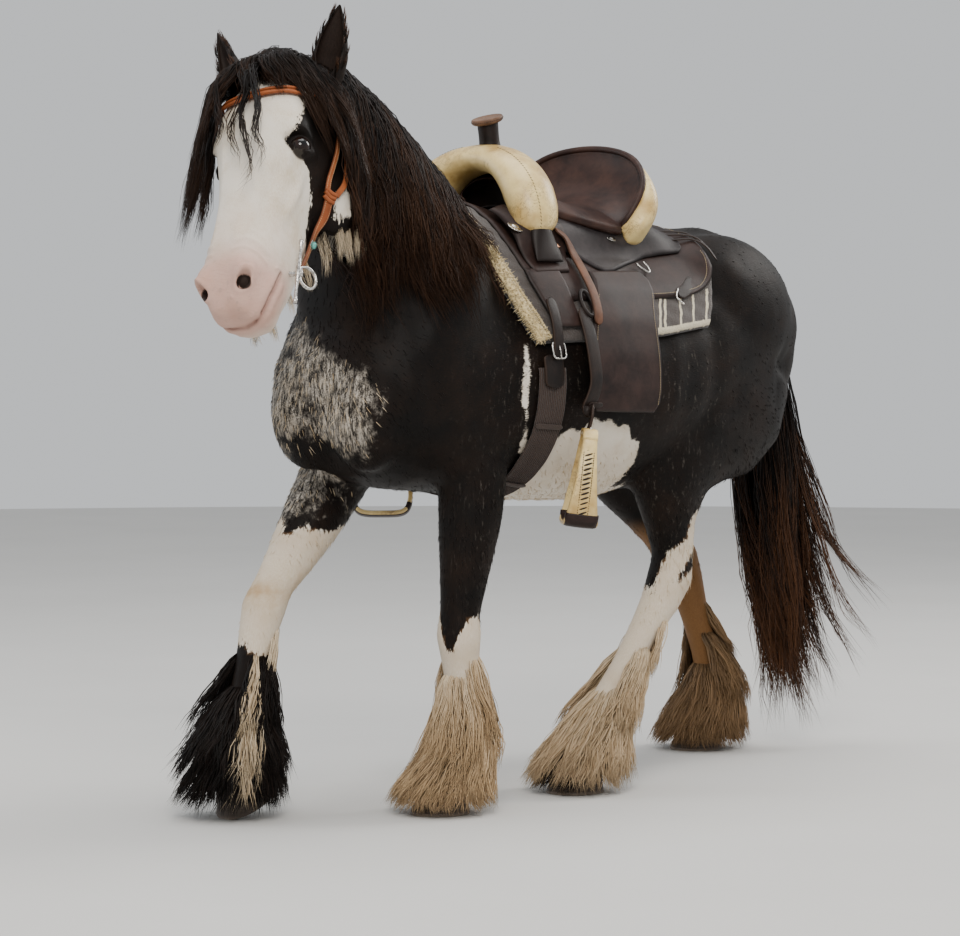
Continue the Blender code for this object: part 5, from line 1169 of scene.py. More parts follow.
def makeFeather(name, leg):
    # Near fore, off fore, near hind, off hind
    guides = []
    for tier in feather["tiers"][leg]:
        first, last, count = tier[4:]
        guides += [featherGuide(leg, tier, first + (last - first) * i / (count - 1) + chance.uniform(-4, 4))
                   for i in range(count)]

    def looks(lines, own):
        values = {"straw": np.full(len(own), feather["straw"][leg])}
        if leg < 3:
            values["tan"] = np.zeros(len(own))
        x, y, z = lines[:, 0].T
        middle = limbMiddle(leg, z)
        # Degrees from the front
        around = np.degrees(np.arctan2(x - middle[:, 0], middle[:, 1] - y))
        if leg == 1:
            # Black, with one thin white streak at its inner front
            values["white"] = (((np.abs(around - 62) < 11) & (z > 0.22)) | (z > 0.43)).astype(float)
        elif leg == 2:
            # Dark only low down at its front
            values["white"] = ((z > 0.14) | (np.abs(around) > 60)).astype(float)
        return values

    return hairPiece(name, guides, feather["hair"], looks)


for leg, name in enumerate(("featherForeLeft", "featherForeRight", "featherHindLeft", "featherHindRight")):
    made = makeFeather(name, leg)
print("feather grown:", trianglesOf(made), "triangles on the last leg")


# Mane: falls to both sides of the crest, longer towards the poll
mane = {
    # way: guides, length at the withers and at the poll, drift back
    "sides": {1: (72, 1.0, 0.07), -1: (40, 0.78, 0.08)},
    "lengths": [(0.06, 0.20), (0.15, 0.29), (0.35, 0.46), (0.65, 0.58), (1.0, 0.62)],
    "line": [0.10, 0.25, 0.42, 0.60, 0.80, 1.0], "lifts": (0.008, 0.018, 0.029), "reach": (0.06, 1.05),
    "widths": [0.026, 0.040, 0.054, 0.062, 0.064, 0.060, 0.048, 0.032],
    "hair": {"count": 58, "steps": 9, "shortest": 0.70, "tufts": 4, "clump": 0.74, "waves": 5.5,
             "wave": 0.0120,
             "loose": 0.0080, "thick": 0.0036, "lightEnds": 0.40},
}
crestLine = np.array([crest for crest, throat, halfWidth in body["neck"][:-1]])


def crestAt(share):
    place = 1 + share * 4.6
    i = int(min(max(math.floor(place), 0), len(crestLine) - 2))
    return Vector(crestLine[i] + (crestLine[i + 1] - crestLine[i]) * (place - i))


def sideOf(y, z, way, lift):
    place, normal, index, distance = skinTree.ray_cast(Vector((way, y, z)), Vector((-way, 0, 0)))
    if place is None:
        place, normal, index, distance = skinTree.find_nearest(Vector((way * 0.2, y, z)))
    return place + normal * lift, normal


def maneGuide(way, share, length, drift, lift):
    crest = crestAt(share)
    path = [crest + Vector((way * 0.004, 0, -0.020)), crest + Vector((way * 0.014, 0.002, lift * 0.75))]
    faces = [Vector((way * 0.25, 0, 1)), Vector((way * 0.6, 0, 1))]
    bend = chance.uniform(-0.02, 0.02)
    for part in mane["line"]:
        y = crest.y + drift * length * part + bend * math.sin(part * 5)
        place, normal = sideOf(y, crest.z - length * part, way, lift + 0.010 * part)
        if (place - path[-1]).length > length:
            break
        path.append(place)
        faces.append(normal)
    return {"path": path, "faces": faces, "widths": mane["widths"][:len(path)], "depth": 0.017}


def makeMane(name, way):
    count, scale, drift = mane["sides"][way]
    start, end = mane["reach"]
    guides = []
    for i in range(count):
        share = start + (end - start) * (i + chance.uniform(-0.4, 0.4)) / (count - 1)
        length = readAt(mane["lengths"], share) * scale * chance.uniform(0.80, 1.08)
        lean = drift - 0.35 * max(0.3 - share, 0) + chance.uniform(-0.10, 0.10)
        guides.append(maneGuide(way, share, length, lean, mane["lifts"][i % 3]))
    return hairPiece(name, guides, mane["hair"])


made = makeMane("maneLeft", 1)
makeMane("maneRight", -1)
print("mane grown:", trianglesOf(made), "triangles on the near side")

# Forelock, in the head's own frame: left, down, out along each lock, its widths and how many wisps
forelock = {
    "locks": [
        ([(-0.030, 0.010, -0.080), (-0.085, 0.050, 0.014), (-0.130, 0.130, 0.000), (-0.148, 0.270, -0.022),
          (-0.166, 0.440, -0.036)], [0.050, 0.062, 0.058, 0.036], 330),
        ([(-0.040, 0.012, -0.090), (-0.105, 0.055, -0.008), (-0.150, 0.140, -0.030), (-0.162, 0.270, -0.050),
          (-0.178, 0.460, -0.056)], [0.050, 0.062, 0.058, 0.036], 330),
        ([(-0.052, 0.012, -0.096), (-0.128, 0.046, -0.028), (-0.172, 0.130, -0.070), (-0.182, 0.260, -0.100),
          (-0.190, 0.400, -0.110)], [0.046, 0.056, 0.050, 0.034], 260),
        ([(-0.015, 0.010, -0.060), (-0.050, 0.045, 0.028), (-0.078, 0.100, 0.034), (-0.100, 0.160, 0.026),
          (-0.122, 0.240, 0.004)], [0.044, 0.046, 0.034, 0.018], 170),
        ([(-0.010, 0.008, -0.060), (-0.030, 0.040, 0.030), (-0.052, 0.090, 0.042), (-0.074, 0.130, 0.040),
          (-0.098, 0.170, 0.030)], [0.046, 0.052, 0.040, 0.022], 190),
        ([(0.000, 0.006, -0.060), (0.000, 0.034, 0.026), (0.002, 0.072, 0.040), (0.004, 0.105, 0.040),
          (0.006, 0.132, 0.030)], [0.050, 0.056, 0.050, 0.034], 190),
        ([(0.012, 0.006, -0.064), (0.038, 0.036, 0.018), (0.060, 0.075, 0.026), (0.078, 0.112, 0.016),
          (0.092, 0.150, -0.006)], [0.050, 0.056, 0.046, 0.026], 190),
        ([(0.020, 0.005, -0.080), (0.066, 0.036, 0.008), (0.104, 0.090, -0.020), (0.122, 0.150, -0.078),
          (0.134, 0.240, -0.160)], [0.046, 0.056, 0.052, 0.034], 260),
        ([(0.026, 0.002, -0.100), (0.080, 0.024, -0.028), (0.124, 0.080, -0.070), (0.140, 0.150, -0.140),
          (0.150, 0.260, -0.220)], [0.050, 0.060, 0.056, 0.036], 260),
        ([(0.030, -0.004, -0.120), (0.088, 0.014, -0.072), (0.132, 0.070, -0.130), (0.150, 0.150, -0.200),
          (0.158, 0.290, -0.285)], [0.050, 0.062, 0.060, 0.040], 260),
        ([(-0.006, 0.010, -0.050), (0.010, 0.085, 0.052), (0.032, 0.157, 0.052), (0.021, 0.204, 0.052),
          (0.039, 0.266, 0.050), (0.072, 0.333, 0.048), (0.078, 0.404, 0.046), (0.046, 0.449, 0.046)],
         [0.016, 0.013, 0.010, 0.010, 0.009, 0.007, 0.005], 30),
        ([(0.004, 0.010, -0.050), (0.034, 0.085, 0.054), (0.060, 0.170, 0.055), (0.075, 0.232, 0.055),
          (0.082, 0.299, 0.052), (0.106, 0.350, 0.048), (0.095, 0.406, 0.046)],
         [0.018, 0.013, 0.011, 0.010, 0.008, 0.006, 0.004], 26),
        ([(-0.014, 0.012, -0.040), (-0.002, 0.085, 0.046), (0.015, 0.143, 0.044), (-0.007, 0.229, 0.042),
          (0.021, 0.309, 0.042), (0.052, 0.370, 0.042)], [0.018, 0.014, 0.010, 0.009, 0.007, 0.004], 24),
        ([(-0.030, 0.012, -0.040), (-0.060, 0.085, 0.044), (-0.062, 0.160, 0.036), (-0.046, 0.215, 0.034),
          (-0.060, 0.280, 0.028)], [0.022, 0.020, 0.014, 0.008], 60)],
    "hair": {"count": 100, "steps": 9, "shortest": 0.60, "tufts": 9, "clump": 0.72, "waves": 6,
             "wave": 0.0075,
             "loose": 0.0055, "thick": 0.0023, "lightEnds": 0.25},
}


def headGuide(places, widths, count, depth=0.022):
    path = [headPoint(*place) for place in places]
    faces = [point - headPoint(0, place[1], -0.11) for point, place in zip(path, places)]
    return {"path": path, "faces": faces, "widths": widths, "depth": depth, "count": count}


def makeForelock():
    guides = [headGuide(*row) for row in forelock["locks"]]
    # A dome of hair over the poll, from behind the ears to the forehead
    for i in range(26):
        turn = chance.uniform(-1, 1)
        back = chance.uniform(-0.05, 0.03)
        side = abs(turn)
        places = [(turn * 0.030, back, -0.110), (turn * 0.055, back + 0.006, -0.030 - side * 0.02),
                  (turn * 0.085, 0.050, 0.012 - side * 0.04),
                  (turn * 0.105, 0.105 + side * 0.03, 0.016 - side * 0.07)]
        guides.append(headGuide(places, [0.040, 0.050, 0.044, 0.026], 60, 0.018))
    return hairPiece("forelock", guides, forelock["hair"])


made = makeForelock()
print("forelock grown:", trianglesOf(made), "triangles")

# Tail: from the dock down, some of it blown back
tail = {
    "dock": [(0.000, 0.800, 1.318, 0.030), (0.000, 0.842, 1.300, 0.036), (0.002, 0.880, 1.240, 0.034),
             (0.005, 0.892, 1.150, 0.030), (0.006, 0.896, 1.060, 0.022), (0.007, 0.898, 0.980, 0.010)],
    "tips": [
        # x, y, z of where hair ends, and how often
        ((-0.055, 0.955, 0.300), 5), ((0.015, 1.000, 0.055), 9), ((0.085, 0.985, 0.120), 8),
        ((0.095, 0.925, 0.300), 6), ((0.050, 1.055, 0.040), 8), ((0.030, 1.110, 0.080), 7),
        ((0.000, 0.940, 0.160), 8), ((0.040, 0.960, 0.240), 7),
        ((0.100, 1.345, 0.350), 2), ((0.090, 1.270, 0.240), 3), ((0.055, 1.190, 0.120), 4),
        ((0.070, 1.140, 0.300), 4)],
    # the dock's back by height, and how far back and how low hair reaches
    "back": [(1.0, 0.898), (1.15, 0.892), (1.24, 0.882), (1.30, 0.845)], "blownFrom": 1.13, "last": 1.345,
    "lowest": 0.03,
    "line": (0.0, 0.14, 0.30, 0.48, 0.66, 0.84, 1.0),
    "widths": {False: [0.030, 0.050, 0.060, 0.060, 0.050, 0.030],
               True: [0.022, 0.036, 0.040, 0.034, 0.024, 0.012]},
    "hair": {"count": 46, "steps": 10, "shortest": 0.66, "tufts": 4, "clump": 0.80, "waves": 3.2,
             "wave": 0.016,
             "loose": 0.012, "thick": 0.0034, "lightEnds": 1.0},
}


def makeTail():
    dock = tail["dock"]
    rings = []
    for i, (x, y, z, radius) in enumerate(dock):
        before, after = neighbours(dock, i)
        along = (Vector(after[:3]) - Vector(before[:3])).normalized()
        up = xAxis.cross(along).normalized()
        here = Vector((x, y, z))
        rings.append(section(here + up * radius, here - up * radius, xAxis, radius, count=24))
    stem = refined(loft("tailDock", rings))
    paint(stem, pointsOf(stem))
    finished(stem, shortCoat, ())
    guides = []
    tips = [tip for tip, often in tail["tips"] for i in range(often)]
    for tip in tips:
        z = chance.uniform(0.98, 1.29)
        blown = tip[1] > tail["blownFrom"]
        angle = math.radians(chance.uniform(-40, 60) if blown else chance.uniform(-140, 140))
        way = Vector((math.sin(angle), math.cos(angle), 0))
        root = Vector((0.005, readAt(tail["back"], z), z)) + way * 0.022
        end = Vector(tip) + Vector((chance.gauss(0, 0.020), chance.gauss(0, 0.020), chance.gauss(0, 0.04)))
        end.y, end.z = min(end.y, tail["last"]), max(end.z, tail["lowest"])
        path = []
        for share in tail["line"]:
            aside = share ** 2.2
            bulge = way * (0.046 * math.sin(math.pi * min(share * 1.25, 1.0)) ** 0.8)
            path.append(Vector((root.x + (end.x - root.x) * aside, root.y + (end.y - root.y) * aside,
                                root.z + (end.z - root.z) * share ** 0.92)) + bulge)
        guides.append({"path": path, "faces": [way] * len(path), "depth": 0.034,
                       "widths": tail["widths"][blown]})
    return hairPiece("tailHair", guides, tail["hair"], nodes=("tail",))


made = makeTail()
print("tail grown:", trianglesOf(made), "triangles")

# Beard, jaw hair and the fringe of the ears
whiskers = {
    "locks": [
        ([(0.020, 0.620, -0.150), (0.022, 0.650, -0.180), (0.026, 0.680, -0.192)], [0.028, 0.022, 0.010], 60),
        ([(-0.018, 0.618, -0.150), (-0.020, 0.650, -0.180), (-0.018, 0.676, -0.196)], [0.028, 0.022, 0.010],
         60),
        ([(0.030, 0.520, -0.170), (0.034, 0.556, -0.200), (0.038, 0.598, -0.222)], [0.030, 0.022, 0.010], 50),
        ([(-0.026, 0.505, -0.170), (-0.030, 0.546, -0.202), (-0.026, 0.590, -0.226)], [0.030, 0.022, 0.010],
         50),
        ([(0.034, 0.420, -0.205), (0.040, 0.462, -0.232), (0.044, 0.512, -0.252)], [0.034, 0.024, 0.010], 60),
        ([(0.050, 0.350, -0.245), (0.056, 0.395, -0.272), (0.058, 0.450, -0.286)], [0.040, 0.030, 0.012], 70),
        ([(0.060, 0.280, -0.280), (0.074, 0.330, -0.306), (0.078, 0.400, -0.326)], [0.050, 0.044, 0.024],
         130),
        ([(0.070, 0.240, -0.290), (0.086, 0.300, -0.314), (0.090, 0.385, -0.334)], [0.050, 0.044, 0.024],
         130),
        ([(0.064, 0.200, -0.300), (0.084, 0.262, -0.326), (0.092, 0.360, -0.350)], [0.050, 0.044, 0.026],
         130),
        ([(0.072, 0.310, -0.255), (0.082, 0.352, -0.276), (0.082, 0.410, -0.292)], [0.044, 0.036, 0.020], 90),
        ([(-0.050, 0.300, -0.280), (-0.056, 0.350, -0.308), (-0.058, 0.420, -0.324)], [0.044, 0.034, 0.014],
         70),
        ([(-0.050, 0.380, -0.235), (-0.054, 0.430, -0.262), (-0.056, 0.490, -0.276)], [0.036, 0.026, 0.012],
         60)],
    "hair": {"count": 60, "steps": 6, "shortest": 0.5, "tufts": 7, "clump": 0.75, "waves": 7, "wave": 0.0035,
             "loose": 0.0070, "thick": 0.0010},
    # how the fringe of the ears differs, and how many locks each ear has
    "ears": {"count": 17, "wave": 0.0010, "loose": 0.0018, "lightEnds": 0.9}, "earLocks": 34,
    "whiteShare": 0.86,
}


def makeWhiskers():
    def looks(lines, own):
        count = len(own)
        return {"straw": draws.uniform(0, 0.15, count), "tone": draws.uniform(0.6, 1.0, count),
                "white": (draws.uniform(0, 1, count) < whiskers["whiteShare"]).astype(float)}

    guides = [headGuide(*lock, 0.016) for lock in whiskers["locks"]]
    return hairPiece("jawHair", guides, whiskers["hair"], looks)


def makeEarHair():
    guides = []
    for way in (1, -1):
        for i in range(whiskers["earLocks"]):
            share = chance.uniform(-0.04, 0.86)
            edge = chance.choice((-1, 1))
            turn = edge * (178 - readAt(ear["gaps"], share) - chance.uniform(0, 30))
            root = earPoint(way, share, turn, 0.003)
            over = earPoint(way, min(share + 0.10, 1.0), turn * 1.02, -0.004)
            tip = earPoint(way, min(share + 0.20, 1.03), turn * 1.05, -0.009)
            faces = [(tip - root).cross(headDown).normalized()] * 3
            widths = [0.016, 0.012, 0.004]
            guides.append({"path": [root, over, tip], "faces": faces, "widths": widths, "depth": 0.004})
    return hairPiece("earHair", guides, dict(whiskers["hair"], **whiskers["ears"]))


makeWhiskers()
makeEarHair()


# Short tufts where the coat breaks the body's outline, smallest on the face, none on the feet
shortTufts = {
    # middle, radii, weight, length
    "zones": [
        ((0.0, -0.80, 1.00), (0.32, 0.20, 0.32), 1.0, 0.020),
        ((0.0, -0.10, 0.80), (0.28, 0.55, 0.14), 1.2, 0.022),
        ((0.16, -0.46, 0.70), (0.14, 0.14, 0.26), 1.0, 0.020),
        ((-0.16, -0.60, 0.72), (0.14, 0.20, 0.24), 1.0, 0.020),
        ((0.16, 0.52, 0.86), (0.20, 0.20, 0.34), 0.9, 0.018),
        ((-0.16, 0.66, 0.86), (0.20, 0.20, 0.34), 0.9, 0.018),
        ((0.0, 0.62, 1.20), (0.34, 0.26, 0.24), 0.35, 0.012),
        ((0.0, -0.62, 1.30), (0.26, 0.26, 0.24), 0.6, 0.018),
        ((0.22, 0.28, 0.60), (0.10, 0.16, 0.20), 0.9, 0.020),
        ((-0.20, 0.70, 0.56), (0.10, 0.16, 0.20), 0.9, 0.020)],
    "everywhere": 0.07, "length": 0.012, "faceLength": 0.009, "count": 8600, "thick": 0.0014, "steps": 4,
    "widths": [[1.0, 0.95, 0.6, 0.06]],
}


def makeShortTufts():
    points, normals = skinPoints, skinNormals
    steps, count = shortTufts["steps"], shortTufts["count"]
    weight, length = (np.full(len(points), shortTufts[key]) for key in ("everywhere", "length"))
    for middle, radii, share, reach in shortTufts["zones"]:
        near = np.clip(1.25 - np.linalg.norm((points - middle) / radii, axis=1), 0, 1)
        weight = np.maximum(weight, near * share)
        length = np.maximum(length, shortTufts["length"] + (reach - shortTufts["length"]) * near)
    local, onHead = inHead(points), skinOnHead > 0.5
    weight *= np.where(onHead, np.where(local[:, 2] < -0.16, 0.8, 0.0), 1.0)
    length = np.where(onHead, shortTufts["faceLength"], length)
    weight *= smoothStep(0.36, 0.46, points[:, 2])
    # Skin vertices lie closer together where the skin is finer
    faces = np.zeros(len(points))
    for face in skin.data.polygons:
        for corner in face.vertices:
            faces[corner] += face.area / len(face.vertices)
    weight *= faces
    picked = draws.choice(len(points), count, p=weight / weight.sum())
    out = normals[picked]
    roots = points[picked] - out * 0.001
    # The coat lies back and down on the body, down on the legs and towards the muzzle on the head
    lowShare = smoothStep(0.95, 0.75, roots[:, 2])[:, None]
    flow = np.array([0.0, 0.75, -0.65]) * (1 - lowShare) + np.array([0.0, 0.25, -1.0]) * lowShare
    flow = np.where(onHead[picked][:, None], np.array(headDown) * 0.8 - np.array(headOut) * 0.5, flow)
    flow = flow + draws.normal(0, 0.16, flow.shape)
    flow -= out * (flow * out).sum(1, keepdims=True)
    flow /= np.maximum(np.linalg.norm(flow, axis=1, keepdims=True), 1e-6)
    reach = (length[picked] * draws.uniform(0.6, 1.3, count))[:, None, None]
    t = np.linspace(0, 1, steps)[None, :, None]
    lift = draws.uniform(0.05, 0.30, count)[:, None, None]
    rise = 0.001 + reach * lift * t * (1.25 - 0.55 * t)
    lines = roots[:, None] + flow[:, None] * t * reach + out[:, None] * rise
    widths = shortTufts["thick"] * draws.uniform(0.6, 1.3, count)[:, None] * np.array(shortTufts["widths"])
    marks = markings(roots)
    white = np.maximum(marks["white"], (draws.uniform(0, 1, count) < (marks["roan"] - 0.4) * 0.8) * 1.0)
    values = {"white": white, "tan": marks["tan"], "tone": draws.uniform(0, 0.8, count),
              "straw": np.zeros(count), "lightEnds": np.zeros(count)}
    piece = makeWisps("shortTufts", lines, np.repeat(out[:, None], steps, 1), widths, 0.5, values)
    return finished(piece, longHair, (), smooth=False)


made = makeShortTufts()
print("short tufts:", trianglesOf(made), "triangles")


# Tack: small tools for straps, tubes, turned pieces and layers over the back

def tangentAt(points, i, closed):
    if closed:
        return (points[(i + 1) % len(points)] - points[i - 1]).normalized()
    before, after = neighbours(points, i)
    return (Vector(after) - Vector(before)).normalized()


def tube(name, points, radius, corners=8, closed=False, flat=1.0, up=None):
    points = [Vector(p) for p in points]
    radii = radius if isinstance(radius, list) else [radius] * len(points)
    rings, side = [], None
    for i, (point, reach) in enumerate(zip(points, radii)):
        along = tangentAt(points, i, closed)
        if up:
            side = along.cross(up[i])
        elif side is None:
            side = along.orthogonal()
        side = (side - along * side.dot(along)).normalized()
        rings.append(roundPath(point, side, side.cross(along), reach, reach * flat, corners))
    return loft(name, rings, closed)


# A strap's outline: across from -1 to 1, and up as a share of its thickness
strapShape = [(-1, 0.3), (-0.94, 0.86), (-0.80, 1.0), (-0.4, 1.06), (0, 1.08), (0.4, 1.06), (0.80, 1.0),
              (0.94, 0.86),
              (1, 0.3), (0.94, 0.0), (0, 0.0), (-0.94, 0.0)]


def strap(name, row, width, thick, closed=False, steps=8, taper=None):
    # A flat strap with rounded edges over a row of (point, normal); "edge" is 0 in its middle and 1 at its
    # sides
    points, normals = zip(*row)
    if not closed:
        count = (len(points) - 1) * steps + 1
        points, normals = curveThrough(points, count), curveThrough(normals, count)
    points = [Vector(p) for p in points]
    count = len(points)
    rings = []
    for i, point in enumerate(points):
        along = tangentAt(points, i, closed)
        across = along.cross(Vector(normals[i])).normalized()
        up = across.cross(along)
        half = (width[i] if isinstance(width, list) else width) / 2
        toEnd = min(i, count - 1 - i)
        if taper and toEnd < taper:
            half *= math.sqrt(max(1 - (1 - toEnd / taper) ** 2, 0.02))
        rings.append([point + across * (a * half) + up * (b * thick) for a, b in strapShape])
    made = loft(name, rings, closed, weld=0)
    addValues(made, "edge", [abs(a) for ring in rings for a, b in strapShape])
    return tidyMesh(made)


def lathe(name, profile, place, axis, segments, flutes=0, depth=0.0):
    # Profile: radius and height along the axis. Flutes scallop its outline
    turn = axis.normalized().to_track_quat("Z", "Y").to_matrix().to_4x4()
    rings = []
    for radius, height in profile:
        ring = []
        for i in range(segments):
            a = 2 * math.pi * i / segments
            r = max(radius, 0.00004) * (1 + depth * math.cos(flutes * a) * min(1.0, radius / profile[0][0]))
            ring.append(Matrix.Translation(place) @ turn @ Vector((math.cos(a) * r, math.sin(a) * r, height)))
        rings.append(ring)
    return loft(name, rings)


def drapeAt(y, degrees, lift):
    a = math.radians(degrees)
    way = Vector((math.sin(a), 0, math.cos(a)))
    hit, normal, index, distance = skinTree.ray_cast(Vector((0, y, 1.08)) + way * 1.5, -way)
    out = way * 0.6 + normal * 0.4
    out.y = 0
    return hit + out.normalized() * (lift + body["coatDepth"])


# Metres over the back to one degree
arc = 0.0052


def edgeFull(near, edge):
    # How full a sheet is near its rounded edge, from 0.3 at the edge to 1
    return 0.30 + 0.70 * math.sqrt(max(1 - (1 - min(near / edge, 1)) ** 2, 0))


def sheetMesh(name, inner, outer, across, along, values):
    # A sheet of two faces and a rim; both faces are grids of across by along
    row, half = along + 1, len(inner)
    faces = []
    for i in range(across):
        for j in range(along):
            a, b = i * row + j, (i + 1) * row + j
            faces += [(a, b, b + 1, a + 1), (half + a, half + a + 1, half + b + 1, half + b)]
        a, b = i * row, (i + 1) * row
        faces += [(a, half + a, half + b, b), (a + along, b + along, half + b + along, half + a + along)]
    for j in range(along):
        a, b = j, across * row + j
        faces += [(a, a + 1, half + a + 1, half + a), (b, half + b, half + b + 1, b + 1)]
    made = newObject(name, inner + outer, faces)
    for key, numbers in values.items():
        addValues(made, key, numbers + numbers)
    return made


def layer(name, low, high, front, back, lift, thick, across, along, edge, crown=None, limit=None, extra=None):
    # A sheet of leather or wool over the back with a rounded edge. low and high are degrees from straight up
    overTop = low * high < 0
    middle, far = (0, 0) if overTop else sorted((low, high), key=abs)
    inner, outer, values = [], [], {"edge": [], "fromBack": [], "fromLow": []}
    for i in range(across + 1):
        for j in range(along + 1):
            b = j / along
            squeeze = limit(b) if limit else 1.0
            degrees = middle + (low + (high - low) * (i / across) - middle) * squeeze
            y0, y1 = front(degrees), back(degrees)
            y = y0 + (y1 - y0) * b
            if overTop:
                fromLow, top = min(high * squeeze - degrees, degrees - low * squeeze) * arc, 9.0
            else:
                top = abs(degrees - middle) * arc
                fromLow = (abs(far - middle) * squeeze - abs(degrees - middle)) * arc
            near = max(min(fromLow, top, y - y0, y1 - y), 0)
            rise = thick + (crown(degrees, b) if crown else 0)
            start = lift + (extra(y, degrees) if extra else 0)
            inner.append(drapeAt(y, degrees, start))
            outer.append(drapeAt(y, degrees, start + rise * edgeFull(near, edge)))
            values["edge"].append(near)
            values["fromBack"].append(y1 - y)
            values["fromLow"].append(fromLow)
    return tidyMesh(sheetMesh(name, inner, outer, across, along, values), 0)


def sideLayer(name, way, top, foot, front, back, lift, thick, across, along, nodes=(), extra=None):
    # Dark leather on one side, from top to foot in degrees
    low, high = sorted((way * top, way * foot))
    piece = layer(name, low, high, front, back, lift, thick, across, along, 0.006, extra=extra)
    return finished(piece, darkLeather, nodes)


class FormTree(Finish):
    # A Geometry Nodes tree with named inputs; the object that carries it becomes a plain mesh
    def __init__(self, name, inputs):
        self.tree = bpy.data.node_groups.new(name, "GeometryNodeTree")
        self.sockets = {}
        self.tree.interface.new_socket("Geometry", in_out="INPUT", socket_type="NodeSocketGeometry")
        for key, kind in inputs.items():
            made = self.tree.interface.new_socket(key, in_out="INPUT", socket_type="NodeSocket" + kind)
            self.sockets[key] = made.identifier
        self.tree.interface.new_socket("Geometry", in_out="OUTPUT", socket_type="NodeSocketGeometry")
        self.start = self.tree.nodes.new("NodeGroupInput")
        self.end = self.tree.nodes.new("NodeGroupOutput")

    def given(self, key):
        return Value(self, self.start.outputs[key])

    def close(self, geometry):
        real = self.node("GeometryNodeRealizeInstances", {}, {"Geometry": geometry})
        done = self.node("GeometryNodeSetMaterial", {},
                         {"Geometry": real, "Material": self.given("Material")})
        self.tree.links.new(done.socket, self.end.inputs["Geometry"])
        return self

    def use(self, piece, **inputs):
        form = piece.modifiers.new("form", "NODES")
        form.node_group = self.tree
        for key, value in inputs.items():
            form[self.sockets[key]] = value
        return applied(piece)


def makeStitchTree():
    t = FormTree("stitchesAlongPath",
                 {"Spacing": "Float", "Size": "Vector", "Lift": "Float", "Slant": "Float",
                                       "Material": "Material"})
    curve = t.node("GeometryNodeMeshToCurve", {}, {"Mesh": t.given("Geometry")})
    points = t.node("GeometryNodeResampleCurve", {"mode": "LENGTH"},
                    {"Curve": curve, "Length": t.given("Spacing")})
    seed = t.node("GeometryNodeMeshIcoSphere", {}, {"Radius": 0.5, "Subdivisions": 2})
    stitch = t.node("GeometryNodeTransform", {}, {"Geometry": seed, "Scale": t.given("Size")})
    up = t.node("GeometryNodeInputNamedAttribute", {"data_type": "FLOAT_VECTOR"}, {"Name": "up"})
    tangent = t.node("GeometryNodeInputTangent", {}, {})
    align = "FunctionNodeAlignRotationToVector"
    turn = t.node(align, {"axis": "X"}, {"Vector": tangent})
    turn = t.node(align, {"axis": "Z", "pivot_axis": "X"}, {"Rotation": turn, "Vector": up})
    twist = t.node("ShaderNodeCombineXYZ", {}, {"Z": t.given("Slant")})
    turn = t.node("FunctionNodeRotateRotation", {"rotation_space": "LOCAL"},
                  {"Rotation": turn, "Rotate By": twist})
    lift = t.node("ShaderNodeVectorMath", {"operation": "SCALE"}, {0: up, "Scale": t.given("Lift")})
    raised = t.node("GeometryNodeSetPosition", {}, {"Geometry": points, "Offset": lift})
    placed = t.node("GeometryNodeInstanceOnPoints", {},
                    {"Points": raised, "Instance": stitch, "Rotation": turn})
    return t.close(placed)


stitchTree = makeStitchTree()


def stitches(name, rows, spacing, size, surface, lift=0.0002, slant=0.0, steps=12):
    # rows: lists of (point, normal) that the stitches follow
    verts, edges, ups = [], [], []
    for row in rows:
        points, normals = (curveThrough(part, len(row) * steps) for part in zip(*row))
        edges += [(len(verts) + i, len(verts) + i + 1) for i in range(len(points) - 1)]
        verts += [tuple(p) for p in points]
        ups += list(normals / np.linalg.norm(normals, axis=1, keepdims=True))
    path = newObject(name, verts, [], edges)
    ways = path.data.attributes.new("up", "FLOAT_VECTOR", "POINT")
    ways.data.foreach_set("vector", np.asarray(ups, np.float32).ravel())
    stitchTree.use(path, Spacing=spacing, Size=size, Lift=lift, Slant=slant, Material=surface)
    return finished(path, surface, ())


# Stitch sizes: length, width and height
fineStitch, strapStitch = (0.0042, 0.0012, 0.0009), (0.0036, 0.0011, 0.0009)


def placeAt(y, degrees, lift):
    # A point over the back and the way up from it
    low, high = drapeAt(y, degrees, lift), drapeAt(y, degrees, lift + 0.01)
    return low, (high - low).normalized()


def edgeRow(degrees, ys, lift):
    return [placeAt(y, d, lift) for d, y in zip(degrees, ys)]


# Finishes of the tack

def leatherFinish(name, dark, light, roughness, grain=420, edgeTint=None, strapEdge=False):
    f = Finish(name, roughness, Specular_IOR_Level=0.20)
    cells = f.cells(grain, "DISTANCE_TO_EDGE")
    blotch = f.noise(14, 4, 0.6)
    crease = f.noise(34, 5, 0.65, 1.2)
    tint = f.mix(dark, light, (blotch * 0.8 + crease * 0.4).step(0.35, 0.85))
    scuff = f.noise(110, 4, 0.7).step(0.60, 0.72)
    tint = f.mix(tint, light, scuff * 0.35)
    if edgeTint:
        edge = f.attribute("edge")
        edge = edge.step(0.80, 0.97) if strapEdge else 1.0 - edge.step(0.0005, 0.004)
        tint = f.mix(tint, edgeTint, edge * 0.8)
    height = cells.smallest(0.25) * 0.9 + crease * 0.6
    return f.wire(Base_Color=tint, Roughness=roughness + blotch * 0.16 - scuff * 0.05,
                  Normal=f.bump(height, 0.0009, 0.45))


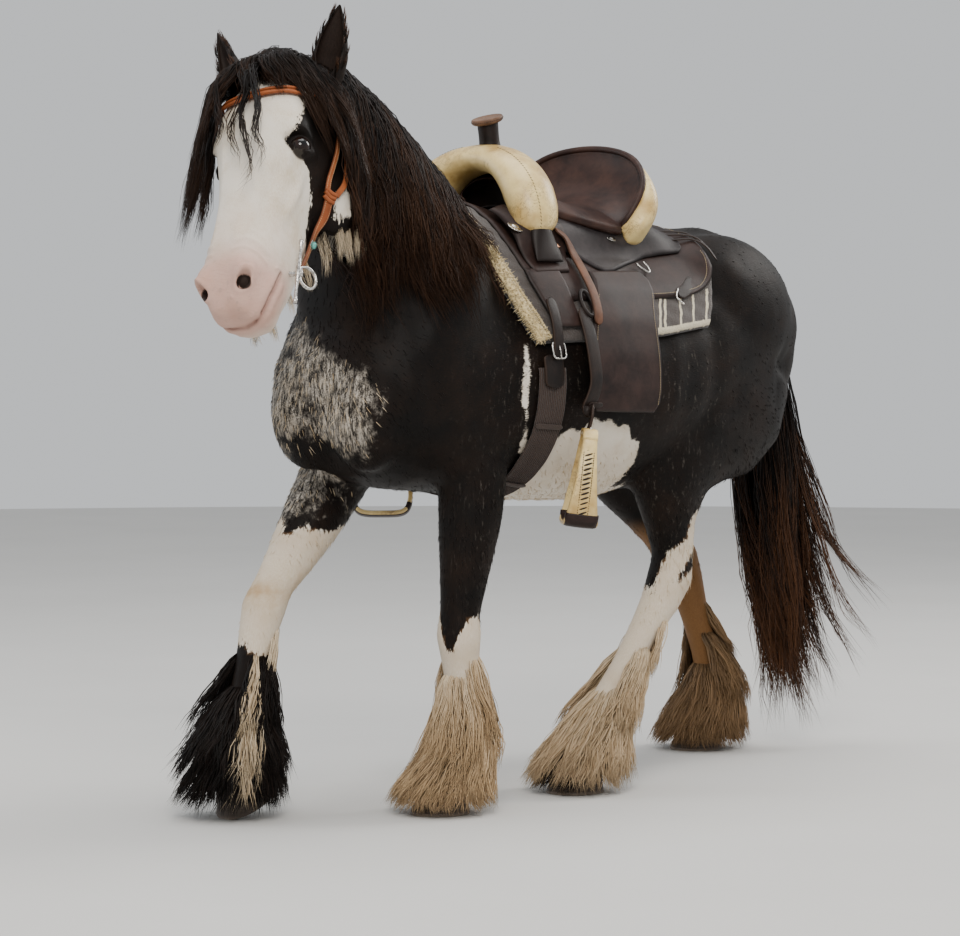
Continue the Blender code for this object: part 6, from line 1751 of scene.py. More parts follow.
def makeRawhide():
    f = Finish("creamRawhide", 0.38, Specular_IOR_Level=0.4, Coat_Roughness=0.3)
    blotch = f.noise(11, 4, 0.6)
    crease = f.noise(26, 6, 0.7, 2.2)
    veins = 1.0 - (crease - 0.5).math("ABSOLUTE").step(0.004, 0.020)
    some = f.noise(9, 2).step(0.47, 0.58)
    tint = f.mix(color(0.42, 0.26, 0.075), color(0.78, 0.60, 0.27), (blotch * 1.2).step(0.35, 0.85))
    tint = f.mix(tint, color(0.16, 0.085, 0.030), veins * some * 0.85)
    tint = f.mix(tint, color(0.34, 0.20, 0.075), f.noise(60, 4, 0.7).step(0.62, 0.74) * 0.45)
    return f.wire(Base_Color=tint, Roughness=0.32 + blotch * 0.2, Coat_Weight=0.15 + blotch * 0.2,
                  Normal=f.bump(crease + f.noise(140, 3) * 0.25, 0.0016, 0.45))


def metalFinish(name, tint, shade, roughness):
    f = Finish(name, roughness, 1.0)
    wear = f.noise(160, 4, 0.7)
    rub = f.noise(1.0, 2, place=f.scaled((900, 900, 60)))
    return f.wire(Base_Color=f.mix(shade, tint, wear.step(0.35, 0.62)), Roughness=roughness + rub * 0.14,
                  Normal=f.bump(rub, 0.0001, 0.3))


darkLeather = leatherFinish("darkSaddleLeather", color(0.0105, 0.0060, 0.0052), color(0.036, 0.0195, 0.0160),
                            0.40, edgeTint=color(0.010, 0.007, 0.006))
seatLeather = leatherFinish("seatLeather", color(0.0150, 0.0070, 0.0056), color(0.052, 0.0240, 0.0170), 0.38)
greyLeather = leatherFinish("jockeyLeather", color(0.0130, 0.0105, 0.0110), color(0.044, 0.0365, 0.0370),
                            0.46, edgeTint=color(0.008, 0.006, 0.006))
brownLeather = leatherFinish("brownStrapLeather", color(0.050, 0.020, 0.010), color(0.150, 0.062, 0.030),
                             0.42, edgeTint=color(0.035, 0.015, 0.008), strapEdge=True)
strapLeather = leatherFinish("tanHeadstallLeather", color(0.180, 0.046, 0.015), color(0.390, 0.115, 0.038),
                             0.38, 520, edgeTint=color(0.085, 0.026, 0.010), strapEdge=True)
blackLeather = leatherFinish("blackStrapLeather", color(0.006, 0.0042, 0.0038), color(0.022, 0.0135, 0.0105),
                             0.38, edgeTint=color(0.030, 0.016, 0.010), strapEdge=True)
hornCapLeather = leatherFinish("hornCapLeather", color(0.040, 0.019, 0.011), color(0.180, 0.100, 0.062), 0.42)
creamRawhide = makeRawhide()
silver = metalFinish("polishedSteel", color(0.78, 0.76, 0.72), color(0.30, 0.28, 0.26), 0.20)
copper = metalFinish("copperRosette", color(0.80, 0.42, 0.24), color(0.34, 0.15, 0.08), 0.24)
creamThread = leatherFinish("waxedThread", color(0.36, 0.27, 0.15), color(0.60, 0.49, 0.30), 0.55, 900)
blackLace = leatherFinish("blackLace", color(0.010, 0.007, 0.005), color(0.035, 0.022, 0.016), 0.35, 600)


def makePadFinish():
    # Dark wool felt with pale bars and a pale band near its lower rear corner
    f = Finish("padWool", 0.92, Sheen_Weight=0.25, Sheen_Roughness=0.6)
    weave = f.cells(330) + f.noise(500, 2) * 0.5
    fromBack, fromLow, edge = f.attribute("fromBack"), f.attribute("fromLow"), f.attribute("edge")
    ragged = (f.noise(180, 3) - 0.5) * 0.006
    wool = f.mix(color(0.010, 0.007, 0.006), color(0.040, 0.026, 0.019), weave.smallest(1.0))
    bars = None
    for start, width in pad["bars"]:
        bar = 1.0 - (fromBack + ragged - start).math("ABSOLUTE").step(width * 0.40, width * 0.62)
        bars = bars.largest(bar) if bars else bar
    bars = bars * (1.0 - (fromLow + ragged).step(0.088, 0.093))
    band = 1.0 - (fromLow + ragged - 0.011).math("ABSOLUTE").step(0.0055, 0.0085)
    band = band * (1.0 - fromBack.step(0.215, 0.222))
    pale = f.mix(color(0.34, 0.28, 0.18), color(0.66, 0.59, 0.43), weave.smallest(1.0))
    tint = f.mix(wool, pale, bars.largest(band))
    tint = f.mix(tint, color(0.020, 0.013, 0.010), 1.0 - edge.step(0.001, 0.004))
    return f.wire(Base_Color=tint, Normal=f.bump(weave + bars.largest(band) * 2.0, 0.0016, 0.8))


def makeFleeceFinish():
    f = Finish("goldFleece", 0.95, Sheen_Weight=0.3, Sheen_Roughness=0.5)
    curl = f.cells(150) + f.noise(260, 4, 0.7) * 0.8
    tint = f.mix(color(0.20, 0.115, 0.035), color(0.74, 0.60, 0.33), curl.step(0.25, 1.15))
    tint = f.mix(tint, color(0.62, 0.47, 0.22), f.noise(24, 3).step(0.4, 0.6) * 0.5)
    return f.wire(Base_Color=tint, Normal=f.bump(curl, 0.004, 0.9))


# Saddle pad
pad = {"lift": 0.0030, "thick": 0.0180, "low": 80.5,
       "rear": [(0, 0.362), (45, 0.350), (58, 0.325), (72, 0.285), (81, 0.262)],
       "limit": [(0, 1.0), (0.5, 0.99), (0.75, 0.965), (1.0, 0.915)],
       # pale bars: distance from the rear edge, width
       "bars": [(0.030, 0.009), (0.082, 0.008), (0.132, 0.008), (0.188, 0.009), (0.206, 0.009)],
       "curls": 4000, "curlSteps": 4, "curlWidths": [[1.0, 1.0, 0.8, 0.1]],
       "ropeShift": 0.037, "ropeLift": 0.0230, "ropeSteps": 420, "ropeTurn": 0.55, "strand": 0.0016}
padWool = makePadFinish()
goldFleece = makeFleeceFinish()


def padFront(degrees):
    return -0.437 + 0.088 * (abs(degrees) / 80) ** 2


def padBack(degrees):
    return readAt(pad["rear"], abs(degrees))


def twistedRope():
    # Two strands round each other along the pad's front edge, on each side
    cords, count = [], pad["ropeSteps"]
    for way in (1, -1):
        path = [drapeAt(padFront(way * d) + pad["ropeShift"], way * d, pad["ropeLift"])
                for d in np.linspace(4, 78.5, 60)]
        fine = curveThrough(path, count)
        for strand in (0, 1):
            twisted = []
            for i, p in enumerate(fine):
                a = i * pad["ropeTurn"] + strand * math.pi
                along = tangentAt(fine, i, False)
                side = along.orthogonal().normalized()
                twisted.append(Vector(p) + side * (math.cos(a) * pad["strand"])
                               + along.cross(side) * (math.sin(a) * pad["strand"]))
            cords.append(tube("cord", twisted, 0.0019, 6))
    return joined("padEdgeRope", cords)


def makePad():
    piece = layer("padCloth", -pad["low"], pad["low"], padFront, padBack, pad["lift"], pad["thick"], 110, 70,
                  0.016,
                  crown=lambda d, b: 0.0016 * math.sin(b * 60) * math.sin(d * 0.9),
                  limit=lambda b: readAt(pad["limit"], b))
    finished(piece, padWool, ("saddle_pad",))
    # Fleece border along the front: a soft roll of short curls
    path, up = [], []
    for i in range(97):
        degrees = -79.5 + 159 * i / 96
        path.append(drapeAt(padFront(degrees) + 0.016, degrees, 0.0175))
        up.append((path[-1] - drapeAt(padFront(degrees) + 0.016, degrees, 0.0)).normalized())
    roll = refined(tube("padBorder", path, 0.0185, 16, flat=0.72, up=up))
    points, normals = pointsOf(roll), normalsOf(roll)
    lumps = np.sin(points @ np.array([210.0, 170, 190])) * np.sin(points @ np.array([-150.0, 230, 120]))
    movePoints(roll, points + normals * (lumps * 0.0012)[:, None])
    rollPoints, rollNormals = pointsOf(roll), normalsOf(roll)
    finished(roll, goldFleece, ())
    # Curls of the fleece
    count, steps = pad["curls"], pad["curlSteps"]
    picked = draws.integers(0, len(rollPoints), count)
    roots, out = rollPoints[picked] - rollNormals[picked] * 0.001, rollNormals[picked]
    lean = out * 0.55 + draws.normal(0, 0.45, out.shape)
    t = np.linspace(0, 1, steps)[None, :, None]
    reach = draws.uniform(0.005, 0.011, count)[:, None, None]
    lines = roots[:, None] + out[:, None] * t * reach * 0.7 + lean[:, None] * t ** 2 * reach * 0.6
    size = draws.uniform(0.0016, 0.0030, count)[:, None] * np.array(pad["curlWidths"])
    sideways = np.cross(out, draws.normal(0, 1, out.shape))
    curls = makeWisps("padFleece", lines, np.repeat(sideways[:, None], steps, 1), size, 0.8,
                      {"tone": draws.uniform(0, 1, count)})
    finished(curls, goldFleece, (), smooth=False)
    finished(twistedRope(), goldFleece, ())


makePad()
print("pad made")

# Skirt, jockey, front rigging and fenders
skirt = {"rear": [(0, 0.345), (30, 0.345), (48, 0.338), (53, 0.320), (57, 0.285), (61, 0.20)],
         "front": [(0, -0.335), (30, -0.332), (50, -0.318), (62, -0.285)],
         "jockeyBack": [(0, 0.330), (18, 0.325), (30, 0.305), (36, 0.285), (39, 0.262), (41, 0.20)],
         "jockeyLow": [(-0.20, 35.5), (-0.15, 37.5), (-0.11, 40.5), (-0.08, 45.0), (-0.055, 47.3),
                       (-0.02, 47.0),
                       (0.05, 43.2), (0.134, 39.2), (0.20, 38.4), (0.285, 37.8)],
         # degrees and y of the stitches near its rear edge
         "stitches": [(0, 0.334), (15, 0.334), (30, 0.333), (42, 0.326), (48, 0.318), (53, 0.300),
                      (57, 0.262),
                      (59, 0.20), (60, 0.12), (60, 0.04), (60, -0.05)]}


def makeSkirt():
    piece = layer("skirtLeather", -61, 61, lambda d: readAt(skirt["front"], abs(d)),
                  lambda d: readAt(skirt["rear"], abs(d)), 0.0215, 0.0085, 110, 70, 0.006)
    finished(piece, darkLeather, ("saddle_skirt",))
    rows = [[placeAt(y, way * d * 0.985, 0.0302) for d, y in skirt["stitches"]] for way in (1, -1)]
    stitches("skirtStitches", rows, 0.0065, (0.0046, 0.0014, 0.0010), creamThread)


def raised(y, degrees):
    # The tree's bars lift the leather beside the seat and under the fork
    side = smoothStep(41, 27, abs(degrees)) * (0.4 + 0.6 * smoothStep(8, 24, abs(degrees)))
    return 0.046 * side * smoothStep(0.31, 0.17, y) * smoothStep(-0.36, -0.27, y)


# Seat jockey: where it starts and how long it is, where its rear curve starts, its height, thickness and edge
jockey = {"start": -0.200, "length": 0.495, "curveFrom": 0.18, "end": 0.302, "lift": 0.0305, "thick": 0.0065,
          "edge": 0.005, "across": 90, "along": 80}


def jockeyLow(y):
    return readAt(skirt["jockeyLow"], y)


def makeJockey():
    across, along = jockey["across"], jockey["along"]
    inner, outer, values = [], [], []
    for i in range(across + 1):
        for j in range(along + 1):
            y = jockey["start"] + jockey["length"] * j / along
            limit = jockeyLow(y)
            degrees = (2 * i / across - 1) * limit
            if y > jockey["curveFrom"]:
                y = min(y, readAt(skirt["jockeyBack"], abs(degrees)))
            near = max(min((limit - abs(degrees)) * arc, y - jockey["start"], jockey["end"] - y), 0)
            start = jockey["lift"] + raised(y, degrees)
            inner.append(drapeAt(y, degrees, start))
            outer.append(drapeAt(y, degrees, start + jockey["thick"] * edgeFull(near, jockey["edge"])))
            values.append(near)
    piece = sheetMesh("seatJockeyLeather", inner, outer, across, along, {"edge": values})
    finished(tidyMesh(piece), greyLeather, ("seat_jockey",))
    ys = np.linspace(-0.17, 0.255, 22)
    rows = [edgeRow([way * (jockeyLow(y) - 1.6) for y in ys], ys, 0.0372) for way in (1, -1)]
    stitches("jockeyStitches", rows, 0.0060, fineStitch, blackLace)


def makeFrontRigging(side, way):
    # The leather under the fork's foot, and the plate that the cinch strap hangs from
    sideLayer("frontJockey" + side, way, 14, 47, lambda d: -0.322 + 0.0016 * max(abs(d) - 34, 0),
              lambda d: -0.150 - 0.0022 * max(abs(d) - 32, 0), 0.0310, 0.0065, 40, 34, extra=raised)
    sideLayer("riggingPlate" + side, way, 44, 74, lambda d: -0.330 + 0.0012 * max(abs(d) - 50, 0),
              lambda d: -0.215, 0.0300, 0.0050, 34, 24)


# Fender: degrees, y of its front and of its back
fender = [(47, -0.118, 0.070), (53, -0.122, 0.086), (60, -0.140, 0.078), (70, -0.170, 0.052),
          (80, -0.192, 0.040),
          (90, -0.206, 0.034), (100, -0.214, 0.030), (106, -0.212, 0.024), (109.5, -0.196, 0.004)]


def makeFender(side, way):
    degrees, front, back = zip(*fender)
    sideLayer("fender" + side, way, degrees[0], degrees[-1],
              lambda d: float(np.interp(abs(d), degrees, front)),
              lambda d: float(np.interp(abs(d), degrees, back)), 0.0330, 0.0065, 70, 40,
              ("fender_" + side.lower(),))
    inset = [[placeAt(row[end] + shift, way * row[0], 0.0398) for row in fender[2:-1]]
             for end, shift in ((1, 0.011), (2, -0.011))]
    stitches("fenderStitches" + side, inset, 0.0060, fineStitch, creamThread)


def strapOver(name, stops, width, thick, surface, nodes=(), way=1):
    # stops: y, degrees and lift. way -1 lays them on the off side
    row = [placeAt(y, way * d, lift) for y, d, lift in stops]
    return finished(strap(name, row, width, thick, taper=4), surface, nodes)


def buckle(name, middle, up, normal, width, height):
    # A rounded frame and its tongue
    across = up.cross(normal).normalized()
    path = section(middle + up * (height / 2), middle - up * (height / 2), across, width / 2, 0.5, 0.45, 0.45,
                   48)
    tongue = [middle - up * height * 0.5 + normal * 0.001, middle + normal * 0.004,
              middle + up * height * 0.52 + normal * 0.003]
    pieces = [tube("frame", path, 0.0022, closed=True), tube("tongue", tongue, 0.0016)]
    return finished(joined(name, pieces), silver, ())


concho = [(1.0, 0.0), (1.02, 0.09), (0.94, 0.16), (0.86, 0.11), (0.80, 0.12), (0.62, 0.22), (0.50, 0.20),
          (0.46, 0.28),
          (0.30, 0.36), (0.16, 0.40), (0.0, 0.42)]


def makeConcho(name, middle, normal, radius, surface, flutes=16):
    profile = [(r * radius, h * radius * 0.8) for r, h in concho]
    return finished(lathe(name, profile, middle, normal, 96, flutes, 0.035), surface, ())


# Straps of each side: stops as y, degrees and lift, then width and thickness
sideStraps = {
    "stirrupLeather": ([(-0.205, 66, 0.0385), (-0.205, 74, 0.0385), (-0.205, 82, 0.0385),
                        (-0.205, 90, 0.0385),
                        (-0.205, 98, 0.0385), (-0.215, 104, 0.0370), (-0.230, 110, 0.0330)], 0.044, 0.0060),
    "stirrupKeeper": ([(-0.228, 106.5, 0.0420), (-0.206, 106.5, 0.0455), (-0.184, 106.5, 0.0425)], 0.012,
                      0.0030),
    "forkStrap": ([(-0.196, 31, 0.0400 + raised(-0.19, 31)), (-0.165, 34, 0.0430 + raised(-0.16, 34)),
                   (-0.148, 39, 0.0450), (-0.146, 46, 0.0410), (-0.153, 58, 0.0430), (-0.162, 68, 0.0440),
                   (-0.170, 74, 0.0400)], 0.030, 0.0050),
    "latigo": ([(-0.298, 60, 0.0370), (-0.300, 68, 0.0365), (-0.301, 75, 0.0340), (-0.302, 82, 0.0265),
                (-0.303, 88, 0.0180)], 0.034, 0.0050),
    "flankTab": ([(0.255, 52, 0.0250), (0.215, 57, 0.0262), (0.172, 60.5, 0.0262)], 0.034, 0.0045),
}
# Conchos of each side: name, y, degrees, radius, metal
conchos = [("frontConcho", -0.314, 27.5, 0.0205, silver), ("forkRosette", -0.200, 35.5, 0.0115, copper),
           ("rearConcho", 0.022, 32.5, 0.0135, silver)]
# The V-shaped ring: steps back and down from its place
ringSteps = [(-0.018, 0), (-0.011, 0.016), (0.004, 0.030), (0.013, 0.026), (0.017, 0.010), (0.014, -0.006)]


def makeRings(side, way):
    y, lift = -0.186, 0.043
    middle, normal = placeAt(y, way * 64, lift)
    down = (drapeAt(y, way * 70, lift) - middle).normalized()
    path = roundPath(middle, down, down.cross(normal), 0.034, 0.019, 36)
    finished(tube("rigRing" + side, path, 0.0050, 12, closed=True), blackLeather)
    y = -0.302
    place, normal = placeAt(y, way * 84.5, 0.0275)
    down = (drapeAt(y, way * 90, 0.02) - drapeAt(y, way * 80, 0.02)).normalized()
    buckle("cinchBuckle" + side, place, down, normal, 0.046, 0.040)
    for name, y, degrees, radius, metal in conchos:
        place, normal = placeAt(y, way * degrees, 0.0378 + raised(y, degrees))
        makeConcho(name + side, place, normal, radius, metal)
    # V-shaped ring below the jockey
    y, lift = 0.098, 0.0385
    place = drapeAt(y, way * 43.5, lift)
    down = (drapeAt(y, way * 50, lift) - place).normalized()
    path = [place + yAxis * back + down * drop for back, drop in ringSteps]
    finished(tube("vRing" + side, curveThrough(path, 40), 0.0022), silver, ())


def makeSide(side, way):
    def put(name, surface, nodes=()):
        stops, width, thick = sideStraps[name]
        strapOver(name + side, stops, width, thick, surface, nodes, way=way)

    makeFender(side, way)
    put("stirrupLeather", blackLeather, ("stirrup_leather_" + side.lower(),))
    put("stirrupKeeper", blackLeather)
    put("forkStrap", brownLeather)
    put("latigo", blackLeather, ("latigo_" + side.lower(),))
    makeRings(side, way)
    # Tab under the rear corner of the skirt, with a metal corner
    put("flankTab", blackLeather)
    path = [drapeAt(y, way * d, 0.0318) for y, d in ((0.181, 57.0), (0.160, 61.4), (0.176, 65.2))]
    finished(tube("tabCorner" + side, curveThrough(path, 16), 0.0021), silver, ())
    # Saddle strings along the croup
    for k in range(3):
        stops = [(0.215 + k * 0.012, 20 + k * 2.5, 0.0380), (0.275, 22 + k * 4, 0.0385),
                 (0.325, 25 + k * 4.5, 0.0350), (0.350, 29 + k * 5, 0.0270), (0.372, 35 + k * 5, 0.0090)]
        strapOver("saddleString%s%d" % (side, k + 1), stops, 0.008, 0.0024, blackLeather, way=way)


# Cinch: its cords side by side, the degrees of its leather ends and cross bars, and a bar's y and lift
cinch = {"cords": 15, "front": -0.350, "width": 0.078, "ends": (86, 90, 95, 101),
         "bars": (118, 150, 180, 210, 242),
         "barLine": [(-0.354, 0.0115), (-0.332, 0.0125), (-0.311, 0.0128), (-0.290, 0.0125),
                     (-0.268, 0.0115)]}


def makeCinch():
    cords = []
    for share in np.linspace(0, 1, cinch["cords"]):
        y = cinch["front"] + cinch["width"] * share
        path = [drapeAt(y, d, 0.0075) for d in np.linspace(92, 268, 90)]
        cords.append(tube("cord", path, 0.0031, 6))
    finished(joined("cinchCords", cords), cinchWeb, ("cinch",))
    for side, way in sides:
        stops = [(-0.312, d, 0.0125) for d in cinch["ends"]]
        strapOver("cinchEnd" + side, stops, 0.070, 0.0050, blackLeather, way=way)
    for k, d in enumerate(cinch["bars"]):
        stops = [(y, d, lift) for y, lift in cinch["barLine"]]
        strapOver("cinchBar%d" % (k + 1), stops, 0.014, 0.0030, cinchWeb, ())


def makeCinchFinish():
    f = Finish("cinchWebbing", 0.85, Sheen_Weight=0.15)
    strands = f.noise(1.0, 3, place=f.scaled((300, 900, 300)))
    return f.wire(Base_Color=f.mix(color(0.010, 0.0055, 0.0040), color(0.048, 0.025, 0.016),
                                   strands.step(0.3, 0.7)),
                  Normal=f.bump(strands, 0.0012, 0.8))


cinchWeb = makeCinchFinish()
makeSkirt()
makeJockey()
for side, way in sides:
    makeFrontRigging(side, way)
for side, way in sides:
    makeSide(side, way)
makeCinch()
print("skirt, jockey, fenders and straps made")

# Fork, horn, seat and cantle
tree = {
    # x, y, z, half depth along y, half thickness square to the arch; mirrored
    "fork": [(0.197, -0.248, 1.406, 0.014, 0.010), (0.196, -0.248, 1.413, 0.042, 0.032),
             (0.191, -0.247, 1.432, 0.060, 0.047), (0.180, -0.245, 1.464, 0.067, 0.055),
             (0.160, -0.240, 1.503, 0.070, 0.056), (0.128, -0.232, 1.541, 0.070, 0.050),
             (0.086, -0.222, 1.570, 0.068, 0.042), (0.042, -0.214, 1.585, 0.066, 0.037),
             (0.000, -0.211, 1.590, 0.066, 0.036)],
    "foot": [(0.236, -0.246, 1.34, 0.0475, 0.006), (0.229, -0.246, 1.358, 0.0475, 0.01),
             (0.216, -0.247, 1.384, 0.0418, 0.016), (0.202, -0.248, 1.412, 0.036, 0.024),
             (0.188, -0.248, 1.44, 0.0288, 0.02)],
    # Middle of the roll along the cantle's rim; mirrored
    "rim": [(0.192, 0.066, 1.430), (0.210, 0.078, 1.456), (0.220, 0.104, 1.498), (0.214, 0.132, 1.540),
            (0.190, 0.153, 1.576), (0.155, 0.170, 1.602), (0.110, 0.182, 1.619), (0.055, 0.190, 1.629),
            (0.000, 0.193, 1.632)],
    # Where a dark sheet closes the arch behind the fork, standing in for the shade inside the open gullet;
    # mirrored
    "gullet": [(0.200, -0.182, 1.405), (0.172, -0.178, 1.485), (0.105, -0.170, 1.556), (0, -0.166, 1.577)],
    "lean": 0.045,
    "hornPlace": (0, -0.205, 1.603), "hornLean": 8, "capLean": 17, "capHeight": 0.082,
    "neck": [(0.0, 0.080), (0.0240, 0.080), (0.0262, 0.0700), (0.0258, 0.0560), (0.0256, 0.0400),
             (0.0262, 0.0260),
             (0.0290, 0.0130), (0.0340, 0.0030), (0.0360, -0.0060), (0.0, -0.0060)],
    "cap": [(0.0, 0.0895), (0.014, 0.0885), (0.026, 0.0892), (0.034, 0.0910), (0.0385, 0.0905),
            (0.0405, 0.0870),
            (0.0400, 0.0815), (0.0365, 0.0775), (0.0280, 0.0750), (0.0, 0.0740)],
}


def leaned(p):
    # The saddle has slipped a little towards the near side
    return Vector((p[0], p[1], p[2] - tree["lean"] * p[0]))


def groundAt(x, y, lift):
    hit, normal, index, distance = skinTree.ray_cast(Vector((x, y, 2.0)), -zAxis)
    return hit + zAxis * lift


def both(points):
    # A line that ends in the middle, carried on to the other side
    return [tuple(p) for p in points] + [(-p[0], *p[1:]) for p in points[-2::-1]]


def archRings(table, count, points):
    fine = curveThrough([leaned(p) for p in table], count)
    places = np.linspace(0, len(table) - 1, count)
    halfDepth, halfThick = (np.interp(places, range(len(table)), [p[k] for p in table]) for k in (3, 4))
    rings = []
    for i, p in enumerate(fine):
        along = tangentAt(fine, i, False)
        side = (yAxis - along * along.y).normalized()
        up = along.cross(side) * float(halfThick[i])
        rings.append(section(Vector(p) + up, Vector(p) - up, side, float(halfDepth[i]), count=points))
    return rings


def makeFork():
    rings = archRings(both(tree["fork"]), 61, 40)
    finished(loft("forkRawhide", rings), creamRawhide, ("saddle_fork",))
    # A seam with dark thread round the swell's front, and a dark leather foot on each side
    rows = []
    for way in (1, -1):
        picked = [r for r in rings if r[0].x * way > 0.05]
        picked = picked if way > 0 else picked[::-1]
        row = []
        for ring in picked[3:]:
            middle = sum(ring, Vector()) / len(ring)
            spot = ring[27] if ring[27].y < middle.y else ring[33]
            row.append((spot, (spot - middle).normalized()))
        rows.append(row[::2])
    stitches("forkSeam", rows, 0.0085, (0.0062, 0.0018, 0.0016), blackLace, slant=0.5)
    for side, way in sides:
        foot = archRings([(way * p[0], *p[1:]) for p in tree["foot"]], 16, 32)
        finished(loft("forkFoot" + side, foot), darkLeather)
    # A dark leather sheet closes the arch behind the fork, down to the jockey: a dark fill that stands in for
    # the shade inside the open gullet tunnel
    arch = curveThrough([leaned(p) for p in both(tree["gullet"])], 33)
    rows = []
    for p in arch:
        top, low = Vector(p), groundAt(p[0] * 0.97, p[1], 0.020)
        low.z = min(low.z, top.z - 0.01)
        rows.append([top.lerp(low, t) + yAxis * (0.020 * math.sin(math.pi * t))
                     for t in np.linspace(0, 1, 8)])
    finished(sheetFrom("gulletShadeSheet", rows, 0.007, 0), darkLeather)


def makeHorn():
    lean, tip = (Matrix.Rotation(math.radians(degrees), 4, "X")
                 for degrees in (tree["hornLean"], tree["capLean"] - tree["hornLean"]))
    rise = Matrix.Translation((0, 0, tree["capHeight"]))
    tilted = Matrix.Translation(tree["hornPlace"]) @ lean
    capTurn = tilted @ rise @ tip @ rise.inverted()
    for name, profile, turn, surface, nodes, edge in (
            ("hornNeck", tree["neck"], tilted, blackLeather, ("saddle_horn",), 0.3),
            ("hornCap", tree["cap"], capTurn, hornCapLeather, (), 1.0)):
        fine = curveThrough([(r, 0, z) for r, z in profile], len(profile) * 4)
        fine[:, 0] = np.maximum(fine[:, 0], 0)
        piece = newObject(name, fine, [], [(i, i + 1) for i in range(len(fine) - 1)])
        screw = piece.modifiers.new("turn", "SCREW")
        screw.steps = screw.render_steps = 64
        screw.use_merge_vertices, screw.merge_threshold = True, 0.0001
        applied(piece)
        piece.data.transform(turn)
        tidyMesh(piece)
        addValues(piece, "edge", np.full(len(piece.data.vertices), edge))
        finished(piece, surface, nodes)
    ways = [Vector((math.cos(a), math.sin(a), 0)) for a in np.linspace(0, 2 * math.pi, 25)]
    rows = [[(capTurn @ (way * 0.0408 + zAxis * 0.0842), capTurn.to_3x3() @ way) for way in ways]]
    stitches("hornStitches", rows, 0.0052, (0.0036, 0.0013, 0.0010), blackLace)


seatRows = [
    # y, height in the middle, half width, height at the side
    (-0.205, 1.542, 0.095, 1.508), (-0.180, 1.541, 0.140, 1.484), (-0.140, 1.527, 0.166, 1.466),
    (-0.090, 1.508, 0.186, 1.454), (-0.040, 1.493, 0.200, 1.444), (0.010, 1.485, 0.208, 1.436),
    (0.050, 1.487, 0.208, 1.432)]


def sheetFrom(name, rows, thickness, offset):
    # A solid sheet over rows of points
    across = len(rows[0])
    starts = [j * across + i for j in range(len(rows) - 1) for i in range(across - 1)]
    faces = [(a, a + 1, a + across + 1, a + across) for a in starts]
    piece = tidyMesh(newObject(name, [p for row in rows for p in row], faces), 0.0002)
    return tidyMesh(walled(piece, thickness, offset), 0.00001)


def makeSeat():
    # A dish: the rows above, then a wall that leans back and up to the cantle's rim
    cols, wall = 48, 22
    rim = curveThrough(both(tree["rim"]), cols + 1)[::-1]
    table = curveThrough(np.array(seatRows), 34)
    grid = [[Vector((u * half, y, mid + (side - mid) * abs(u) ** 2.6)) for u in np.linspace(-1, 1, cols + 1)]
            for y, mid, half, side in table]
    base = grid[-1]
    for j in range(1, wall + 1):
        t = j / wall
        grid.append([Vector((b.x + (r[0] - b.x) * t, b.y + (r[1] - b.y) * math.sin(t * math.pi / 2),
                             b.z + (r[2] - b.z) * t ** 1.9)) for r, b in zip(rim, base)])
    # Its edge rolls under on each side
    for row in grid:
        for way, i in ((-1, 0), (1, -1)):
            under = [row[i] + Vector((way * out, 0, -drop))
                     for out, drop in ((0.004, 0.007), (0.001, 0.015), (-0.008, 0.020))]
            row[:] = under[::-1] + row if way < 0 else row + under
    piece = sheetFrom("seatDish", [[leaned(p) for p in row] for row in grid], 0.004, 0)
    finished(piece, seatLeather, ("saddle_seat",))
    roll = [leaned(p) for p in rim]
    radii = [0.0080 if 1 < i < cols - 1 else 0.0055 for i in range(cols + 1)]
    finished(tube("cantleRoll", roll, radii, 14), seatLeather)
    rows = [[(p + Vector((0, -0.0100, -0.0115)), Vector((0, -0.8, 0.6))) for p in roll[4:-4:2]]]
    stitches("rimStitches", rows, 0.0062, (0.0044, 0.0013, 0.0010), blackLace)
    # A shell of rawhide behind the rim, down to the jockey
    rows, half = [], 36
    for i, p in enumerate(curveThrough(roll, 2 * half + 1)):
        p = Vector(p)
        share = min(i, 2 * half - i) / half
        out = Vector((p.x, max(p.y - 0.030, 0.012) * (0.4 + share), 0)).normalized()
        ends = smoothStep(0.0, 0.16, share)
        foot = groundAt(p.x * 0.86, min(p.y * 0.95 + 0.035 * share, 0.235), 0.060)
        foot = p.lerp(foot + out * 0.012, 0.25 + 0.75 * ends)
        bulge = 0.040 * ends * (1 - 0.62 * smoothStep(0.35, 0.9, share))
        rows.append([p.lerp(foot, t) + out * (0.004 + bulge * math.sin(math.pi * t ** 0.75))
                     for t in np.linspace(0, 1, 14)])
    finished(sheetFrom("cantleBack", rows, 0.007, -1), creamRawhide, ("saddle_cantle",))


makeFork()
makeHorn()
makeSeat()
print("fork, horn, seat and cantle made")

# Stirrups
stirrup = {
    "top": (0.352, -0.235, 0.905), "turn": -44, "swing": -7, "thick": 0.011, "count": 96,
    # across, up, width of the strap: once round from the top
    "loop": [(-0.034, 0.0, 0.034), (0.0, 0.002, 0.034), (0.034, 0.0, 0.034), (0.048, -0.050, 0.042),
             (0.060, -0.10, 0.052), (0.067, -0.15, 0.064), (0.066, -0.182, 0.074), (0.052, -0.206, 0.086),
             (0.0, -0.210, 0.088), (-0.052, -0.206, 0.086), (-0.066, -0.182, 0.074), (-0.067, -0.15, 0.064),
             (-0.060, -0.10, 0.052), (-0.048, -0.050, 0.042)],
    "seam": 0.0125,
}


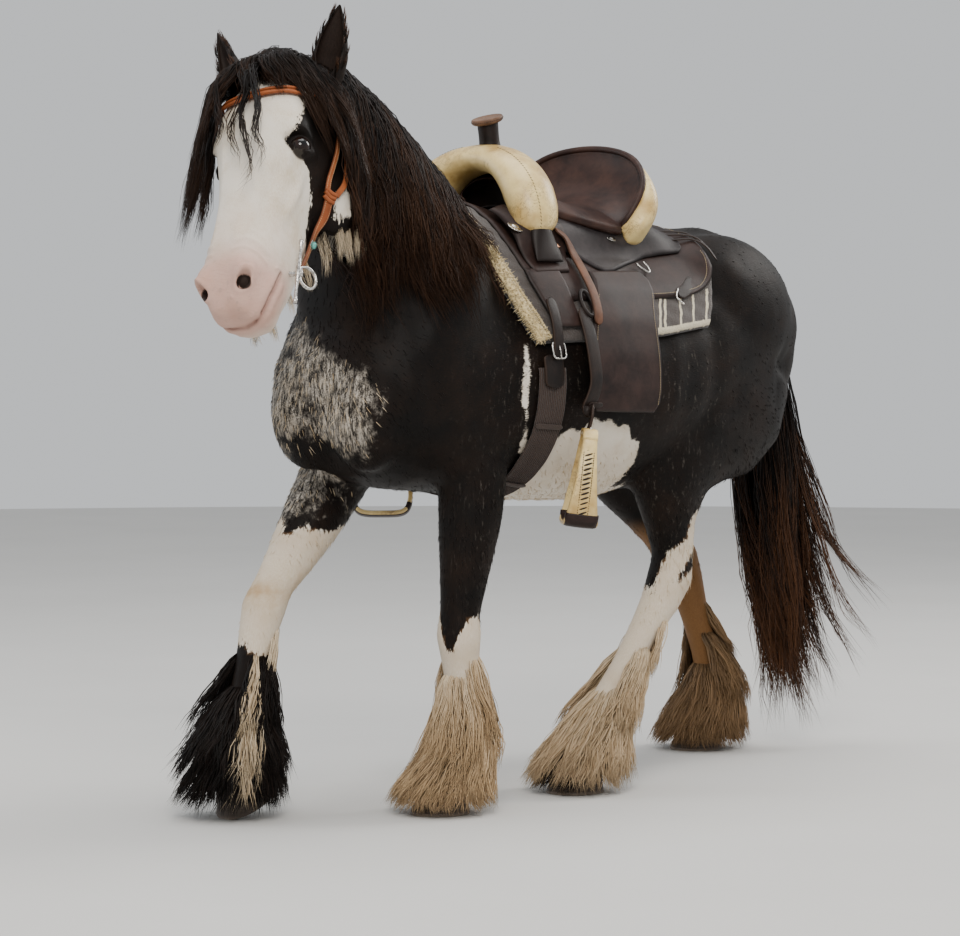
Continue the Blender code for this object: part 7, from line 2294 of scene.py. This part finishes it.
def makeStirrup(side, way):
    x, y, z = stirrup["top"]
    turn = Matrix.Translation((way * x, y, z)) @ Matrix.Rotation(math.radians(way * stirrup["turn"]), 4, "Z")
    turn = turn @ Matrix.Rotation(math.radians(stirrup["swing"]), 4, "X")
    own = turn.to_3x3()
    table, count = stirrup["loop"], stirrup["count"]
    fine = curveThrough(table[-2:] + table + table[:3], count * (len(table) + 5) // len(table) + 1)
    first = round(2 * count / len(table))
    fine = fine[first:first + count]
    row = [(turn @ Vector((x, 0, z)), own @ Vector((x, 0, z + 0.11)).normalized()) for x, z, w in fine]
    piece = strap("stirrup" + side, row, [float(w) for x, z, w in fine], stirrup["thick"], closed=True)
    finished(piece, creamRawhide, ("stirrup_" + side.lower(),))
    # Black lacing down the middle of each branch, dark ends and the bar above
    lifted = []
    for sign in (1, -1):
        branch = [pair for (x, z, w), pair in zip(fine, row) if x * sign > 0.03 and -0.190 < z < -0.006]
        branch.sort(key=lambda pair: -pair[0].z)
        lifted.append([(p + n * (stirrup["thick"] * 1.08) + n * 0.0016, n) for p, n in branch])
    stitches("stirrupLace" + side, lifted, 0.0118, (0.0052, 0.0230, 0.0040), blackLace, slant=0.42,
             steps=2)
    for letter, shift in (("B", -stirrup["seam"]), ("A", stirrup["seam"])):
        moved = [[(p + own @ Vector((0, shift, 0)), n) for p, n in branch] for branch in lifted]
        stitches("stirrupSeam" + side + letter, moved, 0.0060, (0.0052, 0.0022, 0.0022), blackLace,
                 steps=2)
    for name, low, high, grow, surface in (("stirrupHeel", -0.215, -0.186, 1.07, darkLeather),
                                           ("stirrupCap", -0.012, 0.01, 1.10, creamRawhide)):
        picked = sorted((i for i, (x, z, w) in enumerate(fine) if low < z < high), key=lambda i: fine[i][0])
        cover = [(row[i][0] - row[i][1] * 0.0008, row[i][1]) for i in picked]
        width = float(fine[picked[0]][2]) * grow
        finished(strap(name + side, cover, width, stirrup["thick"] * 1.22, steps=1), surface, ())
    bar = [turn @ Vector((x, 0, 0.016)) for x in (-0.030, 0, 0.030)]
    finished(tube("stirrupBar" + side, bar, 0.0042, 12), silver, ())
    hanger = [(drapeAt(-0.228, way * 108, 0.036), xAxis * way),
              (turn @ Vector((0, 0.004, 0.050)), own @ -yAxis),
              (turn @ Vector((0, 0.000, 0.012)), own @ -yAxis)]
    finished(strap("stirrupHanger" + side, hanger, 0.036, 0.0075), blackLeather)


for side, way in sides:
    makeStirrup(side, way)
print("stirrups made")

# Headstall, in the head's own frame: left, down, out
bridle = {
    "crown": [(0.104, 0.078, -0.128), (0.100, 0.030, -0.140), (0.074, -0.010, -0.146),
              (0.036, -0.030, -0.145),
              (0.0, -0.036, -0.144)],
    "brow": [(0.108, 0.082, -0.125), (0.112, 0.104, -0.072), (0.106, 0.118, -0.046), (0.090, 0.128, -0.010),
             (0.060, 0.136, 0.006), (0.030, 0.138, 0.012), (0.0, 0.138, 0.014)],
    "front": [(0.106, 0.070, -0.125), (0.110, 0.129, -0.160), (0.112, 0.181, -0.172), (0.111, 0.226, -0.172),
              (0.104, 0.265, -0.175), (0.099, 0.296, -0.184)],
    "rear": [(0.108, 0.110, -0.165), (0.106, 0.158, -0.198), (0.104, 0.190, -0.220), (0.110, 0.247, -0.221),
             (0.106, 0.290, -0.208)],
    "low": [(0.099, 0.290, -0.192), (0.090, 0.340, -0.204), (0.086, 0.380, -0.212), (0.085, 0.414, -0.222),
            (0.085, 0.455, -0.220), (0.086, 0.500, -0.196)],
    "throat": [(0.112, 0.050, -0.152), (0.122, 0.110, -0.172), (0.122, 0.165, -0.228), (0.103, 0.220, -0.276),
               (0.060, 0.262, -0.308), (0.0, 0.275, -0.318)],
    "ring": (0.100, 0.534, -0.176), "bar": (0.097, 0.536, -0.146), "ringRadius": 0.026, "barLength": 0.155,
    # buckles: place, width, height
    "buckles": [((0.110, 0.140, -0.163), 0.022, 0.020), ((0.110, 0.152, -0.194), 0.020, 0.018)],
    "stone": [(0.0082, 0.0), (0.0084, 0.0032), (0.0072, 0.0054), (0.0045, 0.0070), (0, 0.0076)],
    "mouthpiece": [0.0085, 0.0080, 0.0068, 0.0062, 0.0062, 0.0062, 0.0062, 0.0060, 0.0056],
}


def onHeadSkin(points, lift):
    row = []
    for p in points:
        here = headPoint(*p)
        place, normal, index, distance = skinTree.find_nearest(here)
        row.append((place + normal * (lift + body["coatDepth"]), normal))
    return row


def headStrap(name, points, width, lift, thick=0.0036):
    return strap(name, onHeadSkin(points, lift), width, thick)


def sideLine(key, way, inward=0.0):
    return [(way * left, down, out + inward) for left, down, out in bridle[key]]


def smoothTube(name, row, count, radius):
    # A tube along a row of (point, normal), plain leather without an edge
    points, normals = zip(*row)
    piece = tube(name, curveThrough(points, count), radius)
    addValues(piece, "edge", np.zeros(len(piece.data.vertices)))
    return piece


def makeCheek(side, way):
    def at(left, down, out, lift):
        return onHeadSkin([(way * left, down, out)], lift)[0]

    for k, (place, width, height) in enumerate(bridle["buckles"]):
        place, normal = at(*place, 0.0100)
        buckle("headBuckle%s%d" % (side, k + 1), place, headDown, normal, width, height)
    # The knot where the straps come together
    knot = []
    for k in range(3):
        row = [at(0.099, down + k * 0.009, out, 0.0095)
               for down, out in ((0.288, -0.176), (0.291, -0.192), (0.290, -0.208))]
        knot.append(smoothTube("turn", row, 12, 0.0052))
    finished(joined("cheekKnot" + side, knot), strapLeather, ())
    place, normal = at(0.085, 0.414, -0.222, 0.0090)
    makeConcho("cheekConcho" + side, place, normal, 0.0125, silver, 12)
    stone = lathe("cheekStone" + side, bridle["stone"], place + normal * 0.0030, normal, 32)
    finished(stone, turquoise, ())
    place, normal = at(0.104, 0.118, -0.052, 0.0110)
    makeConcho("browRosette" + side, place, normal, 0.0125, silver, 10)


def makeHeadstall():
    pieces = [headStrap("crown", both(bridle["crown"]), 0.020, 0.0030)]
    # The browband: a broad strap with two raised strands
    pieces.append(headStrap("brow", both(bridle["brow"]), 0.024, 0.0040, 0.0030))
    for shift in (-0.0065, 0.0065):
        row = onHeadSkin([(left, down + shift, out) for left, down, out in both(bridle["brow"])], 0.0085)
        pieces.append(smoothTube("strand", row, 110, 0.0034))
    for way in (1, -1):
        for key, width, lift, thick in (("front", 0.015, 0.0050, 0.0036), ("rear", 0.015, 0.0045, 0.0036),
                                        ("low", 0.022, 0.0050, 0.0046)):
            pieces.append(headStrap(key, sideLine(key, way), width, lift, thick))
    finished(joined("headstallStraps", pieces), strapLeather, ("headstall",))
    rows = []
    for way in (1, -1):
        for key, half, rise in (("front", 0.0052, 0.0036), ("low", 0.0082, 0.0046)):
            for sideways in (-half, half):
                row = onHeadSkin(sideLine(key, way, sideways), 0.0052)
                rows.append([(place + normal * rise, normal) for place, normal in row])
    stitches("headstallStitches", rows, 0.0052, strapStitch, creamThread)
    row = []
    for left, down, out in both(bridle["throat"]):
        here = headPoint(left, down, out)
        row.append((here, (here - headPoint(0, down, -0.14)).normalized()))
    finished(strap("throatStrap", row, 0.013, 0.0036), strapLeather, ("throatlatch",))
    for side, way in sides:
        makeCheek(side, way)


def makeTurquoise():
    f = Finish("turquoiseStone", 0.22, Specular_IOR_Level=0.55)
    veins = 1.0 - f.cells(420, "DISTANCE_TO_EDGE").step(0.01, 0.06)
    tint = f.mix(color(0.05, 0.30, 0.27), color(0.16, 0.52, 0.45), f.noise(220, 3))
    return f.wire(Base_Color=f.mix(tint, color(0.06, 0.05, 0.03), veins * 0.7), Roughness=0.18 + veins * 0.3)


turquoise = makeTurquoise()


def makeBit(side, way):
    left, down, out = bridle["ring"]
    middle = headPoint(way * left, down, out)
    face = (headLeft * way + headOut * 0.18).normalized()
    first = (headDown - face * headDown.dot(face)).normalized()
    second = face.cross(first)
    radius = bridle["ringRadius"]
    pieces = [tube("ring", roundPath(middle, first, second, radius, radius, 56), 0.0035, 12, closed=True)]
    barLeft, barDown, barOut = bridle["bar"]
    half = bridle["barLength"] / 2
    upper, lower = (headPoint(way * (barLeft - 0.002 * k), barDown + k * half, barOut - 0.010 * k)
                    for k in (-1, 1))
    # The bar swells in its middle and ends in a bead
    swell = [0.0034 + 0.0026 * math.exp(-((i - 12) / 4) ** 2) for i in range(2, 23)]
    swell = [0.0052, 0.0058, *swell, 0.0058, 0.0052]
    pieces.append(tube("bar", [upper.lerp(lower, t) for t in np.linspace(0, 1, len(swell))], swell, 14))
    inner = headPoint(way * 0.060, down + 0.002, barOut + 0.006)
    outer = headPoint(way * (barLeft + 0.004), down, barOut - 0.012)
    radii = bridle["mouthpiece"]
    pieces.append(tube("mouthpiece", [outer.lerp(inner, t) for t in np.linspace(0, 1, len(radii))], radii,
                       14))
    finished(joined("bit" + side, pieces), silver, ("bit_" + side.lower(),))


makeHeadstall()
for side, way in sides:
    makeBit(side, way)
print("headstall and bit made")


# Floor, lights and camera: the photograph's own angle, in a plain soft studio

def makeFloor():
    # A disc
    radius, count = 14, 96
    floor = newObject("floor", roundPath(Vector(), xAxis, yAxis, radius, radius, count),
                      [tuple(range(count))])
    f = Finish("paleFloor", 0.75, Specular_IOR_Level=0.3)
    tint = f.mix(color(0.58, 0.57, 0.55), color(0.64, 0.63, 0.61), f.noise(1.4, 4))
    floor.data.materials.append(f.wire(Base_Color=tint, Normal=f.bump(f.noise(60, 4), 0.0015, 0.2)))


lighting = [
    # name, place, size, power, colour
    ("keyLight", (4.6, -4.8, 5.4), 3.0, 430, (1.0, 0.955, 0.89)),
    ("fillLight", (-5.5, -4.5, 3.2), 4.0, 110, (0.90, 0.95, 1.0)),
    ("rearLight", (1.5, 5.8, 4.6), 3.0, 240, (1.0, 0.97, 0.93)),
    ("topLight", (0.0, 0.0, 6.5), 4.5, 200, (1.0, 1.0, 1.0)),
]


def makeLights():
    for name, place, size, power, tint in lighting:
        lamp = bpy.data.lights.new(name, "AREA")
        lamp.shape, lamp.size, lamp.energy, lamp.color = "DISK", size, power, tint
        made = shown(name, lamp)
        made.location = place
        made.rotation_euler = (Vector((0, 0, 1.0)) - Vector(place)).to_track_quat("-Z", "Y").to_euler()
    world = bpy.data.worlds.new("studio")
    bpy.context.scene.world = world
    world.use_nodes = True
    backdrop = world.node_tree.nodes["Background"]
    backdrop.inputs["Color"].default_value = color(0.86, 0.88, 0.90)
    backdrop.inputs["Strength"].default_value = 0.80


def makeCamera():
    lens = bpy.data.cameras.new("camera")
    lens.lens, lens.sensor_width = 120, 36
    lens.clip_end = 60
    camera = shown("camera", lens)
    # It stands round to the horse's left, and looks a little down and aside
    turn, distance, height = 42, 8.1, 1.13
    down, aside = 2.237, 0.689
    way = math.radians(turn)
    camera.location = Vector((distance * math.sin(way), -0.1 - distance * math.cos(way), height)) + offset
    camera.rotation_euler = (math.radians(90 - down), 0, math.radians(turn + aside))
    bpy.context.scene.camera = camera


makeFloor()
makeLights()
makeCamera()
